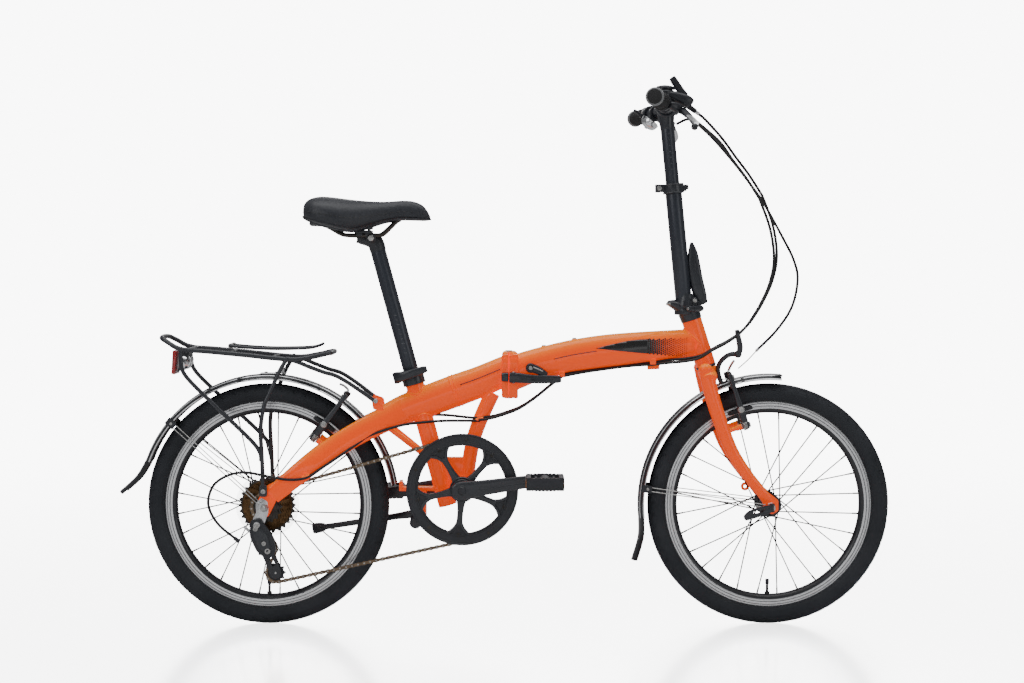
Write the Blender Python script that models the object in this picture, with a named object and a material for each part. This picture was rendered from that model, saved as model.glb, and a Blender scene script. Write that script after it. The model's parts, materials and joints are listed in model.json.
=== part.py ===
"""A folding bicycle with 20-inch wheels, unfolded and standing upright.

Units are metres. +X is forward, +Y is the rider's left and +Z is up.
The origin is on the ground, in the middle of the bicycle's footprint.
"""

import math

import bmesh
import bpy
from mathutils import Matrix, Vector

# ---------------------------------------------------------------- driving dimensions

WHEEL_RADIUS = 0.249
RIM_RADIUS = 0.213
RIM_HALF_WIDTH = 0.0115
REAR_HUB = Vector((-0.486, 0.0, WHEEL_RADIUS))
FRONT_HUB = Vector((0.545, 0.0, WHEEL_RADIUS))
BRACKET = Vector((-0.085, 0.0, 0.284))      # middle of the bottom bracket
CRANK_LENGTH = 0.169
CRANK_ANGLE = math.radians(8.3)             # right crank points forward and up by this
PEDAL_INNER_Y = 0.090
PEDAL_OUTER_Y = 0.176
CHAIN_PITCH = 0.0127
CHAINRING_TEETH = 52
SPROCKET_TEETH = (28, 24, 22, 20, 18, 16, 14)
SPROCKET_SPACING = 0.005
SMALL_SPROCKET_Y = -0.058
CHAINRING_Y = -0.045
PULLEY_TEETH = 10
GUIDE_PULLEY = Vector((-0.484, 0.0, 0.163))
TENSION_PULLEY = Vector((-0.465, 0.0, 0.115))

HINGE_X = 0.010                             # where the frame's two halves meet
HINGE_PIN = Vector((HINGE_X, 0.043, 0.5135))
HEAD_TOP = Vector((0.386, 0.0, 0.629))
HEAD_LENGTH = 0.098
STEER_LEAN = math.radians(17.7)
STEER = Vector((-math.sin(STEER_LEAN), 0.0, math.cos(STEER_LEAN)))
AHEAD_OF_STEER = Vector((math.cos(STEER_LEAN), 0.0, math.sin(STEER_LEAN)))
SEAT_TUBE_TOP = Vector((-0.1888, 0.0, 0.513))
SEAT_LEAN = math.radians(15.2)
SEAT = Vector((-math.sin(SEAT_LEAN), 0.0, math.cos(SEAT_LEAN)))
SEAT_TUBE_LENGTH = 0.277
SEATPOST_RADIUS = 0.0159
POST_LEAN = math.radians(5.6)
POST = Vector((-math.sin(POST_LEAN), 0.0, math.cos(POST_LEAN)))
POST_FOOT = Vector((0.369, 0.0, 0.678))     # where the handlepost leaves its hinge
STEM_PIN = Vector((0.391, -0.021, 0.6525))
STEM_PIN_DIRECTION = Vector((math.sqrt(0.5), math.sqrt(0.5), 0.0))
LOWER_POST_LENGTH = 0.2308
UPPER_POST_RADIUS = 0.0140
BAR = Vector((0.331, 0.0, 1.062))
BAR_END = Vector((0.287, 0.290, 1.062))
GRIP_LENGTH = 0.108
BELL_Y = 0.105
BELL_UP = Vector((-0.6, 0.0, -0.8))           # the bell hangs behind and below the bar
BELL_BACK = Vector((-0.8, 0.0, 0.6))

REAR_BOSS = Vector((-0.383, 0.038, 0.385))  # left one; the right one is mirrored
FRONT_BOSS = Vector((0.488, 0.038, 0.412))
BRAKE_ARM_LENGTH = 0.110
KICKSTAND_PIVOT = Vector((-0.180, 0.052, 0.222))
KICKSTAND_FOOT = Vector((-0.405, 0.094, 0.183))
KICKSTAND_DOWN = Vector((-0.170, 0.142, 0.012))     # where the foot goes when the leg is down
KICKSTAND_AXIS = (KICKSTAND_FOOT - KICKSTAND_PIVOT).cross(KICKSTAND_DOWN - KICKSTAND_PIVOT).normalized()
MUDGUARD_RADIUS = 0.269
MUDGUARD_HALF_WIDTH = 0.0265
MUDGUARD_THICKNESS = 0.0014

GAP = 0.0003                                # left between pieces that would touch
UP = Vector((0.0, 0.0, 1.0))
LEFT = Vector((0.0, 1.0, 0.0))
FORWARD = Vector((1.0, 0.0, 0.0))

# ---------------------------------------------------------------- materials

FINISHES = {
    "orange_paint": ((0.90, 0.16, 0.01), 0.25, 0.0),
    "black_paint": ((0.012, 0.012, 0.015), 0.35, 0.0),
    "black_plastic": ((0.015, 0.015, 0.017), 0.55, 0.0),
    "tyre_rubber": ((0.02, 0.02, 0.02), 0.85, 0.0),
    "saddle_cover": ((0.012, 0.012, 0.013), 0.5, 0.0),
    "polished_metal": ((0.75, 0.75, 0.77), 0.2, 1.0),
    "dark_steel": ((0.10, 0.09, 0.085), 0.4, 1.0),
    "red_lens": ((0.6, 0.01, 0.01), 0.15, 0.0),
}


def finish(name):
    """The material of this name, made the first time it is asked for."""
    found = bpy.data.materials.get(name)
    if found:
        return found
    colour, roughness, metallic = FINISHES[name]
    material = bpy.data.materials.new(name)
    material.use_nodes = True
    shader = material.node_tree.nodes["Principled BSDF"]
    shader.inputs["Base Color"].default_value = (*colour, 1.0)
    shader.inputs["Roughness"].default_value = roughness
    shader.inputs["Metallic"].default_value = metallic
    return material


# ---------------------------------------------------------------- shape helpers

def solid(bm):
    """A new object from a closed bmesh, with its faces triangulated and facing out."""
    bmesh.ops.remove_doubles(bm, verts=bm.verts, dist=1e-6)
    bmesh.ops.recalc_face_normals(bm, faces=bm.faces)
    bmesh.ops.triangulate(bm, faces=bm.faces)
    mesh = bpy.data.meshes.new("shape")
    bm.to_mesh(mesh)
    bm.free()
    made = bpy.data.objects.new("shape", mesh)
    bpy.context.scene.collection.objects.link(made)
    return made


def smooth(controls, steps):
    """Points on a smooth curve through the control points, which may hold sizes too."""
    rows = [tuple(c) for c in controls]
    ends = [rows[0], *rows, rows[-1]]
    out = []
    for i in range(len(rows) - 1):
        a, b, c, d = ends[i:i + 4]
        for k in range(steps):
            t = k / steps
            out.append(tuple(
                0.5 * (2 * q + (r - p) * t + (2 * p - 5 * q + 4 * r - s) * t * t
                       + (3 * q - p - 3 * r + s) * t ** 3)
                for p, q, r, s in zip(a, b, c, d)))
    return [*out, rows[-1]]


def swept(stations, sides=10, reference=LEFT, square=1.0, closed=False):
    """A bar through stations (x, y, z, half_width, half_height).

    The half width lies along the reference direction. A square value under 1 makes
    the section boxier. A closed bar has no end faces.
    """
    bm = bmesh.new()
    count = len(stations)
    places = [Vector(s[:3]) for s in stations]
    rings = []
    across = reference.copy()
    for i, station in enumerate(stations):
        before = places[i - 1] if i or closed else places[i]
        after = places[(i + 1) % count] if i + 1 < count or closed else places[i]
        along = (after - before).normalized()
        flat = reference - along * reference.dot(along)
        across = flat.normalized() if flat.length > 0.2 else (across - along * across.dot(along)).normalized()
        over = along.cross(across)
        ring = []
        for k in range(sides):
            turn = 2 * math.pi * (k + 0.5) / sides
            c, s = math.cos(turn), math.sin(turn)
            c = math.copysign(abs(c) ** square, c)
            s = math.copysign(abs(s) ** square, s)
            ring.append(bm.verts.new(places[i] + across * (c * station[3]) + over * (s * station[4])))
        rings.append(ring)
    for i in range(count if closed else count - 1):
        near, far = rings[i], rings[(i + 1) % count]
        for k in range(sides):
            m = (k + 1) % sides
            bm.faces.new((near[k], near[m], far[m], far[k]))
    if not closed:
        bm.faces.new(rings[0])
        bm.faces.new(rings[-1])
    return solid(bm)


def tube(points, radius, sides=8, steps=0, reference=LEFT):
    """A round bar through the points, smoothed if steps is given."""
    path = smooth(points, steps) if steps else [tuple(p) for p in points]
    return swept([(*p[:3], radius, radius) for p in path], sides, reference)


def turned(profile, middle, axis, sides=24):
    """A solid of revolution from a closed profile of (radius, height along the axis)."""
    bm = bmesh.new()
    axis = Vector(axis).normalized()
    helper = UP if abs(axis.z) < 0.9 else FORWARD
    first = axis.cross(helper).normalized()
    second = axis.cross(first)
    if abs(axis.y) > 0.999:
        first, second = -UP, axis.cross(-UP)
    rings = []
    for radius, height in profile:
        base = Vector(middle) + axis * height
        if radius < 1e-9:
            rings.append([bm.verts.new(base)])
            continue
        rings.append([
            bm.verts.new(base + radius * (first * math.cos(a) + second * math.sin(a)))
            for a in (2 * math.pi * k / sides for k in range(sides))])
    count = len(rings)
    for i in range(count):
        near, far = rings[i], rings[(i + 1) % count]
        for k in range(sides):
            m = (k + 1) % sides
            corners = [near[k % len(near)], near[m % len(near)], far[m % len(far)], far[k % len(far)]]
            unique = list(dict.fromkeys(corners))
            if len(unique) > 2:
                bm.faces.new(unique)
    return solid(bm)


def rod(start, end, radius, sides=12):
    """A plain cylinder between two points."""
    start, end = Vector(start), Vector(end)
    length = (end - start).length
    return turned([(0, 0), (radius, 0), (radius, length), (0, length)], start, end - start, sides)


def ring(middle, axis, inner, outer, low, high, sides=24):
    """A washer or sleeve along the axis from low to high."""
    return turned([(inner, low), (outer, low), (outer, high), (inner, high)], middle, axis, sides)


def plate(outline, low, high, axis=LEFT):
    """A flat plate: its (x, z) outline moved along Y, or its (x, y) outline along Z."""
    bm = bmesh.new()
    def place(p, h):
        return Vector((p[0], h, p[1])) if axis is LEFT else Vector((p[0], p[1], h))
    bottom = [bm.verts.new(place(p, low)) for p in outline]
    top = [bm.verts.new(place(p, high)) for p in outline]
    bm.faces.new(bottom)
    bm.faces.new(top)
    count = len(outline)
    for k in range(count):
        m = (k + 1) % count
        bm.faces.new((bottom[k], bottom[m], top[m], top[k]))
    return solid(bm)


def block(middle, size, along=FORWARD, across=LEFT):
    """A box whose first side lies along one direction and second side across it."""
    along = Vector(along).normalized()
    across = (Vector(across) - along * along.dot(Vector(across))).normalized()
    over = along.cross(across)
    turn = Matrix((along, across, over)).transposed().to_4x4()
    bm = bmesh.new()
    bmesh.ops.create_cube(bm, size=1.0)
    scale = Matrix.Diagonal((*size, 1.0))
    bm.transform(Matrix.Translation(Vector(middle)) @ turn @ scale)
    return solid(bm)


def ball(middle, radius, sides=10):
    """A rough ball."""
    steps = 5
    arc = [math.pi * k / steps for k in range(steps + 1)]
    profile = [
        (abs(radius * math.sin(a)) * (0 < i < steps), -radius * math.cos(a))
        for i, a in enumerate(arc)]
    return turned(profile, middle, UP, sides)


def put_away(helper):
    """Hides a shape that only takes part in a Boolean."""
    helper.hide_render = True
    helper.display_type = "WIRE"


PIVOTS = {}


def pivot(name, place, parent=None):
    """An empty on a joint's axis, which carries the pieces that the joint moves."""
    empty = bpy.data.objects.new("pivot_" + name, None)
    empty.empty_display_size = 0.02
    bpy.context.scene.collection.objects.link(empty)
    PIVOTS[name] = Vector(place)
    empty.location = PIVOTS[name]
    if parent:
        empty.parent = bpy.data.objects["pivot_" + parent]
        empty.location = PIVOTS[name] - PIVOTS[parent]
    return empty


def piece(name, material, shapes, cuts=(), on=None):
    """One named solid: the shapes joined, less the cuts, carried by a pivot's empty."""
    main, *others = shapes
    for other in others:
        joined = main.modifiers.new("join", "BOOLEAN")
        joined.operation = "UNION"
        joined.object = other
        put_away(other)
        other.name = name + "_join"
    for cutter in cuts:
        cut = main.modifiers.new("cut", "BOOLEAN")
        cut.operation = "DIFFERENCE"
        cut.object = cutter
        put_away(cutter)
        cutter.name = name + "_cut"
    main.name = name
    main.data.name = name
    main.data.materials.append(finish(material))
    if on:
        carry(main, on)
    return main


def carry(main, on):
    """Parents a piece to a pivot's empty, with its origin on the joint's axis."""
    main.data.transform(Matrix.Translation(-PIVOTS[on]))
    main.parent = bpy.data.objects["pivot_" + on]


def mirrored(vector, side):
    """The point on the left (side 1) or the right (side -1)."""
    return Vector((vector[0], vector[1] * side, vector[2]))


def around(middle, radius, angle, y=0.0):
    """A point in a plane of constant Y, at an angle from +X towards +Z."""
    return Vector((middle.x + radius * math.cos(angle), y, middle.z + radius * math.sin(angle)))


SIDES = {"left": 1, "right": -1}

# ---------------------------------------------------------------- wheels

HUB_TO_SPOKES = 0.021
WHEEL_SIDES = 32
TYRE_INNER = RIM_RADIUS / math.cos(math.pi / WHEEL_SIDES) + GAP
SPOKE_COUNT = 28
SPOKE_RADIUS = 0.0010


def tyre(name, hub, body):
    section = [
        (TYRE_INNER, -0.0115), (0.226, -0.0225), (0.237, -0.0225), (WHEEL_RADIUS, -0.0080),
        (WHEEL_RADIUS, 0.0080), (0.237, 0.0225), (0.226, 0.0225), (TYRE_INNER, 0.0115)]
    piece(name, "tyre_rubber", [turned(section, hub, LEFT, WHEEL_SIDES)], on=body)


def rim(name, hub, body):
    section = [
        (RIM_RADIUS, -RIM_HALF_WIDTH), (RIM_RADIUS, RIM_HALF_WIDTH), (0.197, RIM_HALF_WIDTH),
        (0.1885, 0.0050), (0.1885, -0.0050), (0.197, -RIM_HALF_WIDTH)]
    piece(name, "polished_metal", [turned(section, hub, LEFT, WHEEL_SIDES)], on=body)


def spoked_hub(name, hub, body, right_flange, left_flange, end):
    """A hub with its crossed spokes, which stop just short of the rim."""
    shell = turned([
        (0.0065, right_flange - 0.005), (0.0150, right_flange - 0.005), (0.0150, right_flange - 0.002),
        (0.0240, right_flange - 0.002), (0.0240, right_flange + 0.002), (0.0140, right_flange + 0.004),
        (0.0140, left_flange - 0.004), (0.0240, left_flange - 0.002), (0.0240, left_flange + 0.002),
        (0.0150, left_flange + 0.002), (0.0150, end), (0.0065, end)], hub, LEFT, 14)
    shapes = [shell]
    for k in range(SPOKE_COUNT):
        y = left_flange if k % 2 else right_flange
        lean = 0.62 if k % 4 < 2 else -0.62
        angle = 2 * math.pi * (k + 0.5) / SPOKE_COUNT
        apart = math.copysign(0.0017, lean)
        start = around(hub, HUB_TO_SPOKES, angle + lean * 2.0, y + apart)
        stop = around(hub, 0.1870, angle, math.copysign(0.003, y) + apart)
        shapes.append(tube([start, stop], SPOKE_RADIUS, 4))
    piece(name, "black_paint", shapes, on=body)


def freewheel():
    """Seven sprockets on one body, the smallest outermost."""
    profile = []
    largest_y = SMALL_SPROCKET_Y + SPROCKET_SPACING * (len(SPROCKET_TEETH) - 1)
    for k, teeth in enumerate(SPROCKET_TEETH):
        y = largest_y - SPROCKET_SPACING * k
        radius = teeth * CHAIN_PITCH / (2 * math.pi) + 0.002
        profile += [(0.0215, y + 0.0011), (radius, y + 0.0009), (radius, y - 0.0009)]
        if teeth < 18:
            profile.append((0.0215, y - 0.0011))
    profile += [(0.0065, SMALL_SPROCKET_Y - 0.001), (0.0065, largest_y + 0.001)]
    piece("freewheel_sprockets", "dark_steel", [turned(profile, REAR_HUB, LEFT, 16)], on="freewheel")


def axle(name, hub, half, nut, body=None):
    """An axle with a nut and a washer at each end."""
    shapes = [rod(hub + LEFT * -half, hub + LEFT * half, 0.0047, 12)]
    for side in SIDES.values():
        shapes.append(turned([
            (0, 0), (0.0085, 0), (0.0085, 0.009), (0.006, 0.012), (0, 0.012)],
            hub + LEFT * side * nut, LEFT * side, 12))
    piece(name, "polished_metal", shapes, on=body)


# ---------------------------------------------------------------- rear frame

REAR_TUBE = [  # x, z, half width, half height of the main tube
    (-0.003, 0.521, 0.023, 0.0285), (-0.052, 0.500, 0.023, 0.0320), (-0.100, 0.4825, 0.0225, 0.0330),
    (-0.150, 0.4640, 0.0220, 0.0325), (-0.205, 0.4440, 0.0230, 0.0300), (-0.245, 0.4250, 0.0250, 0.0270)]
STAY = [  # x, y, z, half width, half height
    (-0.205, 0.014, 0.4440, 0.0080, 0.0270), (-0.250, 0.027, 0.4215, 0.0085, 0.0245),
    (-0.300, 0.041, 0.3975, 0.0085, 0.0235), (-0.350, 0.0540, 0.3670, 0.0080, 0.0230),
    (-0.395, 0.0680, 0.3345, 0.0065, 0.0215), (-0.435, 0.0705, 0.3030, 0.0060, 0.0200),
    (-0.470, 0.0695, 0.2740, 0.0045, 0.0180)]
DROPOUT = [(-0.466, 0.302), (-0.463, 0.262), (-0.478, 0.232), (-0.500, 0.200), (-0.512, 0.203),
           (-0.511, 0.224), (-0.500, 0.240), (-0.500, 0.262), (-0.488, 0.290)]
DROPOUT_IN, DROPOUT_OUT = 0.0655, 0.0705


def rear_frame():
    seat_foot = SEAT_TUBE_TOP - SEAT * SEAT_TUBE_LENGTH
    main = swept(smooth([(x, 0.0, z, w, h) for x, z, w, h in REAR_TUBE], 2), 12, square=0.85)
    shapes = [main]
    rear_face = HINGE_X - GAP
    outline = [(-0.005, 0.468), (rear_face, 0.468), (rear_face, 0.559), (-0.005, 0.559)]
    shapes.append(plate(outline, -0.028, 0.032))
    for low, high, middle in ((0.466, 0.4925, 0.4805), (0.5345, 0.561, 0.5465)):
        shapes.append(rod((HINGE_X, HINGE_PIN.y, low), (HINGE_X, HINGE_PIN.y, high), 0.0105, 16))
        shapes.append(block((0.0022, 0.036, middle), (0.0134, 0.014, 0.0205)))
    shapes.append(rod(SEAT_TUBE_TOP, seat_foot, 0.0190, 16))
    shapes.append(rod(BRACKET + LEFT * -0.034, BRACKET + LEFT * 0.034, 0.0205, 16))
    down = [(-0.024, 0, 0.478, 0.017, 0.016), (-0.050, 0, 0.420, 0.016, 0.0155),
            (-0.066, 0, 0.370, 0.016, 0.015), (-0.078, 0, 0.296, 0.016, 0.015)]
    shapes.append(swept(smooth(down, 2), 10))
    shapes.append(plate([(-0.140, 0.345), (-0.064, 0.345), (-0.070, 0.290), (-0.126, 0.262)], -0.011, 0.011))
    shapes.append(block((-0.165, 0, 0.280), (0.100, 0.026, 0.008)))
    shapes.append(block((-0.2125, 0, 0.2865), (0.007, 0.030, 0.020)))
    shapes.append(block((-0.172, 0.010, 0.2500), (0.022, 0.044, 0.0560)))
    barrel_start, barrel_end = (KICKSTAND_PIVOT + KICKSTAND_AXIS * reach for reach in (0.0090, 0.0450))
    shapes.append(rod(barrel_start, barrel_end, 0.0115, 12))
    for side in SIDES.values():
        shapes.append(swept([(x, y * side, z, w, h) for x, y, z, w, h in STAY], 8, square=0.8))
        shapes.append(tube([(-0.232, 0.026 * side, 0.405), (-0.190, 0.018 * side, 0.372),
                            (-0.148, 0.008 * side, 0.338)], 0.0055, 6))
        inner, outer = sorted((DROPOUT_IN * side, DROPOUT_OUT * side))
        outline = DROPOUT if side < 0 else DROPOUT[:3] + [(-0.490, 0.226)] + DROPOUT[6:]
        shapes.append(plate(outline, inner, outer))
        boss = mirrored(REAR_BOSS, side)
        shapes += brake_boss(boss, brake_axis("rear"), Vector((-0.366, 0.049 * side, 0.362)))
    bore = rod(SEAT_TUBE_TOP + SEAT * 0.01, seat_foot - SEAT * 0.01, SEATPOST_RADIUS + 0.0005, 16)
    cuts = [rod(BRACKET + LEFT * -0.05, BRACKET + LEFT * 0.05, 0.0174, 14)]
    cuts.append(rod((HINGE_X, HINGE_PIN.y, 0.4), (HINGE_X, HINGE_PIN.y, 0.6), 0.0045, 12))
    cuts.append(rod(REAR_HUB + LEFT * -0.1, REAR_HUB + LEFT * 0.1, 0.0052, 12))
    cuts.append(bore)
    piece("rear_frame", "orange_paint", shapes, cuts)


def brake_boss(end, axis, root):
    """A short stub that a brake arm turns against, and the post that holds it."""
    return [rod(end - axis * 0.014, end, 0.0060, 10), rod(root, end - axis * 0.009, 0.0050, 8)]


def brake_axis(end):
    """The direction of a brake boss, square to the rim's radius."""
    if end == "front":
        return AHEAD_OF_STEER
    radius = (Vector((REAR_BOSS.x, 0, REAR_BOSS.z)) - REAR_HUB).normalized()
    return Vector((-radius.z, 0, radius.x))


def hinge_pin():
    piece("frame_hinge_pin", "polished_metal", [turned([
        (0, 0.4635), (0.0075, 0.4635), (0.0075, 0.4657), (0.0041, 0.4657), (0.0041, 0.5613), (0.0075, 0.5613),
        (0.0075, 0.5640), (0, 0.5640)], (HINGE_X, HINGE_PIN.y, 0), UP, 12)])


def seat_clamp():
    """The collar on top of the seat tube, and its quick-release lever on the right."""
    ears = SEAT_TUBE_TOP - FORWARD * 0.029 + SEAT * -0.004
    shapes = [ring(SEAT_TUBE_TOP, SEAT, 0.0193, 0.0235, -0.018, 0.000, 16)]
    shapes.append(block(ears + LEFT * 0.007, (0.016, 0.007, 0.016), FORWARD))
    cut = block(ears + FORWARD * 0.004, (0.030, 0.0040, 0.060), SEAT.cross(LEFT))
    shapes.append(block(ears + LEFT * -0.007, (0.016, 0.007, 0.016), FORWARD))
    piece("seat_clamp_collar", "black_paint", shapes, [cut])
    hold = ears + FORWARD * -0.003 + LEFT * -0.0185
    lever = [(hold.x, hold.y - 0.002, hold.z, 0.0065, 0.0050),
             (hold.x + 0.012, -0.029, hold.z + 0.003, 0.004, 0.008),
             (hold.x + 0.034, -0.0330, hold.z + 0.008, 0.0035, 0.0075),
             (hold.x + 0.062, -0.0300, hold.z + 0.014, 0.003, 0.006)]
    piece("seat_clamp_lever", "black_paint", [
        swept(smooth(lever, 2), 8, UP),
        rod(hold - SEAT * 0.0085, hold + SEAT * 0.0085, 0.0070, 10)], on="seat_clamp_lever")


def bottom_bracket():
    piece("bottom_bracket_cartridge", "polished_metal", [turned([
        (0.0095, -0.037), (0.0200, -0.037), (0.0200, -0.0343), (0.0168, -0.0343), (0.0168, 0.0343),
        (0.0200, 0.0343), (0.0200, 0.037), (0.0095, 0.037)], BRACKET, LEFT, 14)])
    piece("bottom_bracket_spindle", "dark_steel", [rod(
        BRACKET + LEFT * -0.0655, BRACKET + LEFT * 0.0655, 0.0085, 12)], on="crank")


# ---------------------------------------------------------------- drive

def chainring():
    """The toothed ring with its five-armed spider, all turning with the cranks."""
    outer = CHAINRING_TEETH * CHAIN_PITCH / (2 * math.pi) + 0.0022
    shapes = [ring(BRACKET, LEFT, 0.0955, outer, CHAINRING_Y - 0.0008, CHAINRING_Y + 0.0008, 36)]
    shapes.append(ring(BRACKET, LEFT, 0.0088, 0.021, -0.0655, -0.0440, 20))
    for k in range(5):
        angle = math.radians(-95 + 72 * k)
        along = around(Vector(), 1.0, angle)
        middle = around(BRACKET, 0.056, angle, -0.049)
        shapes.append(block(middle, (0.084, 0.007, 0.012), along, LEFT))
        for turn in (-0.085, 0.085):
            fork = around(BRACKET, 0.090, angle + turn, -0.049)
            shapes.append(block(fork, (0.018, 0.007, 0.008), along, LEFT))
    piece("chainring", "black_paint", shapes, on="crank")
    piece("chain_guard_ring", "black_plastic", [ring(
        BRACKET, LEFT, 0.093, 0.1145, -0.0553, -0.0528, 32)], on="crank")


def cranks():
    for name, side in SIDES.items():
        angle = CRANK_ANGLE if side < 0 else CRANK_ANGLE + math.pi
        path = [(*around(BRACKET, r, angle, y * side), w, h) for r, y, w, h in (
            (-0.018, 0.0725, 0.0055, 0.013), (0.0, 0.0725, 0.0065, 0.0170), (0.030, 0.0740, 0.0060, 0.0140),
            (0.100, 0.0785, 0.0055, 0.0115), (0.150, 0.0805, 0.0055, 0.0115),
            (CRANK_LENGTH + 0.012, 0.0810, 0.0050, 0.0100))]
        cap = rod(BRACKET + LEFT * side * 0.078, BRACKET + LEFT * side * 0.0815, 0.0105, 12)
        middle = around(BRACKET, CRANK_LENGTH, angle)
        stub = turned([
            (0, 0.0780), (0.0080, 0.0780), (0.0080, 0.0890), (0.0050, 0.0890), (0.0050, 0.1640), (0, 0.1640)],
            middle, LEFT * side, 12)
        piece(name + "_crank", "black_paint", [swept(path, 10, square=0.8), cap, stub], on="crank")
        pedal(name, side, middle)


def pedal(name, side, middle):
    """A cage with four cross bars round the axle's sleeve."""
    def across(y):
        return middle + LEFT * side * y
    wide = PEDAL_OUTER_Y - PEDAL_INNER_Y
    centre = (PEDAL_OUTER_Y + PEDAL_INNER_Y) / 2
    shapes = [block(across(PEDAL_INNER_Y + 0.005), (0.074, 0.010, 0.022))]
    shapes.append(block(across(PEDAL_OUTER_Y - 0.005), (0.070, 0.010, 0.022)))
    shapes.append(rod(across(PEDAL_INNER_Y + 0.002), across(PEDAL_OUTER_Y - 0.002), 0.0125, 12))
    for end in (-1, 1):
        shapes.append(block(across(centre) + FORWARD * end * 0.0325, (0.011, wide - 0.004, 0.028)))
        shapes.append(block(across(centre) + FORWARD * end * 0.0180, (0.005, wide - 0.004, 0.018)))
    bore = rod(across(PEDAL_INNER_Y - 0.01), across(PEDAL_OUTER_Y - 0.008), 0.0060, 12)
    rest = rod(across(PEDAL_INNER_Y - 0.01), across(PEDAL_INNER_Y + 0.0005), 0.0090, 12)
    piece(name + "_pedal", "black_plastic", shapes, [bore, rest], on=name + "_pedal")


def belt_points(wheels):
    """The path of a chain round wheels (middle, radius, y, sense), with sense 1 from +X towards +Z."""
    headings = []
    for wheel, following in zip(wheels, wheels[1:] + wheels[:1]):
        line = following[0] - wheel[0]
        slip = (wheel[3] * wheel[1] - following[3] * following[1]) / math.hypot(line.x, line.z)
        headings.append(math.atan2(line.z, line.x) + math.asin(slip))
    points = []
    for i, (middle, radius, y, sense) in enumerate(wheels):
        enter = headings[i - 1] - sense * math.pi / 2
        wrap = (headings[i] - headings[i - 1]) * sense % (2 * math.pi)
        pieces = max(2, round(wrap / math.radians(22)))
        for k in range(pieces + 1):
            points.append(around(middle, radius, enter + sense * wrap * k / pieces, y))
    return points


def chain():
    """Two rows of side plates that straddle the teeth, pinned together on the straight runs."""
    pitch_radius = CHAIN_PITCH / (2 * math.pi)
    wheels = [
        (BRACKET, CHAINRING_TEETH * pitch_radius, CHAINRING_Y, 1),
        (REAR_HUB, SPROCKET_TEETH[-1] * pitch_radius, SMALL_SPROCKET_Y, 1),
        (GUIDE_PULLEY, PULLEY_TEETH * pitch_radius, SMALL_SPROCKET_Y, -1),
        (TENSION_PULLEY, PULLEY_TEETH * pitch_radius, SMALL_SPROCKET_Y, 1)]
    loop = []
    around_wheels = belt_points(wheels)
    for a, b in zip(around_wheels, around_wheels[1:] + around_wheels[:1]):
        loop.append(a)
        if (b - a).length > 0.15:
            share = 0.045 / (b - a).length
            near, far = a.lerp(b, share), b.lerp(a, share)
            loop += [Vector((near.x, a.y, near.z)), Vector((far.x, b.y, far.z))]
    shapes = []
    for offset in (-0.0022, 0.0022):
        rows = [(p.x, p.y + offset, p.z, 0.0007, 0.0036) for p in loop]
        shapes.append(swept(rows, 4, square=0.5, closed=True))
    upper = [(a, b) for a, b in zip(loop, loop[1:]) if (a - b).length > 0.15]
    for a, b in upper:
        for share in (0.3, 0.7):
            at = a.lerp(b, share)
            shapes.append(rod(at - LEFT * 0.0026, at + LEFT * 0.0026, 0.0018, 6))
    piece("chain", "dark_steel", shapes)


def derailleur():
    """The body that moves across the sprockets, its cage and its two pulleys."""
    body = [
        plate([(-0.512, 0.224), (-0.492, 0.226), (-0.470, 0.196), (-0.462, 0.160), (-0.478, 0.146),
               (-0.500, 0.158), (-0.516, 0.190)], -0.0850, -0.0760),
        rod((-0.501, -0.0800, 0.214), (-0.501, -0.0708, 0.214), 0.0075, 12)]
    piece("rear_derailleur_body", "black_plastic", body)
    cage = []
    for y in (-0.0645, -0.0515):
        outline = [around(GUIDE_PULLEY, 0.012, math.radians(a)) for a in (10, 60, 110, 160, 205)]
        outline += [around(TENSION_PULLEY, 0.012, math.radians(a)) for a in (205, 250, 300, 350, 20)]
        cage.append(plate([(p.x, p.z) for p in outline], y - 0.0008, y + 0.0008))
    for middle in (GUIDE_PULLEY, TENSION_PULLEY):
        cage.append(rod(middle + LEFT * -0.0650, middle + LEFT * -0.0510, 0.0025, 8))
    cage.append(rod(GUIDE_PULLEY + LEFT * -0.0755, GUIDE_PULLEY + LEFT * -0.0640, 0.0090, 12))
    piece("derailleur_cage", "dark_steel", cage, on="derailleur_shift")
    for name, middle in (("guide_pulley", GUIDE_PULLEY), ("tension_pulley", TENSION_PULLEY)):
        outer = PULLEY_TEETH * CHAIN_PITCH / (2 * math.pi) - 0.002
        piece(name, "black_plastic", [ring(middle, LEFT, 0.0032, outer, SMALL_SPROCKET_Y - 0.0010,
                                           SMALL_SPROCKET_Y + 0.0010, 20)], on=name)


# ---------------------------------------------------------------- front frame and fork

FRONT_TUBE = [
    (0.024, 0.521, 0.024, 0.0350), (0.060, 0.534, 0.024, 0.0335), (0.121, 0.5500, 0.0235, 0.0330),
    (0.170, 0.5590, 0.0235, 0.0335), (0.224, 0.5660, 0.0235, 0.0335), (0.300, 0.5735, 0.0230, 0.0315),
    (0.392, 0.5810, 0.0200, 0.0290)]
BLADE = [
    (0.412, 0.050, 0.526, 0.0110, 0.0155), (0.424, 0.0515, 0.474, 0.0110, 0.0150),
    (0.445, 0.0520, 0.410, 0.0105, 0.0140),
    (0.466, 0.0520, 0.360, 0.0100, 0.0130), (0.495, 0.0520, 0.316, 0.0090, 0.0115),
    (0.521, 0.0520, 0.284, 0.0065, 0.0110), (0.538, 0.0520, 0.262, 0.0035, 0.0115)]


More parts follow.
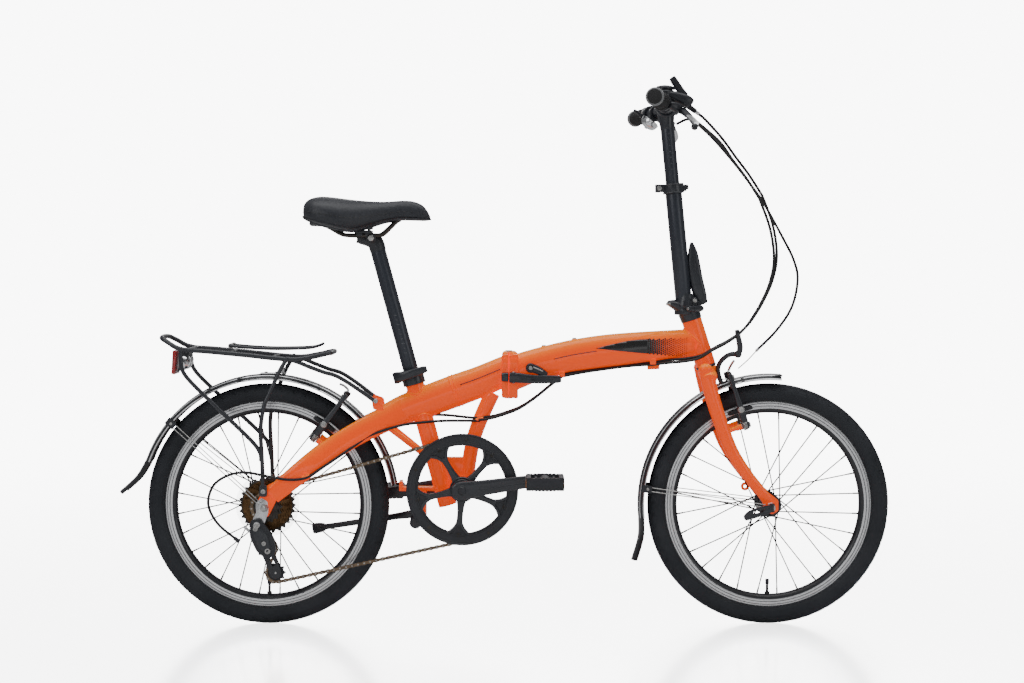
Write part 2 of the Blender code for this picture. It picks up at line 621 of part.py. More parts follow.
def front_frame():
    main = swept(smooth([(x, 0.0, z, w, h) for x, z, w, h in FRONT_TUBE], 2), 12, square=0.85)
    shapes = [main]
    front_face = HINGE_X + GAP
    outline = [(front_face, 0.468), (0.029, 0.475), (0.029, 0.552), (front_face, 0.559)]
    shapes.append(plate(outline, -0.028, 0.032))
    shapes.append(rod((HINGE_X, HINGE_PIN.y, 0.4932), (HINGE_X, HINGE_PIN.y, 0.5338), 0.0105, 16))
    shapes.append(block((0.019, 0.036, 0.5135), (0.0160, 0.014, 0.0400)))
    low = HEAD_TOP - STEER * HEAD_LENGTH
    shapes.append(rod(HEAD_TOP, low, 0.0205, 20))
    for x, z in ((0.082, 0.571), (0.145, 0.586)):
        shapes.append(rod((x, 0, z - 0.010), (x, 0, z + 0.006), 0.0055, 8))
    shapes.append(block((0.308, 0, 0.538), (0.022, 0.014, 0.014)))
    cuts = [rod(HEAD_TOP + STEER * 0.02, low - STEER * 0.02, 0.0165, 20)]
    cuts.append(rod((HINGE_X, HINGE_PIN.y, 0.4), (HINGE_X, HINGE_PIN.y, 0.6), 0.0045, 12))
    piece("front_frame", "orange_paint", shapes, cuts, on="main_fold")


def hinge_lever():
    """The latch on the right of the frame hinge: it swings out and forward."""
    stations = [(0.022, -0.0385, 0.512, 0.010, 0.0065), (0.036, -0.0375, 0.511, 0.0095, 0.0065),
                (0.070, -0.0340, 0.508, 0.0085, 0.0045), (0.100, -0.0330, 0.508, 0.0080, 0.0042),
                (0.118, -0.0340, 0.508, 0.0065, 0.0035)]
    arm = swept(smooth(stations, 2), 8, UP, 0.8)
    hub = rod((0.019, -0.0370, 0.5015), (0.019, -0.0370, 0.5225), 0.0080, 12)
    piece("frame_hinge_lever", "black_paint", [arm, hub], on="hinge_lever")


def fork():
    steerer_top = HEAD_TOP + STEER * 0.0040
    crown = HEAD_TOP - STEER * (HEAD_LENGTH + 0.0165)
    shapes = [rod(crown, steerer_top, 0.0143, 12)]
    shapes.append(rod(crown - STEER * 0.010, crown + STEER * 0.0100, 0.0200, 14))
    shapes.append(swept([
        (crown.x - 0.002, -0.058, crown.z - 0.008, 0.0145, 0.0120),
        (crown.x - 0.002, -0.045, crown.z - 0.004, 0.0160, 0.0135),
        (crown.x - 0.002, 0.045, crown.z - 0.004, 0.0160, 0.0135),
        (crown.x - 0.002, 0.058, crown.z - 0.008, 0.0145, 0.0120)],
        10, FORWARD))
    for side in SIDES.values():
        shapes.append(swept([(x, y * side, z, w, h) for x, y, z, w, h in BLADE], 8))
        inner, outer = sorted((0.0500 * side, 0.0540 * side))
        shapes.append(plate([(0.524, 0.284), (0.540, 0.278), (0.560, 0.262), (0.560, 0.240), (0.547, 0.233),
                             (0.533, 0.240), (0.526, 0.262)], inner, outer))
        boss = mirrored(FRONT_BOSS, side)
        shapes += brake_boss(boss, AHEAD_OF_STEER, Vector((0.446, 0.050 * side, 0.400)))
    cuts = [rod(FRONT_HUB + LEFT * -0.1, FRONT_HUB + LEFT * 0.1, 0.0052, 12)]
    piece("fork", "orange_paint", shapes, cuts, on="steer")


def front_quick_release():
    piece("front_quick_release_lever", "black_paint", [
        rod(FRONT_HUB + Vector((0, -0.0720, -0.0090)), FRONT_HUB + Vector((0, -0.0720, 0.0090)), 0.0050, 12),
        swept([(0.545, -0.0725, 0.249, 0.0040, 0.0075), (0.525, -0.0750, 0.244, 0.0035, 0.0075),
               (0.500, -0.0720, 0.236, 0.0030, 0.0080), (0.488, -0.0690, 0.229, 0.0025, 0.0060)], 8)],
        on="front_quick_release")


# ---------------------------------------------------------------- handlepost and bars

def stem_base():
    """The lower half of the handlepost's hinge, clamped on the steerer."""
    foot = HEAD_TOP + STEER * 0.0046
    shapes = [turned([(0, 0), (0.0205, 0), (0.0215, 0.010), (0, 0.010)], foot, STEER, 16)]
    middle = Vector((0.3745, 0, 0.6475))
    shapes.append(rod(middle - UP * 0.008, middle + UP * 0.0045, 0.0235, 16))
    half_knuckle = STEM_PIN_DIRECTION * 0.009
    shapes.append(rod(STEM_PIN - half_knuckle, STEM_PIN + half_knuckle, 0.0070, 12))
    cuts = []
    for side in (-1, 1):
        near = STEM_PIN + STEM_PIN_DIRECTION * side * 0.0090
        cuts.append(rod(near, near + STEM_PIN_DIRECTION * side * 0.0160, 0.0072, 12))
    pin = rod(STEM_PIN - STEM_PIN_DIRECTION * 0.0235, STEM_PIN + STEM_PIN_DIRECTION * 0.0235, 0.0030, 10)
    base = piece("handlepost_hinge_base", "black_paint", shapes, cuts)
    joined = base.modifiers.new("pin", "BOOLEAN")
    joined.operation = "UNION"
    joined.object = pin
    put_away(pin)
    carry(base, "steer")


def lower_post():
    top = POST_FOOT + POST * LOWER_POST_LENGTH
    middle = Vector((0.3745, 0, 0.6475))
    shapes = [rod(POST_FOOT - POST * 0.012, top, 0.0170, 16)]
    foot = [(0, 0.0050), (0.0235, 0.0050), (0.0225, 0.016), (0.0170, 0.034), (0, 0.034)]
    shapes.append(turned(foot, middle, UP, 16))
    for side in (-1, 1):
        start = STEM_PIN + STEM_PIN_DIRECTION * side * 0.0094
        shapes.append(rod(start, start + STEM_PIN_DIRECTION * side * 0.0110, 0.0065, 12))
        shapes.append(block(start + STEM_PIN_DIRECTION * side * 0.0055 + Vector((-0.005, 0.005, 0.009)),
                            (0.0108, 0.014, 0.012), STEM_PIN_DIRECTION, Vector((1, -1, 0))))
    shapes.append(block((0.3970, 0.010, 0.668), (0.018, 0.013, 0.012)))
    ears = top + FORWARD * -0.027 - POST * 0.009
    shapes.append(rod(top - POST * 0.019, top, 0.0215, 16))
    shapes.append(block(ears, (0.018, 0.020, 0.015), FORWARD))
    cuts = [rod(STEM_PIN - STEM_PIN_DIRECTION * 0.05, STEM_PIN + STEM_PIN_DIRECTION * 0.05, 0.0034, 10)]
    cuts.append(rod(POST_FOOT + POST * 0.012, top + POST * 0.02, UPPER_POST_RADIUS + 0.0006, 16))
    cuts.append(block(ears - FORWARD * 0.004, (0.036, 0.0040, 0.050), POST.cross(LEFT)))
    half_gap = STEM_PIN_DIRECTION * 0.0094
    cuts.append(rod(STEM_PIN - half_gap, STEM_PIN + half_gap, 0.0076, 12))
    piece("lower_handlepost", "black_paint", shapes, cuts, on="stem_fold")


def stem_lever():
    """The latch lever that lies along the front of the handlepost."""
    stations = [(0.412, 0.010, 0.664, 0.0060, 0.0048), (0.4135, 0.010, 0.684, 0.0090, 0.0070),
                (0.4045, 0.010, 0.722, 0.0100, 0.0080), (0.3935, 0.010, 0.760, 0.0080, 0.0070),
                (0.3860, 0.010, 0.786, 0.0060, 0.0030)]
    pin = rod((0.4135, -0.001, 0.668), (0.4135, 0.021, 0.668), 0.0055, 10)
    piece("handlepost_latch_lever", "black_paint", [swept(smooth(stations, 2), 8), pin], on="stem_lever")


def post_clamp():
    """The quick-release lever on the left of the lower post's clamp."""
    ears = POST_FOOT + POST * LOWER_POST_LENGTH + FORWARD * -0.027 - POST * 0.009
    hold = ears + FORWARD * -0.002 + LEFT * 0.0175
    lever = [(hold.x, hold.y + 0.002, hold.z, 0.0060, 0.0045),
             (hold.x + 0.012, hold.y + 0.008, hold.z, 0.0065, 0.0040),
             (hold.x + 0.040, hold.y + 0.010, hold.z + 0.002, 0.0065, 0.0035),
             (hold.x + 0.062, hold.y + 0.008, hold.z + 0.004, 0.0050, 0.0030)]
    piece("handlepost_clamp_lever", "black_paint", [
        swept(smooth(lever, 2), 8, UP),
        rod(hold - POST * 0.0075, hold + POST * 0.0075, 0.0065, 10)], on="post_clamp_lever")


def upper_post():
    top = POST_FOOT + POST * LOWER_POST_LENGTH
    foot = top - POST * 0.060
    head = Vector((BAR.x + 0.001, 0, BAR.z - 0.012))
    shapes = [rod(foot, head, UPPER_POST_RADIUS, 16)]
    shapes.append(rod(BAR + LEFT * -0.022, BAR + LEFT * 0.022, 0.0195, 16))
    cuts = [rod(BAR + LEFT * -0.05, BAR + LEFT * 0.05, 0.0133, 16)]
    piece("upper_handlepost", "black_paint", shapes, cuts, on="post_slide")


def bar_point(y):
    """A point on the handlebar's middle line: straight in the middle, swept back outside."""
    side = math.copysign(1.0, y)
    straight = 0.060
    if abs(y) <= straight:
        return Vector((BAR.x, y, BAR.z))
    share = (abs(y) - straight) / (BAR_END.y - straight)
    return Vector((BAR.x + (BAR_END.x - BAR.x) * share, side * abs(y), BAR.z))


def handlebar():
    points = [bar_point(y) for y in (-0.288, -0.060, 0.060, 0.288)]
    piece("handlebar", "black_paint", [tube(points, 0.0128, 16, reference=UP)], on="post_slide")
    for name, side in SIDES.items():
        start, end = bar_point(side * (0.290 - GRIP_LENGTH)), bar_point(side * 0.290)
        along = end - start
        length = along.length
        profile = [
            (0.0136, 0), (0.0175, 0), (0.0150, 0.006), (0.0155, length - 0.012), (0.0180, length - 0.006),
            (0.0170, length), (0, length), (0, length - 0.0012), (0.0136, length - 0.0012)]
        piece(name + "_grip", "tyre_rubber", [turned(profile, start, along, 16)], on="post_slide")


def brake_lever(name, side):
    """The clamp and barrel on the bar, and the lever that turns in it."""
    at = bar_point(side * 0.158)
    along = (bar_point(side * 0.2) - bar_point(side * 0.15)).normalized()
    ahead = Vector((0.93, 0, -0.37)).normalized()
    ring_shape = ring(at, along, 0.0133, 0.0185, -0.008, 0.008, 16)
    body = block(at + ahead * 0.026 - along * 0.004, (0.018, 0.018, 0.014), ahead, along)
    barrel = rod(at + ahead * 0.028 - along * 0.010, at + ahead * 0.030 - along * 0.042, 0.0045, 8)
    piece(name + "_brake_lever_mount", "black_plastic", [ring_shape, body, barrel], on="post_slide")
    hold = at + ahead * 0.0445 - along * 0.002
    tip = Vector((0.362, side * 0.285, 1.018))
    path = [(*hold, 0.0065, 0.0080), (*hold.lerp(tip, 0.18), 0.0050, 0.0080),
            (*(hold.lerp(tip, 0.55) + Vector((0.010, 0, -0.006))), 0.0045, 0.0065), (*tip, 0.0040, 0.0050)]
    piece(name + "_brake_lever", "polished_metal", [
        swept(smooth(path, 2), 8, UP), ball(tip, 0.0078, 10)], on=name + "_brake_lever")


def shifter():
    """The gear lever's case on the right of the bar, and its lever."""
    at = bar_point(-0.120)
    case = [rod(at + LEFT * 0.011, at - LEFT * 0.011, 0.0175, 16),
            rod((at.x, at.y, at.z + 0.010), (at.x, at.y, at.z + 0.026), 0.0190, 16)]
    along = (bar_point(-0.2) - bar_point(-0.1)).normalized()
    cut = rod(at - along * 0.05, at + along * 0.05, 0.0136, 16)
    piece("shifter_case", "black_plastic", case, [cut], on="post_slide")
    base = Vector((at.x, at.y, at.z + 0.0265))
    paddle = [(base.x + 0.006, base.y, base.z + 0.0045, 0.0070, 0.0040),
              (base.x + 0.024, base.y, base.z + 0.0060, 0.0070, 0.0045),
              (base.x + 0.021, base.y, base.z + 0.0140, 0.0070, 0.0035),
              (base.x + 0.014, base.y, base.z + 0.0250, 0.0065, 0.0050)]
    piece("shifter_lever", "black_plastic", [
        rod(base, base + UP * 0.0090, 0.0170, 16), swept(paddle, 8)], on="shifter_lever")


def striker_pivot():
    return bar_point(BELL_Y) + BELL_BACK * 0.0235 - LEFT * 0.004 + BELL_UP * 0.026


def bell():
    """A small dome bell under the left of the bar, with a thumb striker behind it."""
    at = bar_point(BELL_Y)
    dome = [(0, 0.040), (0.008, 0.0395), (0.0150, 0.036), (0.0185, 0.029), (0.0190, 0.022), (0, 0.022)]
    strap = ring(at, bar_point(0.2) - bar_point(0.1), 0.0133, 0.0160, -0.005, 0.005, 16)
    stalk = rod(at + BELL_UP * 0.0150, at + BELL_UP * 0.024, 0.0050, 8)
    piece("bell", "polished_metal", [turned(dome, at, BELL_UP, 16), strap, stalk], on="post_slide")
    hold = striker_pivot()
    thumb = block(hold + BELL_BACK * 0.010 - LEFT * 0.003, (0.018, 0.006, 0.0060), BELL_BACK - LEFT * 0.3)
    pin = rod(hold - BELL_UP * 0.0040, hold + BELL_UP * 0.0040, 0.0035, 8)
    piece("bell_striker", "black_plastic", [pin, thumb], on="bell_striker")


# ---------------------------------------------------------------- seat

SADDLE = [  # x, half width, top z, bottom z
    (-0.411, 0.030, 0.860, 0.842), (-0.404, 0.058, 0.8735, 0.834), (-0.385, 0.073, 0.8805, 0.8285),
    (-0.352, 0.078, 0.8785, 0.8215), (-0.318, 0.070, 0.8735, 0.8180), (-0.285, 0.052, 0.8710, 0.8230),
    (-0.250, 0.034, 0.8710, 0.8300), (-0.212, 0.024, 0.8710, 0.8390), (-0.175, 0.020, 0.8600, 0.8380),
    (-0.156, 0.014, 0.8470, 0.8350), (-0.149, 0.007, 0.8400, 0.8345)]


def saddle():
    bm = bmesh.new()
    sides = 12
    rings = []
    for x, half, top, low in SADDLE:
        ring_verts = []
        for k in range(sides):
            turn = 2 * math.pi * (k + 0.5) / sides
            c, s = math.cos(turn), math.sin(turn)
            lift = top if s > 0 else low
            middle = (top + low) / 2
            across = half * math.copysign(abs(c) ** 0.8, c)
            height = middle + (lift - middle) * abs(s) ** 0.8
            ring_verts.append(bm.verts.new((x, across, height)))
        rings.append(ring_verts)
    for near, far in zip(rings, rings[1:]):
        for k in range(sides):
            m = (k + 1) % sides
            bm.faces.new((near[k], near[m], far[m], far[k]))
    bm.faces.new(rings[0])
    bm.faces.new(rings[-1])
    piece("saddle", "saddle_cover", [solid(bm)], on="seatpost_slide")


def seatpost():
    foot = SEAT_TUBE_TOP - SEAT * 0.110
    head = SEAT_TUBE_TOP + SEAT * 0.277
    shapes = [rod(foot, head + SEAT * 0.014, SEATPOST_RADIUS, 16)]
    top = head + Vector((-0.010, 0, 0.0165))
    shapes.append(rod(top + LEFT * -0.027, top + LEFT * 0.027, 0.0110, 12))
    shapes.append(block(top + Vector((-0.016, 0, 0.0)), (0.030, 0.034, 0.020)))
    grooves = [
        rod(top + Vector((-0.06, y, 0.0055)), top + Vector((0.04, y, 0.0055)), 0.0043, 8)
        for y in (-0.0215, 0.0215)]
    piece("seatpost", "black_paint", shapes, grooves, on="seatpost_slide")
    z = top.z + 0.0055
    rails = []
    for side in SIDES.values():
        y = 0.0215 * side
        rails.append(tube([(-0.220, 0.006 * side, 0.832), (-0.238, 0.012 * side, 0.8145), (-0.256, y, z),
                           (-0.318, y, z), (-0.345, y * 1.2, 0.8125)], 0.0036, 6))
    rails.append(rod((-0.220, -0.010, 0.832), (-0.220, 0.010, 0.832), 0.0036, 6))
    piece("saddle_rails", "dark_steel", rails, on="seatpost_slide")


# ---------------------------------------------------------------- brakes

def brake_arm(end, name, side):
    """One arm of a linear-pull brake with its pad, hung on a boss."""
    boss = mirrored(FRONT_BOSS if end == "front" else REAR_BOSS, side)
    axis = brake_axis(end)
    if end == "front":
        up = STEER
    else:
        up = Vector((REAR_BOSS.x, 0, REAR_BOSS.z)) - REAR_HUB
        up.normalize()
    out = LEFT * side
    start = boss + axis * GAP
    middle = start + axis * 0.0065
    shapes = [rod(start, start + axis * 0.013, 0.0085, 12)]
    stations = [(*(middle + up * t + out * o), w, h) for t, o, w, h in (
        (0.0, 0.000, 0.0045, 0.0060), (0.035, 0.004, 0.0040, 0.0060), (0.075, 0.003, 0.0035, 0.0050),
        (BRAKE_ARM_LENGTH, 0.001, 0.0035, 0.0050))]
    shapes.append(swept(smooth(stations, 2), 8))
    hub = FRONT_HUB if end == "front" else REAR_HUB
    reach = middle + up * 0.034
    pad_end = Vector((reach.x, side * 0.0200, reach.z))
    shapes.append(rod(pad_end, pad_end + out * 0.026, 0.0035, 8))
    radial = (Vector((reach.x, 0, reach.z)) - hub).normalized()
    centre = hub + radial * 0.2035 + LEFT * side * 0.01935
    tangent = Vector((-radial.z, 0, radial.x))
    shapes.append(block(centre, (0.052, 0.0107, 0.0100), tangent, LEFT))
    piece(f"{end}_{name}_brake_arm", "black_paint", shapes, on=f"{end}_{name}_brake")


# ---------------------------------------------------------------- guards, rack and fittings

def mudguard(hub, start, stop, flap):
    """A thin curved guard over a wheel from one angle to another, with a flat flap."""
    steps = max(6, round(abs(stop - start) / math.radians(11)))
    section = [(0.0, 1.0), (0.35, 0.9965), (0.75, 0.983), (1.0, 0.965)]
    profile = [(-u * MUDGUARD_HALF_WIDTH, v) for u, v in section[:0:-1]]
    profile += [(u * MUDGUARD_HALF_WIDTH, v) for u, v in section]
    bm = bmesh.new()
    rings = []

    def ring_at(middle, direction, swell):
        outer = [middle + direction * (MUDGUARD_RADIUS * v) + LEFT * u * swell for u, v in profile]
        inner = [middle + direction * (MUDGUARD_RADIUS * v - MUDGUARD_THICKNESS) + LEFT * (u * swell * 0.94)
                 for u, v in reversed(profile)]
        rings.append([bm.verts.new(place) for place in outer + inner])

    for k in range(steps + 1):
        angle = start + (stop - start) * k / steps
        ring_at(hub, Vector((math.cos(angle), 0, math.sin(angle))), 1.0)
    last = Vector((math.cos(stop), 0, math.sin(stop)))
    tangent = Vector((-math.sin(stop), 0, math.cos(stop)))
    for length, outward, swell in flap:
        ring_at(hub + tangent * length + last * outward, last, swell)
    count = len(rings[0])
    for near, far in zip(rings, rings[1:]):
        for k in range(count):
            m = (k + 1) % count
            bm.faces.new((near[k], near[m], far[m], far[k]))
    bm.faces.new(rings[0])
    bm.faces.new(rings[-1])
    return solid(bm)


def mudguards():
    rear_flap = [(0.040, 0.008, 1.05), (0.080, 0.029646, 1.15)]
    rear = mudguard(REAR_HUB, math.radians(9), math.radians(160), rear_flap)
    piece("rear_mudguard", "black_plastic", [rear])
    front_flap = [(0.045, 0.001, 1.05), (0.086, 0.003, 1.10)]
    front = mudguard(FRONT_HUB, math.radians(84.6), math.radians(186), front_flap)
    piece("front_mudguard", "black_plastic", [front], on="steer")


def rear_rack():
    """A tube deck over the rear wheel with front legs and two pairs of struts."""
    tube_r = 0.0050
    shapes = []
    deck = {1: [], -1: []}
    for side in (1, -1):
        y = 0.060 * side
        deck[side] = [(-0.360, y * 0.86, 0.562), (-0.423, y, 0.549), (-0.515, y, 0.558), (-0.655, y, 0.571),
                      (-0.698, y * 0.72, 0.5935)]
    loop = deck[1] + deck[-1][::-1]
    shapes.append(tube([Vector(p) for p in loop], tube_r, 8))
    for x, z in ((-0.360, 0.562), (-0.470, 0.5535), (-0.560, 0.5622), (-0.640, 0.5696)):
        half = 0.0516 if x == -0.360 else 0.060
        shapes.append(rod((x, -half, z), (x, half, z), tube_r * 0.92, 8))
    for side in (1, -1):
        y = 0.060 * side
        shapes.append(tube([(-0.440, y, 0.551), (-0.395, 0.058 * side, 0.535), (-0.338, 0.054 * side, 0.515),
                            (-0.262, 0.0360 * side, 0.462)], 0.0045, 6))
        shapes.append(tube([(-0.441, y, 0.551), (-0.467, 0.066 * side, 0.500), (-0.486, 0.073 * side, 0.455),
                            (-0.493, 0.0765 * side, 0.410), (-0.488, 0.0765 * side, 0.290)], 0.0045, 6))
        shapes.append(tube([(-0.655, y, 0.571), (-0.653, 0.064 * side, 0.528), (-0.630, 0.067 * side, 0.500),
                            (-0.510, 0.0765 * side, 0.385), (-0.492, 0.0765 * side, 0.345)], 0.0045, 6))
    bracket = [(-0.6695, 0.522), (-0.661, 0.528), (-0.639, 0.5715), (-0.656, 0.5690)]
    shapes.append(plate(bracket, -0.0260, 0.0260))
    piece("rear_rack", "black_paint", shapes)
    clip = [rod((-0.560, -0.030, 0.5760), (-0.560, 0.030, 0.5760), 0.0030, 8)]
    for side in (1, -1):
        arm = [(-0.560, 0.030 * side, 0.5760), (-0.480, 0.030 * side, 0.5705),
               (-0.400, 0.024 * side, 0.5720), (-0.372, 0.0, 0.5800)]
        clip.append(tube(arm, 0.0030, 6))
    piece("rack_spring_clip", "black_paint", clip, on="rack_clip")


def lamps():
    piece("rear_reflector", "red_lens", [plate(
        [(-0.681, 0.519), (-0.674, 0.517), (-0.670, 0.566), (-0.678, 0.567)], -0.0300, 0.0300)])


def kickstand():
    along = (KICKSTAND_FOOT - KICKSTAND_PIVOT).normalized()
    path = [(*KICKSTAND_PIVOT, 0.0070, 0.0090), (*(KICKSTAND_PIVOT + along * 0.05), 0.0060, 0.0070),
            (*(KICKSTAND_PIVOT + along * 0.19), 0.0055, 0.0060),
            (*(KICKSTAND_FOOT - along * 0.012), 0.0065, 0.0100),
            (*KICKSTAND_FOOT, 0.0070, 0.0110)]
    half_hub = KICKSTAND_AXIS * 0.0085
    hub = rod(KICKSTAND_PIVOT - half_hub, KICKSTAND_PIVOT + half_hub, 0.0115, 12)
    piece("kickstand_leg", "black_paint", [swept(path, 8), hub], on="kickstand")


def cable(points, radius=0.0025, steps=3):
    return tube(points, radius, 6, steps)


def cables():
    """The cable bundle in front, and the lines that run on to the rear brake and gear."""
    clip = (0.308, 0.0, 0.5275)
    front = [
        cable([(0.392, -0.016, 1.046), (0.446, -0.012, 0.990), (0.510, -0.004, 0.880), (0.540, 0.004, 0.760),
               (0.512, 0.016, 0.655), (0.455, 0.033, 0.585), (0.405, 0.036, 0.545), (0.355, 0.022, 0.530),
               clip], steps=2),
        cable([clip, (0.220, 0.0, 0.5220), (0.120, 0.004, 0.506), (0.060, 0.012, 0.4790)], steps=1)]
    piece("front_cables", "black_plastic", front, on="main_fold")


# ---------------------------------------------------------------- assembly

def clear_scene():
    for old in list(bpy.data.objects):
        bpy.data.objects.remove(old)


def make_pivots():
    pivot("main_fold", HINGE_PIN)
    pivot("hinge_lever", (0.019, -0.0370, 0.512), "main_fold")
    pivot("steer", HEAD_TOP, "main_fold")
    pivot("stem_fold", STEM_PIN, "steer")
    pivot("stem_lever", (0.4135, 0.010, 0.668), "stem_fold")
    pivot("post_slide", POST_FOOT + POST * LOWER_POST_LENGTH, "stem_fold")
    ears = POST_FOOT + POST * LOWER_POST_LENGTH + FORWARD * -0.027 - POST * 0.009
    pivot("post_clamp_lever", ears + FORWARD * -0.002 + LEFT * 0.0175, "stem_fold")
    for name, side in SIDES.items():
        at = bar_point(side * 0.158)
        along = (bar_point(side * 0.2) - bar_point(side * 0.15)).normalized()
        ahead = Vector((0.93, 0, -0.37)).normalized()
        pivot(name + "_brake_lever", at + ahead * 0.0445 - along * 0.002, "post_slide")
    pivot("shifter_lever", bar_point(-0.120), "post_slide")
    pivot("bell_striker", striker_pivot(), "post_slide")
    pivot("front_wheel", FRONT_HUB, "steer")
    pivot("front_quick_release", FRONT_HUB + LEFT * -0.072, "steer")
    for name, side in SIDES.items():
        pivot(f"front_{name}_brake", mirrored(FRONT_BOSS, side), "steer")
        pivot(f"rear_{name}_brake", mirrored(REAR_BOSS, side))
    pivot("rear_wheel", REAR_HUB)
    pivot("freewheel", REAR_HUB)
    pivot("crank", BRACKET)
    for name, side in SIDES.items():
        angle = CRANK_ANGLE if side < 0 else CRANK_ANGLE + math.pi
        pivot(name + "_pedal", around(BRACKET, CRANK_LENGTH, angle, side * PEDAL_INNER_Y), "crank")
    pivot("derailleur_shift", GUIDE_PULLEY)
    pivot("guide_pulley", GUIDE_PULLEY, "derailleur_shift")
    pivot("tension_pulley", TENSION_PULLEY, "derailleur_shift")
    pivot("seatpost_slide", SEAT_TUBE_TOP)
    pivot("seat_clamp_lever", SEAT_TUBE_TOP + FORWARD * -0.032 + SEAT * -0.004 + LEFT * -0.0185)
    pivot("kickstand", KICKSTAND_PIVOT)
    pivot("rack_clip", (-0.560, 0.0, 0.5760))


def build():
    clear_scene()
    make_pivots()
    rear_frame()
    hinge_pin()
    seat_clamp()
    bottom_bracket()
    chainring()
    cranks()
    chain()
    derailleur()
    front_frame()
    hinge_lever()
    fork()
    front_quick_release()
    stem_base()
    lower_post()
    stem_lever()
    post_clamp()
    upper_post()
    handlebar()
    for name, side in SIDES.items():
        brake_lever(name, side)
        for end in ("front", "rear"):
            brake_arm(end, name, side)
    shifter()
    bell()
    saddle()
    seatpost()
    mudguards()
    rear_rack()
    lamps()
    kickstand()
    cables()
    freewheel()
    tyre("rear_tyre", REAR_HUB, "rear_wheel")
    tyre("front_tyre", FRONT_HUB, "front_wheel")
    rim("rear_rim", REAR_HUB, "rear_wheel")
    rim("front_rim", FRONT_HUB, "front_wheel")
    spoked_hub("rear_hub_and_spokes", REAR_HUB, "rear_wheel", -0.019, 0.036, 0.052)
    spoked_hub("front_hub_and_spokes", FRONT_HUB, "front_wheel", -0.033, 0.033, 0.040)
    axle("rear_axle", REAR_HUB, 0.088, 0.0712)
    axle("front_axle", FRONT_HUB, 0.0655, 0.0543, "steer")


build()
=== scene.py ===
import json
import math

import bmesh
import bpy
from mathutils import Matrix, Vector
from mathutils.bvhtree import BVHTree

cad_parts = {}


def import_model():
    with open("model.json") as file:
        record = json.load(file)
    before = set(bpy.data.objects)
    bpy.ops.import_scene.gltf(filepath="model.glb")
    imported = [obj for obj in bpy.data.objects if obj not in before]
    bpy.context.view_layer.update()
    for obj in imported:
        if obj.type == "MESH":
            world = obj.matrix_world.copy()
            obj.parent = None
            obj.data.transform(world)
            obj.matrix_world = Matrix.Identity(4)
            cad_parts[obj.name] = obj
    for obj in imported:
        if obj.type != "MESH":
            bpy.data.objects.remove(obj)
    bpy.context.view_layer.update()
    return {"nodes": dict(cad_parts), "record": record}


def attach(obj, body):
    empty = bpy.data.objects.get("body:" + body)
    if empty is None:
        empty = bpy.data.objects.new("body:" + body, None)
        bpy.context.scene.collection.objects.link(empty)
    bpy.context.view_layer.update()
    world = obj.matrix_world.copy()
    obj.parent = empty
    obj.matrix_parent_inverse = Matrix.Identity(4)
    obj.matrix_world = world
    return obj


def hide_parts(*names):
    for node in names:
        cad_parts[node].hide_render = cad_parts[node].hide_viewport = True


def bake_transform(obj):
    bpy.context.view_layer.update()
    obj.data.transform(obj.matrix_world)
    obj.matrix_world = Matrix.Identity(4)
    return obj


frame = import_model()

# The looks of a folding bicycle, laid over its CAD frame.
# Units are metres. +X is forward, +Y is the rider's left and +Z is up.


# ---------------------------------------------------------------- dimensions shared with the CAD

UP = Vector((0.0, 0.0, 1.0))
LEFT = Vector((0.0, 1.0, 0.0))
FORWARD = Vector((1.0, 0.0, 0.0))
SIDES = {"left": 1, "right": -1}

WHEEL_RADIUS = 0.249
SPOKE_COUNT = 28
SPIDER_ARMS = 5
REAR_HUB = Vector((-0.486, 0.0, WHEEL_RADIUS))
FRONT_HUB = Vector((0.545, 0.0, WHEEL_RADIUS))
BRACKET = Vector((-0.085, 0.0, 0.284))
CRANK_LENGTH = 0.169
CRANK_ANGLE = math.radians(8.3)
PEDAL_INNER_Y = 0.09
PEDAL_OUTER_Y = 0.176
CHAIN_PITCH = 0.0127
CHAINRING_TEETH = 52
SPROCKET_TEETH = (28, 24, 22, 20, 18, 16, 14)
SPROCKET_SPACING = 0.005
SMALL_SPROCKET_Y = -0.058
CHAINRING_Y = -0.045
PULLEY_TEETH = 10
GUIDE_PULLEY = Vector((-0.484, 0.0, 0.163))
TENSION_PULLEY = Vector((-0.465, 0.0, 0.115))
HINGE_X = 0.01
HINGE_PIN = Vector((HINGE_X, 0.043, 0.5135))
HEAD_TOP = Vector((0.386, 0.0, 0.629))
HEAD_LENGTH = 0.098
STEER_LEAN = math.radians(17.7)
STEER = Vector((-math.sin(STEER_LEAN), 0.0, math.cos(STEER_LEAN)))
AHEAD_OF_STEER = Vector((math.cos(STEER_LEAN), 0.0, math.sin(STEER_LEAN)))
FORK_CROWN = HEAD_TOP - STEER * (HEAD_LENGTH + 0.0165)
SEAT_TUBE_TOP = Vector((-0.1888, 0.0, 0.513))
SEAT_LEAN = math.radians(15.2)
SEAT = Vector((-math.sin(SEAT_LEAN), 0.0, math.cos(SEAT_LEAN)))
SEAT_TUBE_LENGTH = 0.277
SEATPOST_RADIUS = 0.0159
POST_LEAN = math.radians(5.6)
POST = Vector((-math.sin(POST_LEAN), 0.0, math.cos(POST_LEAN)))
POST_FOOT = Vector((0.369, 0.0, 0.678))
STEM_PIN = Vector((0.391, -0.021, 0.6525))
STEM_PIN_DIRECTION = Vector((math.sqrt(0.5), math.sqrt(0.5), 0.0))
LOWER_POST_LENGTH = 0.2308
POST_TOP = POST_FOOT + POST * LOWER_POST_LENGTH
POST_CLAMP_EARS = POST_TOP + FORWARD * -0.027 - POST * 0.009
STEM_JOINT = Vector((0.3745, 0, 0.6475))
UPPER_POST_RADIUS = 0.014
BAR = Vector((0.331, 0.0, 1.062))
BELL_Y = 0.105
BELL_UP = Vector((-0.6, 0.0, -0.8))
BELL_BACK = Vector((-0.8, 0.0, 0.6))
BAR_END = Vector((0.287, 0.29, 1.062))
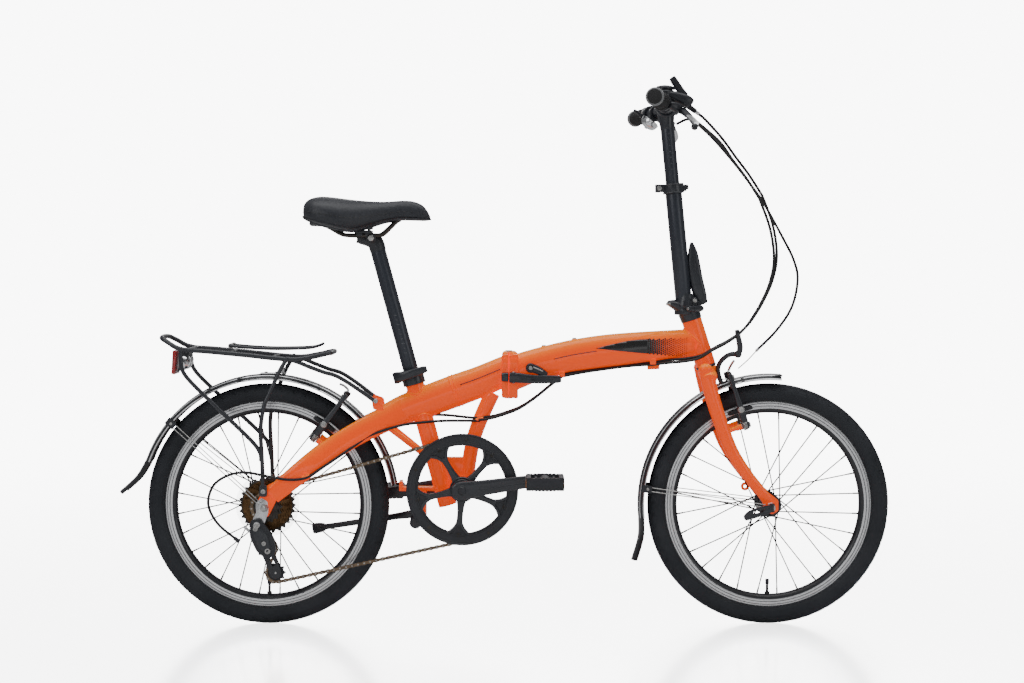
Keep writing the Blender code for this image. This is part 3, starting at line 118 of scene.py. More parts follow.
LEVER_AHEAD = Vector((0.93, 0, -0.37)).normalized()
LEVER_Y = 0.158
GRIP_LENGTH = 0.108
REAR_BOSS = Vector((-0.383, 0.038, 0.385))
REAR_BRAKE_UP = (Vector((REAR_BOSS.x, 0, REAR_BOSS.z)) - REAR_HUB).normalized()
FRONT_BOSS = Vector((0.488, 0.038, 0.412))
BRAKE_ARM_LENGTH = 0.11
KICKSTAND_PIVOT = Vector((-0.18, 0.052, 0.222))
KICKSTAND_FOOT = Vector((-0.405, 0.094, 0.183))
KICKSTAND_DOWN = Vector((-0.17, 0.142, 0.012))
KICKSTAND_AXIS = (KICKSTAND_FOOT - KICKSTAND_PIVOT).cross(KICKSTAND_DOWN - KICKSTAND_PIVOT).normalized()
MUDGUARD_RADIUS = 0.269


# ---------------------------------------------------------------- material helpers


class Nodes:
    """A new material and short calls that add nodes to it."""

    def __init__(self, name):
        self.material = bpy.data.materials.new(name)
        self.material.use_nodes = True
        self.tree = self.material.node_tree
        self.shader = self.tree.nodes["Principled BSDF"]

    def node(self, kind, **settings):
        made = self.tree.nodes.new(kind)
        for key, value in settings.items():
            setattr(made, key, value)
        return made

    def link(self, source, target):
        self.tree.links.new(source, target)

    def feed(self, socket, value):
        if isinstance(value, bpy.types.NodeSocket):
            self.link(value, socket)
        else:
            socket.default_value = value

    def math(self, operation, a, b=0.0, clamp=False):
        made = self.node("ShaderNodeMath", operation=operation, use_clamp=clamp)
        self.feed(made.inputs[0], a)
        self.feed(made.inputs[1], b)
        return made.outputs[0]

    def place(self, stretch=(1.0, 1.0, 1.0)):
        coords = self.node("ShaderNodeTexCoord")
        mapping = self.node("ShaderNodeMapping")
        mapping.inputs["Scale"].default_value = stretch
        self.link(coords.outputs["Object"], mapping.inputs["Vector"])
        return mapping.outputs["Vector"]

    def noise(self, vector, scale, detail=3.0, roughness=0.55):
        made = self.node("ShaderNodeTexNoise")
        self.link(vector, made.inputs["Vector"])
        made.inputs["Scale"].default_value = scale
        made.inputs["Detail"].default_value = detail
        made.inputs["Roughness"].default_value = roughness
        return made.outputs["Fac"]

    def cells(self, vector, scale, feature="F1"):
        made = self.node("ShaderNodeTexVoronoi", feature=feature)
        self.link(vector, made.inputs["Vector"])
        made.inputs["Scale"].default_value = scale
        return made.outputs["Distance"]

    def spread(self, value, low, high, to_low=0.0, to_high=1.0):
        made = self.node("ShaderNodeMapRange")
        self.feed(made.inputs["Value"], value)
        for key, number in (("From Min", low), ("From Max", high), ("To Min", to_low), ("To Max", to_high)):
            made.inputs[key].default_value = number
        return made.outputs["Result"]

    def mix(self, share, a, b):
        made = self.node("ShaderNodeMix", data_type="RGBA")
        self.feed(made.inputs["Factor"], share)
        self.feed(made.inputs["A"], a if isinstance(a, bpy.types.NodeSocket) else (*a, 1.0))
        self.feed(made.inputs["B"], b if isinstance(b, bpy.types.NodeSocket) else (*b, 1.0))
        return made.outputs["Result"]

    def bump(self, height, strength, distance, before=None):
        made = self.node("ShaderNodeBump")
        self.link(height, made.inputs["Height"])
        made.inputs["Strength"].default_value = strength
        made.inputs["Distance"].default_value = distance
        if before is not None:
            self.link(before, made.inputs["Normal"])
        return made.outputs["Normal"]

    def set(self, **values):
        for key, value in values.items():
            self.feed(self.shader.inputs[key.replace("_", " ")], value)

    def mix_shaders(self, share, first, second):
        made = self.node("ShaderNodeMixShader")
        self.link(share, made.inputs[0])
        self.link(first, made.inputs[1])
        self.link(second, made.inputs[2])
        return made.outputs[0]

    def show(self, shader):
        outlet = next(node for node in self.tree.nodes if node.type == "OUTPUT_MATERIAL")
        self.link(shader, outlet.inputs["Surface"])


def surface(name, colour, other=None, roughness=0.4, vary=0.08, metallic=0.0, coat=0.0, coat_roughness=0.06,
            patch=18.0, grain=1400.0, bump=0.15, distance=0.0002, stretch=(1.0, 1.0, 1.0), specular=0.5):
    """A material whose colour drifts slowly, with a fine grain in its roughness and its relief."""
    n = Nodes(name)
    place = n.place(stretch)
    drift = n.spread(n.noise(place, patch, 4.0), 0.32, 0.68)
    fine = n.noise(place, grain, 2.0)
    n.set(Base_Color=n.mix(drift, colour, other or colour))
    n.set(Roughness=n.spread(fine, 0.25, 0.75, max(0.02, roughness - vary), min(1.0, roughness + vary)))
    n.set(Metallic=metallic, Normal=n.bump(fine, bump, distance))
    n.shader.inputs["Coat Weight"].default_value = coat
    n.shader.inputs["Coat Roughness"].default_value = coat_roughness
    n.shader.inputs["Specular IOR Level"].default_value = specular
    return n.material


PAINT_GLOW = 0.38      # painted glow: the paint emits its own colour at this strength, which keeps the orange saturated under the pale studio light


def gloss_paint(name, side_colour, lit_top_colour):
    """Gloss paint with painted light: a lighter, yellower painted top light where it faces up and a painted
    glow of its own colour, with a faint orange-peel relief.
    """
    n = Nodes(name)
    place = n.place()
    facing = n.node("ShaderNodeSeparateXYZ")
    n.link(n.node("ShaderNodeNewGeometry").outputs["Normal"], facing.inputs["Vector"])
    # painted top light: faces turned up take the lighter, yellower top colour, as if lit from above
    painted_top_light = n.spread(facing.outputs["Z"], 0.15, 0.9)
    fleck = n.spread(n.cells(place, 2600.0), 0.0, 0.6, 0.94, 1.06)
    base = n.mix(painted_top_light, side_colour, lit_top_colour)
    tint = n.node("ShaderNodeHueSaturation")
    n.link(base, tint.inputs["Color"])
    n.link(fleck, tint.inputs["Value"])
    peel = n.noise(place, 420.0, 2.0, 0.4)
    # painted glow: the paint's own colour is emitted at PAINT_GLOW strength, so it glows though it is no
    # lamp
    n.set(Base_Color=tint.outputs["Color"], Roughness=0.42, Normal=n.bump(n.noise(place, 3000.0), 0.02,
                                                                          0.0001), Specular_IOR_Level=0.15,
          Emission_Color=tint.outputs["Color"], Emission_Strength=PAINT_GLOW)
    n.set(Coat_Weight=0.55, Coat_Roughness=0.045, Coat_Normal=n.bump(peel, 0.045, 0.0003))
    return n.material


def spun_metal(name, colour, middle, roughness=0.25):
    """Metal turned on a lathe about an axle: fine rings round the middle and long thin streaks."""
    n = Nodes(name)
    coords = n.node("ShaderNodeTexCoord")
    apart = n.node("ShaderNodeSeparateXYZ")
    n.link(coords.outputs["Object"], apart.inputs["Vector"])
    x = n.math("SUBTRACT", apart.outputs["X"], middle.x)
    z = n.math("SUBTRACT", apart.outputs["Z"], middle.z)
    radius = n.math("SQRT", n.math("ADD", n.math("MULTIPLY", x, x), n.math("MULTIPLY", z, z)))
    angle = n.math("ARCTAN2", z, x)
    joined = n.node("ShaderNodeCombineXYZ")
    n.feed(joined.inputs["X"], n.math("MULTIPLY", radius, 5200.0))
    n.feed(joined.inputs["Y"], n.math("MULTIPLY", angle, 3.0))
    n.feed(joined.inputs["Z"], n.math("MULTIPLY", apart.outputs["Y"], 900.0))
    rings = n.noise(joined.outputs["Vector"], 1.0, 3.0)
    blotch = n.noise(n.place(), 60.0, 3.0)
    n.set(Base_Color=n.mix(n.spread(rings, 0.35, 0.65), tuple(c * 0.82 for c in colour), colour))
    n.set(Metallic=1.0, Roughness=n.spread(blotch, 0.3, 0.7, roughness - 0.05, roughness + 0.1))
    n.set(Normal=n.bump(rings, 0.25, 0.0001))
    return n.material


def tyre_rubber(name):
    """Black rubber, greyer in slow patches, with a fine pore grain in its roughness and relief."""
    n = Nodes(name)
    place = n.place()
    pores = n.noise(place, 2200.0, 4.0, 0.7)
    dust = n.spread(n.noise(place, 9.0, 5.0), 0.4, 0.72)
    n.set(Base_Color=n.mix(dust, (0.02, 0.0225, 0.028), (0.034, 0.037, 0.044)))
    n.set(Roughness=n.spread(pores, 0.3, 0.7, 0.62, 0.84), Normal=n.bump(pores, 0.3, 0.00025))
    n.shader.inputs["Specular IOR Level"].default_value = 0.35
    return n.material


def leather(name):
    """Black synthetic leather with a pebbled grain."""
    n = Nodes(name)
    place = n.place()
    pebble = n.cells(place, 850.0, "SMOOTH_F1")
    crease = n.noise(place, 240.0, 4.0, 0.6)
    grain = n.bump(pebble, 0.35, 0.00035, n.bump(crease, 0.15, 0.0004))
    n.set(Base_Color=n.mix(n.spread(crease, 0.3, 0.7), (0.02, 0.022, 0.029), (0.034, 0.037, 0.046)))
    n.set(Roughness=n.spread(pebble, 0.0, 0.7, 0.36, 0.52), Normal=grain)
    return n.material


def moulded_plastic(name, colour, roughness=0.5):
    """Plastic from a spark-eroded mould: a fine even grain."""
    n = Nodes(name)
    place = n.place()
    grain = n.cells(place, 1900.0)
    n.set(Base_Color=n.mix(n.spread(n.noise(place, 25.0), 0.3, 0.7), colour,
                           tuple(c * 1.35 for c in colour)))
    n.set(Roughness=n.spread(grain, 0.0, 0.8, roughness - 0.08, roughness + 0.1))
    n.set(Normal=n.bump(grain, 0.16, 0.00018))
    return n.material


def prism_lens(name, colour, strength=0.9):
    """Reflector plastic: a smooth front over a honeycomb of small prisms."""
    n = Nodes(name)
    prisms = n.cells(n.place(), 420.0)
    n.set(Base_Color=n.mix(n.spread(prisms, 0.1, 0.55), tuple(c * 0.45 for c in colour), colour))
    n.set(Roughness=0.22, Normal=n.bump(prisms, strength, 0.0012), Coat_Weight=1.0, Coat_Roughness=0.03)
    n.shader.inputs["Transmission Weight"].default_value = 0.25
    return n.material


def clear_plastic(name, tint=(0.92, 0.95, 0.96)):
    """Scuffed clear plastic, nearly invisible face on and brighter at its edges."""
    n = Nodes(name)
    scuff = n.noise(n.place(), 160.0, 5.0)
    n.set(Base_Color=(*tint, 1.0), Roughness=n.spread(scuff, 0.4, 0.8, 0.04, 0.22))
    n.set(Transmission_Weight=0.92, IOR=1.49)
    passing = n.node("ShaderNodeBsdfTransparent")
    edge = n.node("ShaderNodeLayerWeight")
    edge.inputs["Blend"].default_value = 0.25
    share = n.spread(edge.outputs["Facing"], 0.0, 1.0, 0.16, 0.8)
    n.show(n.mix_shaders(share, passing.outputs[0], n.shader.outputs[0]))
    return n.material


def grip_rubber(name):
    """Soft rubber with rows of raised lozenges."""
    n = Nodes(name)
    place = n.place()
    waves = n.node("ShaderNodeTexWave", bands_direction="DIAGONAL")
    n.link(place, waves.inputs["Vector"])
    waves.inputs["Scale"].default_value = 75.0
    pores = n.noise(place, 1800.0, 3.0)
    relief = n.bump(waves.outputs["Fac"], 0.25, 0.0005, n.bump(pores, 0.3, 0.0002))
    n.set(Base_Color=n.mix(n.spread(pores, 0.3, 0.7), (0.012, 0.012, 0.013), (0.024, 0.024, 0.026)))
    n.set(Roughness=0.72, Normal=relief)
    return n.material


def scratched_metal(name, colour, roughness, dark=0.55, stretch=(1.0, 1.0, 1.0), grain=900.0):
    """Bare metal with a drawn grain, dull patches and fine pits."""
    n = Nodes(name)
    lines = n.noise(n.place(stretch), grain, 3.0)
    blotch = n.noise(n.place(), 90.0, 5.0)
    n.set(Base_Color=n.mix(n.spread(blotch, 0.35, 0.75), colour, tuple(c * dark for c in colour)))
    n.set(Metallic=1.0, Roughness=n.spread(blotch, 0.3, 0.7, roughness - 0.06, roughness + 0.12))
    n.set(Normal=n.bump(lines, 0.12, 0.00012))
    return n.material


M = {
    # the second colour is the painted top light: lighter and yellower, for faces turned up
    "orange": gloss_paint("orange_paint_painted_light", (1.0, 0.078, 0.0), (1.0, 0.25, 0.0)),
    "satin_black": surface("satin_black_paint", (0.02, 0.0225, 0.03), (0.025, 0.028, 0.036), roughness=0.33,
                           vary=0.05, coat=0.35, coat_roughness=0.22, grain=2400.0, bump=0.05),
    "anthracite": surface("anthracite_anodised_tube", (0.029, 0.034, 0.047), (0.036, 0.041, 0.055),
                          roughness=0.36, vary=0.06, metallic=0.25, coat=0.25, coat_roughness=0.2,
                          grain=1800.0, bump=0.06, stretch=(1.0, 1.0, 0.12)),
    "cast_black": surface("cast_black_alloy", (0.018, 0.0195, 0.025), (0.027, 0.029, 0.036), roughness=0.42,
                          coat=0.2, coat_roughness=0.25, grain=1100.0, bump=0.16),
    "plastic": moulded_plastic("black_moulded_plastic", (0.02, 0.0215, 0.027)),
    "smooth_plastic": moulded_plastic("black_smooth_plastic", (0.018, 0.0195, 0.025), 0.3),
    "guard_black": surface("mudguard_black", (0.013, 0.014, 0.018), (0.018, 0.0195, 0.024), roughness=0.28,
                           vary=0.05, grain=700.0, bump=0.03),
    "tyre": tyre_rubber("tyre_rubber_compound"),
    "grip": grip_rubber("grip_rubber_compound"),
    "saddle": leather("saddle_leatherette"),
    "thread": surface("saddle_thread", (0.05, 0.05, 0.053), roughness=0.8, grain=3500.0, bump=0.4),
    "chrome": scratched_metal("chromed_steel", (0.82, 0.83, 0.85), 0.13, 0.85),
    "alloy": scratched_metal("polished_alloy", (0.78, 0.79, 0.81), 0.24, 0.8),
    "steel": scratched_metal("zinc_plated_steel", (0.55, 0.55, 0.54), 0.3, 0.6),
    "cable_steel": scratched_metal("bare_cable_steel", (0.5, 0.5, 0.5), 0.35, 0.7, grain=2600.0),
    "dark_steel": scratched_metal("oiled_dark_steel", (0.085, 0.078, 0.072), 0.36, 0.55),
    "bronze": scratched_metal("bronzed_steel", (0.17, 0.095, 0.045), 0.38, 0.34),
    "chain": scratched_metal("brown_chain_steel", (0.24, 0.175, 0.12), 0.34, 0.5),
    "front_track": spun_metal("front_machined_track", (0.83, 0.84, 0.86), FRONT_HUB),
    "rear_track": spun_metal("rear_machined_track", (0.83, 0.84, 0.86), REAR_HUB),
    "rim_black": surface("black_anodised_rim", (0.018, 0.0195, 0.024), (0.024, 0.026, 0.032), roughness=0.32,
                         coat=0.2, grain=1600.0, bump=0.05),
    "spoke": surface("black_spoke", (0.012, 0.012, 0.013), roughness=0.35, grain=2000.0, bump=0.04),
    "red": prism_lens("red_reflector_plastic", (0.62, 0.008, 0.012)),
    "amber": prism_lens("amber_reflector_plastic", (0.95, 0.3, 0.02)),
    "clear": clear_plastic("clear_plastic"),
    "cable": surface("cable_housing", (0.01, 0.0105, 0.012), (0.017, 0.0175, 0.019), roughness=0.34,
                     grain=1500.0, bump=0.08),
    "decal": surface("black_decal", (0.01, 0.01, 0.011), (0.013, 0.013, 0.014), roughness=0.25, coat=0.6,
                     grain=600.0, bump=0.02),
    "grey": moulded_plastic("grey_plastic", (0.18, 0.185, 0.19), 0.4),
}


# ---------------------------------------------------------------- shape helpers
# A shape is (points, faces). Build collects shapes and makes one piece of them.


def smooth(controls, steps):
    """Points on a smooth curve through the control points, which may hold sizes too."""
    rows = [tuple(c) for c in controls]
    ends = [rows[0], *rows, rows[-1]]
    out = []
    for i in range(len(rows) - 1):
        a, b, c, d = ends[i:i + 4]
        for k in range(steps):
            t = k / steps
            out.append(tuple(
                0.5 * (2 * q + (r - p) * t + (2 * p - 5 * q + 4 * r - s) * t * t
                       + (3 * q - p - 3 * r + s) * t ** 3)
                for p, q, r, s in zip(a, b, c, d)))
    return [*out, rows[-1]]


def loft(stations, sides=24, reference=LEFT, square=1.0, closed=False, dome=0.0):
    """A bar through stations (x, y, z, half_width, half_height), its half width along the reference."""
    stations = [tuple(s) for s in stations]
    if dome and not closed:
        stations = with_domes(stations, dome)
    count = len(stations)
    places = [Vector(s[:3]) for s in stations]
    points, faces = [], []
    across = reference.copy()
    for i, station in enumerate(stations):
        before = places[i - 1] if i or closed else places[i]
        after = places[(i + 1) % count] if i + 1 < count or closed else places[i]
        along = (after - before).normalized()
        flat = reference - along * reference.dot(along)
        if flat.length > 0.2:
            across = flat.normalized()
        else:
            across = (across - along * across.dot(along)).normalized()
        over = along.cross(across)
        for k in range(sides):
            turn = 2 * math.pi * (k + 0.5) / sides
            c, s = math.cos(turn), math.sin(turn)
            c = math.copysign(abs(c) ** square, c)
            s = math.copysign(abs(s) ** square, s)
            points.append(places[i] + across * (c * station[3]) + over * (s * station[4]))
    for i in range(count if closed else count - 1):
        near, far = i * sides, (i + 1) % count * sides
        for k in range(sides):
            m = (k + 1) % sides
            faces.append((near + k, near + m, far + m, far + k))
    if not closed:
        faces.append(tuple(range(sides)))
        faces.append(tuple(range((count - 1) * sides, count * sides)))
    return points, faces


def with_domes(stations, size):
    """The stations with both ends rounded off over a short length."""
    def end(first, second):
        a, b = Vector(first[:3]), Vector(second[:3])
        out = (a - b).normalized()
        made = []
        for share in (1.0, 0.8, 0.45):
            shrink = math.sqrt(max(0.0, 1 - share * share))
            at = a + out * (size * share)
            made.append((*at, first[3] * max(0.12, shrink), first[4] * max(0.12, shrink)))
        return made
    return [*end(stations[0], stations[1]), *stations, *reversed(end(stations[-1], stations[-2]))]


def tube(points, radius, sides=12, steps=0, reference=LEFT, dome=0.0):
    """A round bar through the points, smoothed if steps is given."""
    path = smooth(points, steps) if steps else [tuple(p) for p in points]
    return loft([(*p[:3], radius, radius) for p in path], sides, reference, dome=dome)


def lathe(profile, middle, axis, sides=48, closed=True):
    """A solid of revolution from a profile of (radius, height along the axis)."""
    axis = Vector(axis).normalized()
    helper = UP if abs(axis.z) < 0.9 else FORWARD
    first = axis.cross(helper).normalized()
    second = axis.cross(first)
    points, faces, rings = [], [], []
    for radius, height in profile:
        base = Vector(middle) + axis * height
        start = len(points)
        if radius < 1e-9:
            points.append(base)
            rings.append([start])
            continue
        for k in range(sides):
            a = 2 * math.pi * k / sides
            points.append(base + radius * (first * math.cos(a) + second * math.sin(a)))
        rings.append(list(range(start, start + sides)))
    count = len(rings)
    for i in range(count if closed else count - 1):
        near, far = rings[i], rings[(i + 1) % count]
        if len(near) == 1 and len(far) == 1:
            continue
        for k in range(sides):
            m = (k + 1) % sides
            corners = [near[k % len(near)], near[m % len(near)], far[m % len(far)], far[k % len(far)]]
            faces.append(tuple(dict.fromkeys(corners)))
    return points, faces


def cyl(start, end, radius, sides=28, chamfer=0.0005):
    """A cylinder between two points with broken edges."""
    start, end = Vector(start), Vector(end)
    length = (end - start).length
    c = min(chamfer, radius * 0.4, length * 0.3)
    profile = [(0, 0), (radius - c, 0), (radius, c), (radius, length - c), (radius - c, length), (0, length)]
    return lathe(profile, start, end - start, sides)


def ring(middle, axis, inner, outer, low, high, sides=48, chamfer=0.0004):
    """A sleeve or washer along the axis from low to high with broken edges."""
    c = min(chamfer, (outer - inner) * 0.3, (high - low) * 0.3)
    profile = [(inner, low + c), (inner + c, low), (outer - c, low), (outer, low + c), (outer, high - c),
               (outer - c, high), (inner + c, high), (inner, high - c)]
    return lathe(profile, middle, axis, sides)


def ball(middle, radius, sides=20, squash=(1.0, 1.0, 1.0)):
    """A sphere, stretched along X, Y and Z if squash is given."""
    steps = 10
    profile = []
    for k in range(steps + 1):
        a = math.pi * k / steps
        profile.append((radius * math.sin(a) if 0 < k < steps else 0.0, -radius * math.cos(a)))
    points, faces = lathe(profile, (0, 0, 0), UP, sides)
    return [Vector((p.x * squash[0], p.y * squash[1], p.z * squash[2])) + Vector(middle)
            for p in points], faces


def basis(middle, along, across):
    """A matrix that takes local X to along, Y to across and Z to their cross product, at the middle."""
    along = Vector(along).normalized()
    across = (Vector(across) - along * along.dot(Vector(across))).normalized()
    over = along.cross(across)
    return Matrix.Translation(Vector(middle)) @ Matrix((along, across, over)).transposed().to_4x4()


def moved(shape, matrix):
    return [matrix @ Vector(p) for p in shape[0]], shape[1]


def block(middle, size, along=FORWARD, across=LEFT):
    """A box of a size (along, across, over) about its middle."""
    x, y, z = (s / 2 for s in size)
    corners = [(-x, -y, -z), (x, -y, -z), (x, y, -z), (-x, y, -z), (-x, -y, z), (x, -y, z), (x, y, z),
               (-x, y, z)]
    faces = [(0, 3, 2, 1), (4, 5, 6, 7), (0, 1, 5, 4), (1, 2, 6, 5), (2, 3, 7, 6), (3, 0, 4, 7)]
    return moved((corners, faces), basis(middle, along, across))


def rounded(outline, radius, steps=4):
    """The outline with each corner rounded."""
    out = []
    count = len(outline)
    for i in range(count):
        a, b, c = (Vector(outline[(i + d) % count]) for d in (-1, 0, 1))
        r = min(radius, (a - b).length * 0.45, (c - b).length * 0.45)
        p, q = b + (a - b).normalized() * r, b + (c - b).normalized() * r
        for k in range(steps + 1):
            t = k / steps
            out.append(tuple(p * (1 - t) ** 2 + b * 2 * t * (1 - t) + q * t * t))
    return out


def slab(outline, low, high, matrix=None):
    """A flat plate: its (x, z) outline thickened along Y from low to high, then moved by a matrix."""
    count = len(outline)
    points = [Vector((p[0], low, p[1])) for p in outline] + [Vector((p[0], high, p[1])) for p in outline]
    faces = [tuple(range(count)), tuple(range(count, 2 * count))]
    faces += [(k, (k + 1) % count, (k + 1) % count + count, k + count) for k in range(count)]
    shape = (points, faces)
    return moved(shape, matrix) if matrix else shape


def socket_bolt(middle, axis, radius=0.004, height=0.004, sides=24):
    """A cap screw's head with a hexagonal socket, standing on the middle point."""
    axis = Vector(axis).normalized()
    frame_of = basis(middle, axis.orthogonal(), axis.cross(axis.orthogonal()))
    chamfer = radius * 0.12
    points, faces, rings = [], [], []
    rows = [(radius, 0.0, sides), (radius, height - chamfer, sides), (radius - chamfer, height, sides),
            (radius * 0.55, height, 6), (radius * 0.5, height * 0.4, 6)]
    for r, h, count in rows:
        start = len(points)
        for k in range(sides):
            a = 2 * math.pi * k / sides
            if count == 6:
                corner = math.pi / 6 - abs(a % (math.pi / 3) - math.pi / 6)
                flat = r * math.cos(math.pi / 6) / math.cos(math.pi / 6 - corner)
                points.append(frame_of @ Vector((flat * math.cos(a), flat * math.sin(a), h)))
            else:
                points.append(frame_of @ Vector((r * math.cos(a), r * math.sin(a), h)))
        rings.append(start)
    for near, far in zip(rings, rings[1:]):
        for k in range(sides):
            m = (k + 1) % sides
            faces.append((near + k, near + m, far + m, far + k))
    faces.append(tuple(range(sides)))
    faces.append(tuple(range(rings[-1], rings[-1] + sides)))
    return points, faces


def hex_nut(middle, axis, across_flats=0.01, height=0.005):
    """A hexagonal nut with a domed outer face."""
    r = across_flats / math.sqrt(3)
    return lathe([(0, 0), (r, 0), (r, height * 0.85), (r * 0.86, height), (0, height)], middle, axis, 6)


def around(middle, radius, angle, y=0.0):
    """A point in a plane of constant Y, at an angle from +X towards +Z."""
    return Vector((middle.x + radius * math.cos(angle), y, middle.z + radius * math.sin(angle)))


def mirrored(vector, side):
    return Vector((vector[0], vector[1] * side, vector[2]))


def about(place, rows):
    """Rows whose x, y and z are offsets from a place."""
    return [(place[0] + row[0], place[1] + row[1], place[2] + row[2], *row[3:]) for row in rows]


def on_side(rows, side):
    """Rows (x, y, z, ...) of the left side, mirrored for the right one."""
    return [(row[0], row[1] * side, *row[2:]) for row in rows]


def face_outwards(mesh):
    """Turns the faces of closed shells outwards."""
    shell = bmesh.new()
    shell.from_mesh(mesh)
    bmesh.ops.recalc_face_normals(shell, faces=shell.faces)
    shell.to_mesh(mesh)
    shell.free()


class Build:
    """Shapes with their materials, made into one piece that rides on a CAD body.

    A shape added without a material takes the piece's usual one.
    """

    def __init__(self, usual="satin_black"):
        self.usual = usual
        self.points, self.faces, self.kinds, self.materials = [], [], [], []

    def add(self, shape, material=None, matrix=None):
        material = material or self.usual
        points, faces = moved(shape, matrix) if matrix else shape
        base = len(self.points)
        if material not in self.materials:
            self.materials.append(material)
        kind = self.materials.index(material)
        self.points += [tuple(p) for p in points]
        self.faces += [tuple(base + i for i in face) for face in faces]
        self.kinds += [kind] * len(faces)
        return self

    def done(self, name, body, slot, replaces=(), bevel=0.0, sharp=35.0, cuts=(), segments=2):
        mesh = bpy.data.meshes.new(name)
        mesh.from_pydata(self.points, [], self.faces)
        for key in self.materials:
            mesh.materials.append(M[key])
        mesh.polygons.foreach_set("material_index", self.kinds)
        face_outwards(mesh)
        obj = bpy.data.objects.new(name, mesh)
        bpy.context.scene.collection.objects.link(obj)
        if cuts:
            cut_away(obj, cuts)
        if bevel:
            edge = obj.modifiers.new("edges", "BEVEL")
            edge.width = bevel
            edge.segments = segments
            edge.limit_method = "ANGLE"
            edge.angle_limit = math.radians(sharp)
            bake(obj)
        shade(obj.data, sharp)
        if replaces:
            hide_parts(*replaces)
        if body:
            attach(obj, body)
        return obj


def bake(obj):
    """Makes the modifiers' result the object's own mesh."""
    graph = bpy.context.evaluated_depsgraph_get()
    made = bpy.data.meshes.new_from_object(obj.evaluated_get(graph))
    obj.modifiers.clear()
    old, obj.data = obj.data, made
    made.name = obj.name
    bpy.data.meshes.remove(old)


def cut_away(obj, shapes):
    """Cuts the shapes out of the object."""
    tools = []
    for points, faces in shapes:
        mesh = bpy.data.meshes.new("cutter")
        mesh.from_pydata([tuple(p) for p in points], [], faces)
        face_outwards(mesh)
        tool = bpy.data.objects.new("cutter", mesh)
        bpy.context.scene.collection.objects.link(tool)
        tool.hide_render = True
        tools.append(tool)
        cut = obj.modifiers.new("cut", "BOOLEAN")
        cut.operation = "DIFFERENCE"
        cut.solver = "EXACT"
        cut.object = tool
    bake(obj)
    for tool in tools:
        mesh = tool.data
        bpy.data.objects.remove(tool)
        bpy.data.meshes.remove(mesh)


def shade(mesh, sharp=35.0):
    """Smooth shading, with the sharper edges kept crisp."""
    mesh.polygons.foreach_set("use_smooth", [True] * len(mesh.polygons))
    mesh.set_sharp_from_angle(angle=math.radians(sharp))


def tree_of(shape):
    points, faces = shape
    return BVHTree.FromPolygons([Vector(p) for p in points], faces)


def weld_bead(build, target, start, direction, half_width, half_height, reference=LEFT, size=0.0021,
              dots=64):
    """Overlapping weld puddles where a tube meets the target, found by rays down the tube's sides."""
    direction = Vector(direction).normalized()
    across = (reference - direction * reference.dot(direction)).normalized()
    over = direction.cross(across)
    path = []
    for k in range(dots):
        a = 2 * math.pi * k / dots
        origin = Vector(start) + across * (half_width * math.cos(a)) + over * (half_height * math.sin(a))
        hit = target.ray_cast(origin, direction, 0.25)[0]
        if hit is None:
            continue
        swell = size * (1.0 + 0.16 * (k % 2))
        path.append((*hit, swell, swell))
    if len(path) > 8:
        build.add(loft(path, 8, reference, closed=len(path) == dots), "orange")


# ---------------------------------------------------------------- wheels

TYRE_STEPS = 720
TREAD_BLOCKS = 60
TREAD_EDGE = math.radians(64)
BEAD_ANGLE = math.radians(128)
TREAD_DEPTH = 0.0014


def tread_cut(turn, across):
    """How far the tread is cut away at a turn round the tyre (in blocks) and a place across it (-1 to 1)."""
    wide = abs(across)
    if wide > 1.0:
        return 0.0
    centre = abs(across - 0.13 * math.sin(2 * math.pi * turn)) < 0.055
    shoulder = abs(wide - 0.6) < 0.05
    slope = 0.9 if wide < 0.6 else 0.35
    lane = (turn + slope * wide + (0.5 if across > 0 else 0.0)) % 1.0
    chevron = lane < 0.19 and wide > 0.16
    return TREAD_DEPTH if centre or shoulder or chevron else 0.0


def tyre(end, hub):
    """A tyre with a block tread, ribbed shoulders and two fine lines on each sidewall."""
    count = 53
    points, faces = [], []
    for j in range(TYRE_STEPS):
        a = 2 * math.pi * j / TYRE_STEPS
        row = [(0.2125, -0.0118)]
        for i in range(count):
            t = -BEAD_ANGLE + 2 * BEAD_ANGLE * i / (count - 1)
            cut = tread_cut(TREAD_BLOCKS * j / TYRE_STEPS, t / TREAD_EDGE)
            rib = 0.00035 if abs(abs(t) - 1.4) < 0.04 or abs(abs(t) - 1.95) < 0.04 else 0.0
            swell = rib - cut
            row.append((0.2275 + (0.0215 + swell) * math.cos(t), (0.0222 + swell) * math.sin(t)))
        row.append((0.2125, 0.0118))
        points += [around(hub, r, a, y) for r, y in row]
    wide = count + 2
    for j in range(TYRE_STEPS):
        near, far = j * wide, (j + 1) % TYRE_STEPS * wide
        for i in range(wide):
            k = (i + 1) % wide
            faces.append((near + i, near + k, far + k, far + i))
    Build().add((points, faces), "tyre").done(end + "_tyre_cover", end + "_wheel_assembly", "tyre_rubber",
                                              (end + "_tyre",), sharp=28)


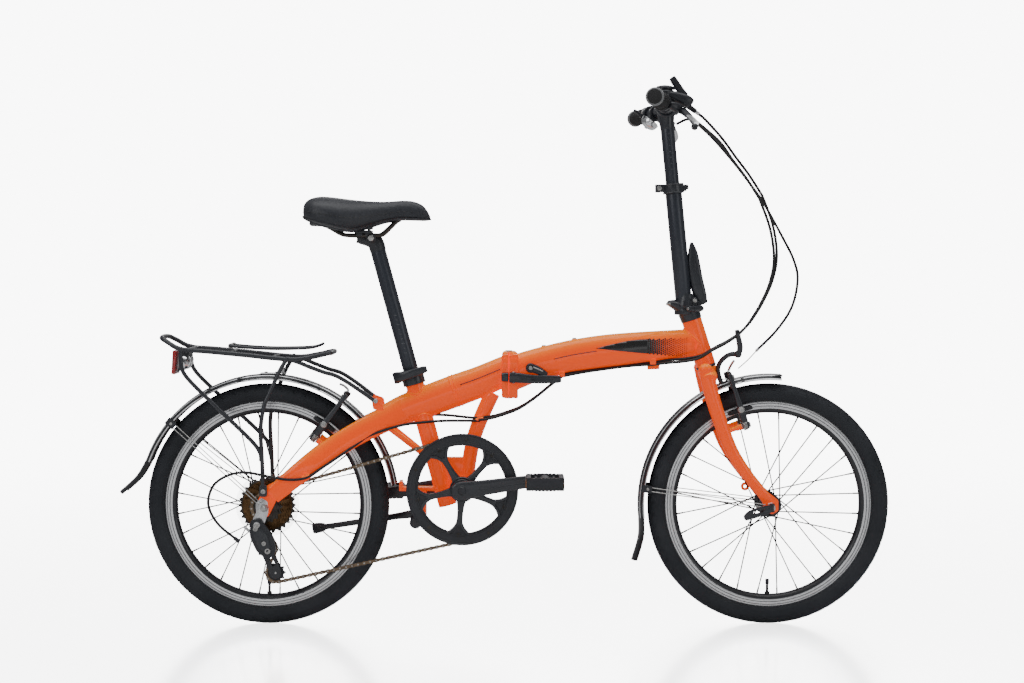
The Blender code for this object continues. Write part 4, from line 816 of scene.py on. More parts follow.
def rim(end, hub):
    """A black rim with a bright braking track on each side, and its valve."""
    build = Build()
    body = [(0.2128, -0.0104), (0.2128, 0.0104), (0.204, 0.0112), (0.1975, 0.011), (0.1935, 0.0088),
            (0.19, 0.006), (0.1882, 0.003), (0.1882, -0.003), (0.19, -0.006), (0.1935, -0.0088),
            (0.1975, -0.011), (0.204, -0.0112)]
    build.add(lathe(body, hub, LEFT, 144), "rim_black")
    for side in SIDES.values():
        low, high = 0.01 * side, 0.0115 * side
        lip = 0.0112 * side
        track = [(0.1976, low), (0.1976, lip), (0.1982, high), (0.202, high), (0.2024, lip), (0.203, lip),
                 (0.2034, high), (0.2076, high), (0.208, lip), (0.2086, lip), (0.209, high), (0.2122, high),
                 (0.2128, lip), (0.2128, low)]
        build.add(lathe(track, hub, LEFT, 144), end + "_track")
        for inner in (0.202, 0.2076):
            groove = ring(hub, LEFT * side, inner, inner + 0.0013, 0.011, 0.0117, 144, 0.0001)
            build.add(groove, "rim_black")
    valve = around(Vector(), 1.0, math.radians(-90))
    stem = hub + valve * 0.187
    build.add(cyl(stem, hub + valve * 0.158, 0.0029, 16), "spoke")
    build.add(cyl(hub + valve * 0.1885, hub + valve * 0.1835, 0.0052, 20), "spoke")
    build.add(cyl(hub + valve * 0.168, hub + valve * 0.157, 0.0041, 20, 0.001), "plastic")
    build.done(end + "_rim_ring", end + "_wheel_assembly", "polished_metal", (end + "_rim",), sharp=30)


def spoked_hub(end, hub, right_flange, left_flange, last):
    """A hub shell with 28 crossed spokes, each with its head and nipple."""
    build = Build()
    shell = [(0.0065, right_flange - 0.005), (0.0135, right_flange - 0.005), (0.015, right_flange - 0.0035),
             (0.0232, right_flange - 0.0018), (0.024, right_flange - 0.001), (0.024, right_flange + 0.001),
             (0.0232, right_flange + 0.0018), (0.016, right_flange + 0.0035), (0.013, right_flange + 0.009),
             (0.0118, (right_flange + left_flange) / 2), (0.013, left_flange - 0.009),
             (0.016, left_flange - 0.0035), (0.0232, left_flange - 0.0018), (0.024, left_flange - 0.001),
             (0.024, left_flange + 0.001), (0.0232, left_flange + 0.0018), (0.015, left_flange + 0.003),
             (0.014, last - 0.001), (0.013, last), (0.0065, last)]
    build.add(lathe(shell, hub, LEFT, 48), "cast_black")
    build.add(ring(hub, LEFT, 0.0066, 0.012, last, last + 0.0015, 32), "steel")
    for k in range(SPOKE_COUNT):
        y = left_flange if k % 2 else right_flange
        lean = 0.62 if k % 4 < 2 else -0.62
        angle = 2 * math.pi * (k + 0.5) / SPOKE_COUNT
        apart = math.copysign(0.0017, lean)
        start = around(hub, 0.021, angle + lean * 2.0, y + apart)
        stop = around(hub, 0.189, angle, math.copysign(0.003, y) + apart)
        build.add(tube([start, stop], 0.0014, 8), "spoke")
        along = (start - stop).normalized()
        build.add(cyl(stop + along * 0.0002, stop + along * 0.013, 0.0018, 10, 0.0003), "dark_steel")
        head = start + LEFT * apart * 0.6
        build.add(cyl(head - LEFT * apart, head + LEFT * apart, 0.0019, 10, 0.0003), "spoke")
    if end == "rear":
        disc = [(0.026, -0.0262), (0.064, -0.024), (0.0652, -0.0246), (0.0652, -0.0252), (0.026, -0.0272)]
        build.add(lathe(disc, hub, LEFT, 72), "clear")
    build.done(end + "_hub_spokes", end + "_wheel_assembly", "black_paint", (end + "_hub_and_spokes",))


def toothed(middle, teeth, root, tip, inner, y, thick, steps=8):
    """A flat ring with teeth, like a sprocket."""
    count = teeth * steps
    edge = thick * 0.22
    rows = [(inner, y - thick / 2, 0), (inner, y + thick / 2, 0), (root, y + thick / 2, 1),
            (root, y + thick / 2 - edge, 2), (root, y - thick / 2 + edge, 2), (root, y - thick / 2, 1)]
    points, faces = [], []
    for radius, height, kind in rows:
        for k in range(count):
            a = 2 * math.pi * k / count
            wave = 0.5 + 0.5 * math.cos(2 * math.pi * k / steps)
            rise = (tip - root) * wave ** 1.3
            reach = radius + (0.0, rise * 0.9, rise)[kind]
            points.append(around(middle, reach, a, middle.y + height))
    total = len(rows)
    for i in range(total):
        near, far = i * count, (i + 1) % total * count
        for k in range(count):
            m = (k + 1) % count
            faces.append((near + k, near + m, far + m, far + k))
    return points, faces


def freewheel():
    """Seven sprockets: the larger ones bronzed, the smallest black."""
    build = Build()
    largest_y = SMALL_SPROCKET_Y + SPROCKET_SPACING * (len(SPROCKET_TEETH) - 1)
    for k, teeth in enumerate(SPROCKET_TEETH):
        y = largest_y - SPROCKET_SPACING * k
        pitch = teeth * CHAIN_PITCH / (2 * math.pi)
        build.add(toothed(REAR_HUB, teeth, pitch - 0.003, pitch + 0.0024, 0.021, y, 0.0018, 10),
                  "dark_steel" if k > 4 or k == 0 else "bronze")
        if k == 0:
            build.add(ring(REAR_HUB, LEFT, 0.03, pitch - 0.0055, y - 0.0012, y + 0.0012, 72, 0.0002),
                      "bronze")
        build.add(ring(REAR_HUB, LEFT, 0.018, 0.0222, y - 0.0026, y + 0.0026, 40), "dark_steel")
    build.add(ring(REAR_HUB, LEFT, 0.0068, 0.0185, SMALL_SPROCKET_Y - 0.001, largest_y, 40), "dark_steel")
    for k in range(12):
        a = 2 * math.pi * k / 12
        build.add(cyl(around(REAR_HUB, 0.0125, a, SMALL_SPROCKET_Y - 0.0018),
                      around(REAR_HUB, 0.0125, a, SMALL_SPROCKET_Y), 0.001, 8, 0.0002), "steel")
    build.done("freewheel_cluster", "freewheel_assembly", "dark_steel", ("freewheel_sprockets",))


def axles():
    """Both axles with their threads, washers and nuts."""
    for end, hub, half, nut, body in (("rear", REAR_HUB, 0.088, 0.0712, "rear_frame_assembly"),
                                      ("front", FRONT_HUB, 0.0655, 0.0543, "fork_assembly")):
        build = Build()
        build.add(cyl(hub - LEFT * half, hub + LEFT * half, 0.0045, 20, 0.0008), "steel")
        for side in SIDES.values():
            for k in range(6):
                at = hub + LEFT * side * (half - 0.0015 - 0.0012 * k)
                build.add(ring(at, LEFT, 0.003, 0.0047, -0.0003, 0.0003, 20, 0.0001), "steel")
            out = hub + LEFT * side * nut
            build.add(ring(out, LEFT * side, 0.0046, 0.0084, 0.0, 0.0018, 28), "alloy")
            build.add(hex_nut(out + LEFT * side * 0.0018, LEFT * side, 0.0142, 0.0092), "steel")
        build.done(end + "_axle_nuts", body, "polished_metal", (end + "_axle",))


def wheels():
    for end, hub in (("rear", REAR_HUB), ("front", FRONT_HUB)):
        tyre(end, hub)
        rim(end, hub)
    spoked_hub("rear", REAR_HUB, -0.019, 0.036, 0.052)
    spoked_hub("front", FRONT_HUB, -0.033, 0.033, 0.04)
    freewheel()
    axles()


def quick_release():
    """The front hub's lever with its oval window."""
    build = Build()
    build.add(cyl(FRONT_HUB + Vector((0, -0.072, -0.0088)), FRONT_HUB + Vector((0, -0.072, 0.0088)), 0.0049),
              "cast_black")
    build.add(cyl(FRONT_HUB + Vector((0, -0.0672, 0)), FRONT_HUB + Vector((0, -0.076, 0)), 0.0066), "steel")
    outline = rounded([(0.548, 0.257), (0.52, 0.2515), (0.496, 0.243), (0.4855, 0.232), (0.49, 0.2225),
                       (0.505, 0.2265), (0.53, 0.2345), (0.548, 0.242)], 0.006)
    window = rounded([(0.531, 0.2475), (0.508, 0.2425), (0.505, 0.2365), (0.528, 0.2415)], 0.0035)
    blade = Build().add(slab(outline, -0.0765, -0.0705))
    blade.done("front_release_blade", "front_release_assembly", "black_paint", bevel=0.0012,
               cuts=[slab(window, -0.09, -0.06)])
    build.done("front_release_pivot", "front_release_assembly", "black_paint",
               ("front_quick_release_lever",))


# ---------------------------------------------------------------- drive


def chainring():
    """The toothed ring, its flared spokes with raised webs, and the centre boss."""
    build = Build()
    pitch = CHAINRING_TEETH * CHAIN_PITCH / (2 * math.pi)
    build.add(toothed(BRACKET, CHAINRING_TEETH, pitch - 0.0034, pitch + 0.002, 0.0945, CHAINRING_Y, 0.0016),
              "dark_steel")
    build.add(ring(BRACKET, LEFT, 0.0092, 0.0225, -0.065, -0.044, 48, 0.0012), "cast_black")
    build.add(ring(BRACKET, LEFT, 0.0225, 0.0262, -0.056, -0.044, 48, 0.0012))
    build.add(ring(BRACKET, LEFT, 0.09, 0.0975, -0.052, -0.0462, 72))
    for k in range(SPIDER_ARMS):
        angle = math.radians(-95 + 360 / SPIDER_ARMS * k)
        matrix = Matrix.Translation(BRACKET) @ Matrix.Rotation(-angle, 4, "Y")
        stem = [(0.02, 0, 0, 0.0048, 0.011), (0.032, 0, 0, 0.0046, 0.0078), (0.05, 0, 0, 0.0044, 0.0062),
                (0.066, 0, 0, 0.0042, 0.0066), (0.074, 0, 0, 0.004, 0.0082)]
        stem = [(x, -0.0505, z, w, h) for x, _, z, w, h in stem]
        build.add(loft(smooth(stem, 3), 16, LEFT, 0.55), matrix=matrix)
        for way in (-1, 1):
            arm = [(0.068, -0.0505, way * 0.003, 0.004, 0.0034),
                   (0.08, -0.0505, way * 0.0095, 0.004, 0.0032),
                   (0.0905, -0.0505, way * 0.02, 0.004, 0.0036),
                   (0.0945, -0.05, way * 0.0275, 0.0036, 0.004)]
            build.add(loft(smooth(arm, 4), 16, LEFT, 0.55), matrix=matrix)
        web = [(0.07, -0.002), (0.093, -0.0215), (0.096, 0.0), (0.093, 0.0215), (0.07, 0.002)]
        build.add(slab(web, -0.0512, -0.0488), "smooth_plastic", matrix)
        build.add(socket_bolt(around(BRACKET, 0.0935, angle, -0.052), -LEFT, 0.0042, 0.003), "dark_steel")
    build.done("chainring_spider", "crank_assembly", "black_paint", ("chainring",))


def chain_guard():
    """The guard outside the chainring: a flat ring with rolled edges and a fine step."""
    lip = [(0.093, -0.053), (0.093, -0.0549), (0.0936, -0.0555), (0.0952, -0.0555), (0.096, -0.0545),
           (0.0985, -0.0545), (0.108, -0.0545), (0.1098, -0.0545), (0.1108, -0.0553), (0.1138, -0.0553),
           (0.1145, -0.0546), (0.1145, -0.0534), (0.1138, -0.0528), (0.0936, -0.0528)]
    build = Build().add(lathe(lip, BRACKET, LEFT, 160), "smooth_plastic")
    for k in range(SPIDER_ARMS):
        middle = around(BRACKET, 0.1032, math.radians(-95 + 360 / SPIDER_ARMS * (k + 0.5)), -0.0544)
        build.add(cyl(middle, middle - LEFT * 0.001, 0.0033, 24, 0.0003), "dark_steel")
    build.done("chain_guard_disc", "crank_assembly", "black_plastic", ("chain_guard_ring",), sharp=25)


def cranks():
    """Both crank arms with their fluted outer faces, bolts and pedals."""
    for name, side in SIDES.items():
        angle = CRANK_ANGLE if side < 0 else CRANK_ANGLE + math.pi
        rows = [(-0.02, 0.0725, 0.0052, 0.011), (-0.012, 0.0725, 0.0062, 0.017),
                (0.0, 0.0725, 0.0066, 0.0188), (0.016, 0.073, 0.0064, 0.0178),
                (0.034, 0.0741, 0.006, 0.0162), (0.07, 0.0764, 0.0056, 0.0148),
                (0.11, 0.079, 0.0055, 0.0136), (0.148, 0.0805, 0.0055, 0.0124),
                (0.162, 0.0808, 0.0056, 0.0128), (0.17, 0.0809, 0.0055, 0.0118),
                (0.177, 0.081, 0.0052, 0.0098), (0.1812, 0.081, 0.0046, 0.006)]
        path = [(*around(BRACKET, r, angle, y * side), w, h) for r, y, w, h in rows]
        arm = Build().add(loft(smooth(path, 3), 28, LEFT, 0.6))
        slot_path = [(*around(BRACKET, r, angle, y * side), w, h) for r, y, w,
                     h in ((0.034, 0.0815, 0.002, 0.003), (0.04, 0.0819, 0.002, 0.0052),
                           (0.1, 0.0853, 0.002, 0.0046), (0.142, 0.0874, 0.002, 0.004),
                           (0.149, 0.0876, 0.002, 0.0022))]
        arm.done(name + "_crank_arm", "crank_assembly", "black_paint", (name + "_crank",), bevel=0.0005,
                 cuts=[loft(slot_path, 12, LEFT, 0.7)])
        detail = Build()
        out = LEFT * side
        detail.add(ring(BRACKET, out, 0.008, 0.0112, 0.078, 0.08, 40))
        detail.add(cyl(BRACKET + out * 0.077, BRACKET + out * 0.0812, 0.0082, 32, 0.0012), "smooth_plastic")
        pin = around(BRACKET, CRANK_LENGTH, angle)
        detail.add(cyl(pin + out * 0.086, pin + out * 0.0895, 0.0086, 6, 0.0006), "steel")
        detail.add(cyl(pin + out * 0.074, pin + out * 0.0757, 0.007, 32, 0.0008), "steel")
        detail.done(name + "_crank_fittings", "crank_assembly", "polished_metal")
        pedal(name, side, pin)


def pedal(name, side, middle):
    """A cage pedal: toothed end plates, ribs round the sleeve and a reflector on both edges."""
    build = Build("plastic")
    wide = PEDAL_OUTER_Y - PEDAL_INNER_Y
    centre = (PEDAL_OUTER_Y + PEDAL_INNER_Y) / 2

    def at(x, y, z=0.0):
        return middle + Vector((x, side * y, z))

    def plate(half, y, thick, tooth):
        top = []
        for k in range(17):
            x = -half + 0.006 + (2 * half - 0.012) * k / 16
            top.append((x, 0.0122 + (tooth if k % 2 else 0.0) - 0.0022 * abs(x / half) ** 3))
        outline = [(half, 0.006), (half, -0.006), *[(x, -z) for x, z in reversed(top)], (-half, -0.006),
                   (-half, 0.006), *top]
        low, high = sorted((side * (y - thick / 2), side * (y + thick / 2)))
        build.add(slab(outline, low, high, Matrix.Translation(middle)))

    plate(0.037, PEDAL_INNER_Y + 0.0045, 0.0085, 0.0016)
    plate(0.035, PEDAL_OUTER_Y - 0.0045, 0.0085, 0.0016)
    build.add(cyl(at(0, PEDAL_INNER_Y + 0.001), at(0, PEDAL_OUTER_Y - 0.0015), 0.0118, 32, 0.001))
    build.add(cyl(at(0, PEDAL_OUTER_Y - 0.002), at(0, PEDAL_OUTER_Y - 0.0002), 0.0085, 32, 0.0008),
              "smooth_plastic")
    for end in (-1, 1):
        build.add(block(at(end * 0.0325, centre), (0.0095, wide - 0.01, 0.026)))
        build.add(block(at(end * 0.018, centre), (0.0045, wide - 0.01, 0.017)))
        build.add(block(at(end * 0.0371, centre), (0.0026, wide - 0.03, 0.015)), "amber")
        for z in (-0.01, 0.01):
            build.add(block(at(end * 0.0371, centre, z), (0.0022, wide - 0.022, 0.003)))
        for k in range(5):
            y = centre + (k - 2) * 0.0145
            build.add(block(at(end * 0.018, y), (0.03, 0.003, 0.013)))
    build.done(name + "_pedal_cage", name + "_pedal_assembly", "black_plastic", (name + "_pedal",),
               bevel=0.0006)


def belt_points(wheel_list):
    """The path of a chain round wheels (middle, radius, y, sense), with sense 1 from +X towards +Z."""
    headings = []
    for wheel, following in zip(wheel_list, wheel_list[1:] + wheel_list[:1]):
        line = following[0] - wheel[0]
        slip = (wheel[3] * wheel[1] - following[3] * following[1]) / math.hypot(line.x, line.z)
        headings.append(math.atan2(line.z, line.x) + math.asin(slip))
    points = []
    for i, (middle, radius, y, sense) in enumerate(wheel_list):
        enter = headings[i - 1] - sense * math.pi / 2
        wrap = (headings[i] - headings[i - 1]) * sense % (2 * math.pi)
        pieces = max(6, round(wrap / math.radians(4)))
        for k in range(pieces + 1):
            points.append(around(middle, radius, enter + sense * wrap * k / pieces, y))
    return points


def link_plate(length, waist, round_radius, thick, y):
    """A chain's side plate: round at both pins and narrower between them."""
    outline = []
    for end in (1, -1):
        for k in range(9):
            a = math.radians(-115 + 230 * k / 8)
            outline.append((end * (length / 2 + round_radius * math.cos(a)),
                            end * round_radius * math.sin(a)))
        outline.append((0.0, end * waist))
    return slab(outline, y - thick / 2, y + thick / 2)


def chain():
    """Every link of the chain, with its rollers and pins."""
    pitch_radius = CHAIN_PITCH / (2 * math.pi)
    path = belt_points([(BRACKET, CHAINRING_TEETH * pitch_radius, CHAINRING_Y, 1),
                        (REAR_HUB, SPROCKET_TEETH[-1] * pitch_radius, SMALL_SPROCKET_Y, 1),
                        (GUIDE_PULLEY, PULLEY_TEETH * pitch_radius, SMALL_SPROCKET_Y, -1),
                        (TENSION_PULLEY, PULLEY_TEETH * pitch_radius, SMALL_SPROCKET_Y, 1)])
    path.append(path[0])
    lengths = [0.0]
    for a, b in zip(path, path[1:]):
        lengths.append(lengths[-1] + (b - a).length)
    count = 2 * round(lengths[-1] / CHAIN_PITCH / 2)
    step = lengths[-1] / count

    def at(distance):
        distance %= lengths[-1]
        i = next(k for k in range(1, len(lengths)) if lengths[k] >= distance)
        share = (distance - lengths[i - 1]) / max(1e-9, lengths[i] - lengths[i - 1])
        return path[i - 1].lerp(path[i], share)

    build = Build()
    for k in range(count):
        a, b = at(k * step), at((k + 1) * step)
        matrix = basis((a + b) / 2, b - a, LEFT)
        gap = 0.0029 if k % 2 else 0.0019
        for way in (-1, 1):
            build.add(link_plate(step, 0.0026, 0.0039, 0.0009, way * gap), "chain", matrix)
        build.add(cyl(a - LEFT * 0.0016, a + LEFT * 0.0016, 0.0037, 14, 0.0003), "chain")
        build.add(cyl(a - LEFT * 0.0037, a + LEFT * 0.0037, 0.0017, 10, 0.0002), "steel")
    links = build.done("chain_links", "", "dark_steel", ("chain",))
    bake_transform(links)


def derailleur():
    """The derailleur's body with its bolts, cable barrel and spring."""
    build = Build()
    outer = rounded([(-0.514, 0.226), (-0.494, 0.228), (-0.472, 0.2), (-0.462, 0.168), (-0.466, 0.152),
                     (-0.48, 0.146), (-0.5, 0.158), (-0.516, 0.192)], 0.01)
    inner = rounded([(-0.508, 0.216), (-0.494, 0.214), (-0.478, 0.192), (-0.473, 0.168), (-0.481, 0.158),
                     (-0.497, 0.168), (-0.508, 0.194)], 0.006)
    build.add(slab(outer, -0.0822, -0.076), "smooth_plastic")
    build.add(slab(inner, -0.0848, -0.0815))
    for x, z, radius in ((-0.503, 0.208, 0.0052), (-0.486, 0.178, 0.0046), (-0.479, 0.162, 0.006)):
        build.add(socket_bolt((x, -0.0846 if radius < 0.006 else -0.082, z), -LEFT, radius, 0.003), "steel")
    build.add(cyl((-0.501, -0.084, 0.214), (-0.501, -0.071, 0.214), 0.0072, 28), "alloy")
    build.add(socket_bolt((-0.501, -0.084, 0.214), -LEFT, 0.006, 0.0034), "steel")
    build.add(tube([(-0.513, -0.079, 0.2), (-0.52, -0.0795, 0.206), (-0.526, -0.08, 0.211)], 0.003, 12),
              "alloy")
    for k in range(8):
        build.add(ring(Vector((-0.495, -0.0735, 0.17)), Vector((0.4, 0, 1)), 0.0036, 0.0052, 0.0022 * k,
                       0.0022 * k + 0.0012, 18), "steel")
    build.done("rear_derailleur_shell", "rear_frame_assembly", "black_plastic", ("rear_derailleur_body",),
               bevel=0.0006)


def derailleur_cage():
    """The two plates that carry the pulleys, with their bolts."""
    cage = Build()
    for y, key in ((-0.0645, "cast_black"), (-0.0515, "dark_steel")):
        outline = [around(GUIDE_PULLEY, 0.012, math.radians(a))
                   for a in (10, 35, 60, 85, 110, 135, 160, 185, 205)]
        outline += [around(TENSION_PULLEY, 0.012, math.radians(a))
                    for a in (205, 230, 250, 275, 300, 325, 350, 20)]
        cage.add(slab([(p.x, p.z) for p in outline], y - 0.0008, y + 0.0008), key)
    for middle in (GUIDE_PULLEY, TENSION_PULLEY):
        cage.add(cyl(middle - LEFT * 0.0668, middle - LEFT * 0.0508, 0.0024, 16), "steel")
        cage.add(socket_bolt(middle - LEFT * 0.0652, -LEFT, 0.0042, 0.0026), "steel")
    cage.add(cyl(GUIDE_PULLEY - LEFT * 0.0755, GUIDE_PULLEY - LEFT * 0.0652, 0.0088, 30, 0.001),
             "smooth_plastic")
    window = rounded([(-0.48, 0.15), (-0.473, 0.148), (-0.465, 0.13), (-0.472, 0.128)], 0.003)
    cage.done("derailleur_cage_plates", "derailleur_cage_assembly", "dark_steel", ("derailleur_cage",),
              bevel=0.0003, cuts=[slab(window, -0.07, -0.04)])


def pulleys():
    """The guide pulley and the tension pulley."""
    for name, middle in (("guide_pulley", GUIDE_PULLEY), ("tension_pulley", TENSION_PULLEY)):
        pitch = PULLEY_TEETH * CHAIN_PITCH / (2 * math.pi)
        pulley = Build()
        pulley.add(toothed(middle, PULLEY_TEETH, pitch - 0.0042, pitch + 0.0002, 0.0075, SMALL_SPROCKET_Y,
                           0.0022, 12), "smooth_plastic")
        pulley.add(ring(middle, LEFT, 0.0032, 0.0078, SMALL_SPROCKET_Y - 0.0025, SMALL_SPROCKET_Y + 0.0025,
                        28), "steel")
        pulley.done(name + "_wheel", name + "_assembly", "black_plastic", (name,))


def drive():
    chainring()
    chain_guard()
    cranks()
    chain()
    derailleur()
    derailleur_cage()
    pulleys()


# ---------------------------------------------------------------- frame halves

REAR_TUBE = [
    (0.0035, 0.0, 0.5225, 0.024, 0.0325), (-0.006, 0.0, 0.5195, 0.024, 0.0315),
    (-0.052, 0.0, 0.5, 0.0235, 0.0325), (-0.1, 0.0, 0.4825, 0.023, 0.0335),
    (-0.15, 0.0, 0.464, 0.0225, 0.033), (-0.205, 0.0, 0.444, 0.0235, 0.0305),
    (-0.245, 0.0, 0.425, 0.0255, 0.0275)]
STAY = [
    (-0.205, 0.014, 0.444, 0.0085, 0.027), (-0.25, 0.027, 0.4215, 0.009, 0.0247),
    (-0.3, 0.041, 0.3975, 0.009, 0.0237), (-0.35, 0.054, 0.367, 0.0084, 0.0232),
    (-0.395, 0.068, 0.3345, 0.0068, 0.0217), (-0.435, 0.0705, 0.303, 0.0062, 0.0202),
    (-0.47, 0.0695, 0.274, 0.0046, 0.0182)]
DOWN_TUBE = [(-0.024, 0, 0.478, 0.017, 0.016), (-0.05, 0, 0.42, 0.016, 0.0155),
             (-0.066, 0, 0.37, 0.016, 0.015), (-0.078, 0, 0.296, 0.016, 0.015)]
FRONT_TUBE = [
    (0.0175, 0.0, 0.5195, 0.0242, 0.0362), (0.026, 0.0, 0.5215, 0.0242, 0.0355),
    (0.06, 0.0, 0.534, 0.0242, 0.0338), (0.121, 0.0, 0.55, 0.0237, 0.0333),
    (0.17, 0.0, 0.559, 0.0237, 0.0338), (0.224, 0.0, 0.566, 0.0237, 0.0338),
    (0.3, 0.0, 0.5735, 0.0232, 0.0318), (0.392, 0.0, 0.581, 0.02, 0.0292)]
BLADE = [
    (0.412, 0.05, 0.526, 0.0112, 0.0155), (0.424, 0.0515, 0.474, 0.0112, 0.015),
    (0.445, 0.052, 0.41, 0.0106, 0.014), (0.466, 0.052, 0.36, 0.01, 0.013),
    (0.495, 0.052, 0.316, 0.009, 0.0115), (0.521, 0.052, 0.284, 0.0066, 0.0108),
    (0.538, 0.052, 0.262, 0.0036, 0.0112)]


def brake_axis(end):
    """The direction of a brake boss, square to the rim's radius."""
    if end == "front":
        return AHEAD_OF_STEER
    return Vector((-REAR_BRAKE_UP.z, 0, REAR_BRAKE_UP.x))


def brake_boss(build, end, axis, root):
    """A brake's pivot stud on its foot, with a washer."""
    build.add(cyl(end - axis * 0.014, end, 0.006, 24), "orange")
    build.add(cyl(root, end - axis * 0.009, 0.005, 20), "orange")
    build.add(ring(end, axis, 0.0035, 0.0072, -0.0022, -0.0003, 28), "steel")


def cable_clip(build, at, key="orange"):
    """A brazed cable stop: a short split barrel on a foot."""
    at = Vector(at)
    build.add(cyl(at + Vector((-0.008, 0, -0.002)), at + Vector((0.008, 0, 0.003)), 0.0042, 20, 0.0008), key)
    build.add(block(at + Vector((0, 0, 0.004)), (0.009, 0.006, 0.008)), key)


def outline_at(stations, position):
    """Middle height and half height of a tube at an X position."""
    rows = smooth(stations, 8)
    for a, b in zip(rows, rows[1:]):
        if min(a[0], b[0]) <= position <= max(a[0], b[0]):
            share = (position - a[0]) / (b[0] - a[0])
            return a[2] + (b[2] - a[2]) * share, a[4] + (b[4] - a[4]) * share
    raise ValueError(position)


def draped(outline, tube_tree, side, lift=0.00035):
    """A thin film on the side of a tube: a grid inside the outline, dropped onto the tube along Y."""
    low = Vector((min(p[0] for p in outline), min(p[1] for p in outline)))
    high = Vector((max(p[0] for p in outline), max(p[1] for p in outline)))
    sheet = bmesh.new()
    corners = [sheet.verts.new((x, 0, z)) for x, z in outline]
    sheet.faces.new(corners)
    step = 0.005
    for axis, first, last in ((Vector((1, 0, 0)), low.x, high.x), (Vector((0, 0, 1)), low.y, high.y)):
        place = first + step
        while place < last:
            at = axis * place
            geometry = [*sheet.verts, *sheet.edges, *sheet.faces]
            bmesh.ops.bisect_plane(sheet, geom=geometry, plane_co=at, plane_no=axis)
            place += step
    sheet.verts.ensure_lookup_table()
    places = []
    for vert in sheet.verts:
        start = Vector((vert.co.x, side * 0.2, vert.co.z))
        hit, normal, _, _ = tube_tree.ray_cast(start, Vector((0, -side, 0)), 0.4)
        if hit is None:
            hit, normal = Vector((vert.co.x, side * 0.02, vert.co.z)), LEFT * side
        if normal.y * side < 0:
            normal = -normal
        places.append(hit + normal * lift)
    sheet.verts.index_update()
    faces = [tuple(v.index for v in face.verts) for face in sheet.faces]
    sheet.free()
    return places, faces


def film(name, body, slot, shapes, key):
    """Films with a hair of thickness, shown as one piece."""
    build = Build()
    for shape in shapes:
        build.add(shape, key)
    made = build.done(name, body, slot)
    solid = made.modifiers.new("thickness", "SOLIDIFY")
    solid.thickness = 0.0002
    solid.offset = 0.0
    return made


def stripe(stations, start, end, drop, width):
    """An outline that runs along a tube at a share of its height."""
    upper, lower = [], []
    for k in range(13):
        x = start + (end - start) * k / 12
        middle, half = outline_at(stations, x)
        upper.append((x, middle + half * drop + width / 2))
        lower.append((x, middle + half * drop - width / 2))
    return upper + lower[::-1]


def dot(x, z, radius):
    """A small round outline."""
    return [(x + radius * math.cos(2 * math.pi * k / 10), z + radius * math.sin(2 * math.pi * k / 10))
            for k in range(10)]


def decals():
    """Plain lines and a black wedge that breaks up into dots towards the front."""
    front = tree_of(loft(smooth(FRONT_TUBE, 6), 48, LEFT, 0.85))
    rear = tree_of(loft(smooth(REAR_TUBE, 6), 48, LEFT, 0.85))
    wedge = [(0.188, 0.5708), (0.22, 0.579), (0.254, 0.5862), (0.275, 0.5888), (0.297, 0.59), (0.297, 0.56),
             (0.282, 0.5612), (0.258, 0.5634), (0.222, 0.567)]
    for name, side in SIDES.items():
        shapes = [draped(wedge, front, side)]
        for column in range(20):
            x = 0.2985 + 0.004 * column
            low, top = 0.5612 - 0.0004 * column, 0.5896 + 0.00012 * column
            radius = 0.00245 - 0.000085 * column
            row = 0
            while low + 0.004 * row + 0.002 * (column % 2) < top:
                shapes.append(draped(dot(x, low + 0.004 * row + 0.002 * (column % 2), radius), front, side))
                row += 1
        shapes.append(draped(stripe(FRONT_TUBE, 0.103, 0.19, 0.1, 0.0016), front, side))
        film(name + "_front_decal", "front_frame_assembly", "black_paint", shapes, "decal")
        lines = [draped(stripe(REAR_TUBE, -0.09, -0.008, 0.3, 0.0018), rear, side)]
        film(name + "_rear_line", "rear_frame_assembly", "black_paint", lines, "decal")


def hinge_plate(build, low_x, high_x):
    """One of the two forged faces of the frame hinge, with its swollen top and the pad under the lever."""
    outline = rounded([(low_x, 0.47), (high_x, 0.468), (high_x, 0.559), (low_x, 0.557)], 0.0045)
    build.add(slab(outline, -0.028, 0.032), "orange")
    middle = (low_x + high_x) / 2
    build.add(ball((middle, 0.0, 0.556), 0.008, 32, ((high_x - low_x) / 0.017, 2.2, 1.15)), "orange")
    build.add(block((middle, -0.029, 0.54), (high_x - low_x - 0.004, 0.004, 0.02)), "orange")


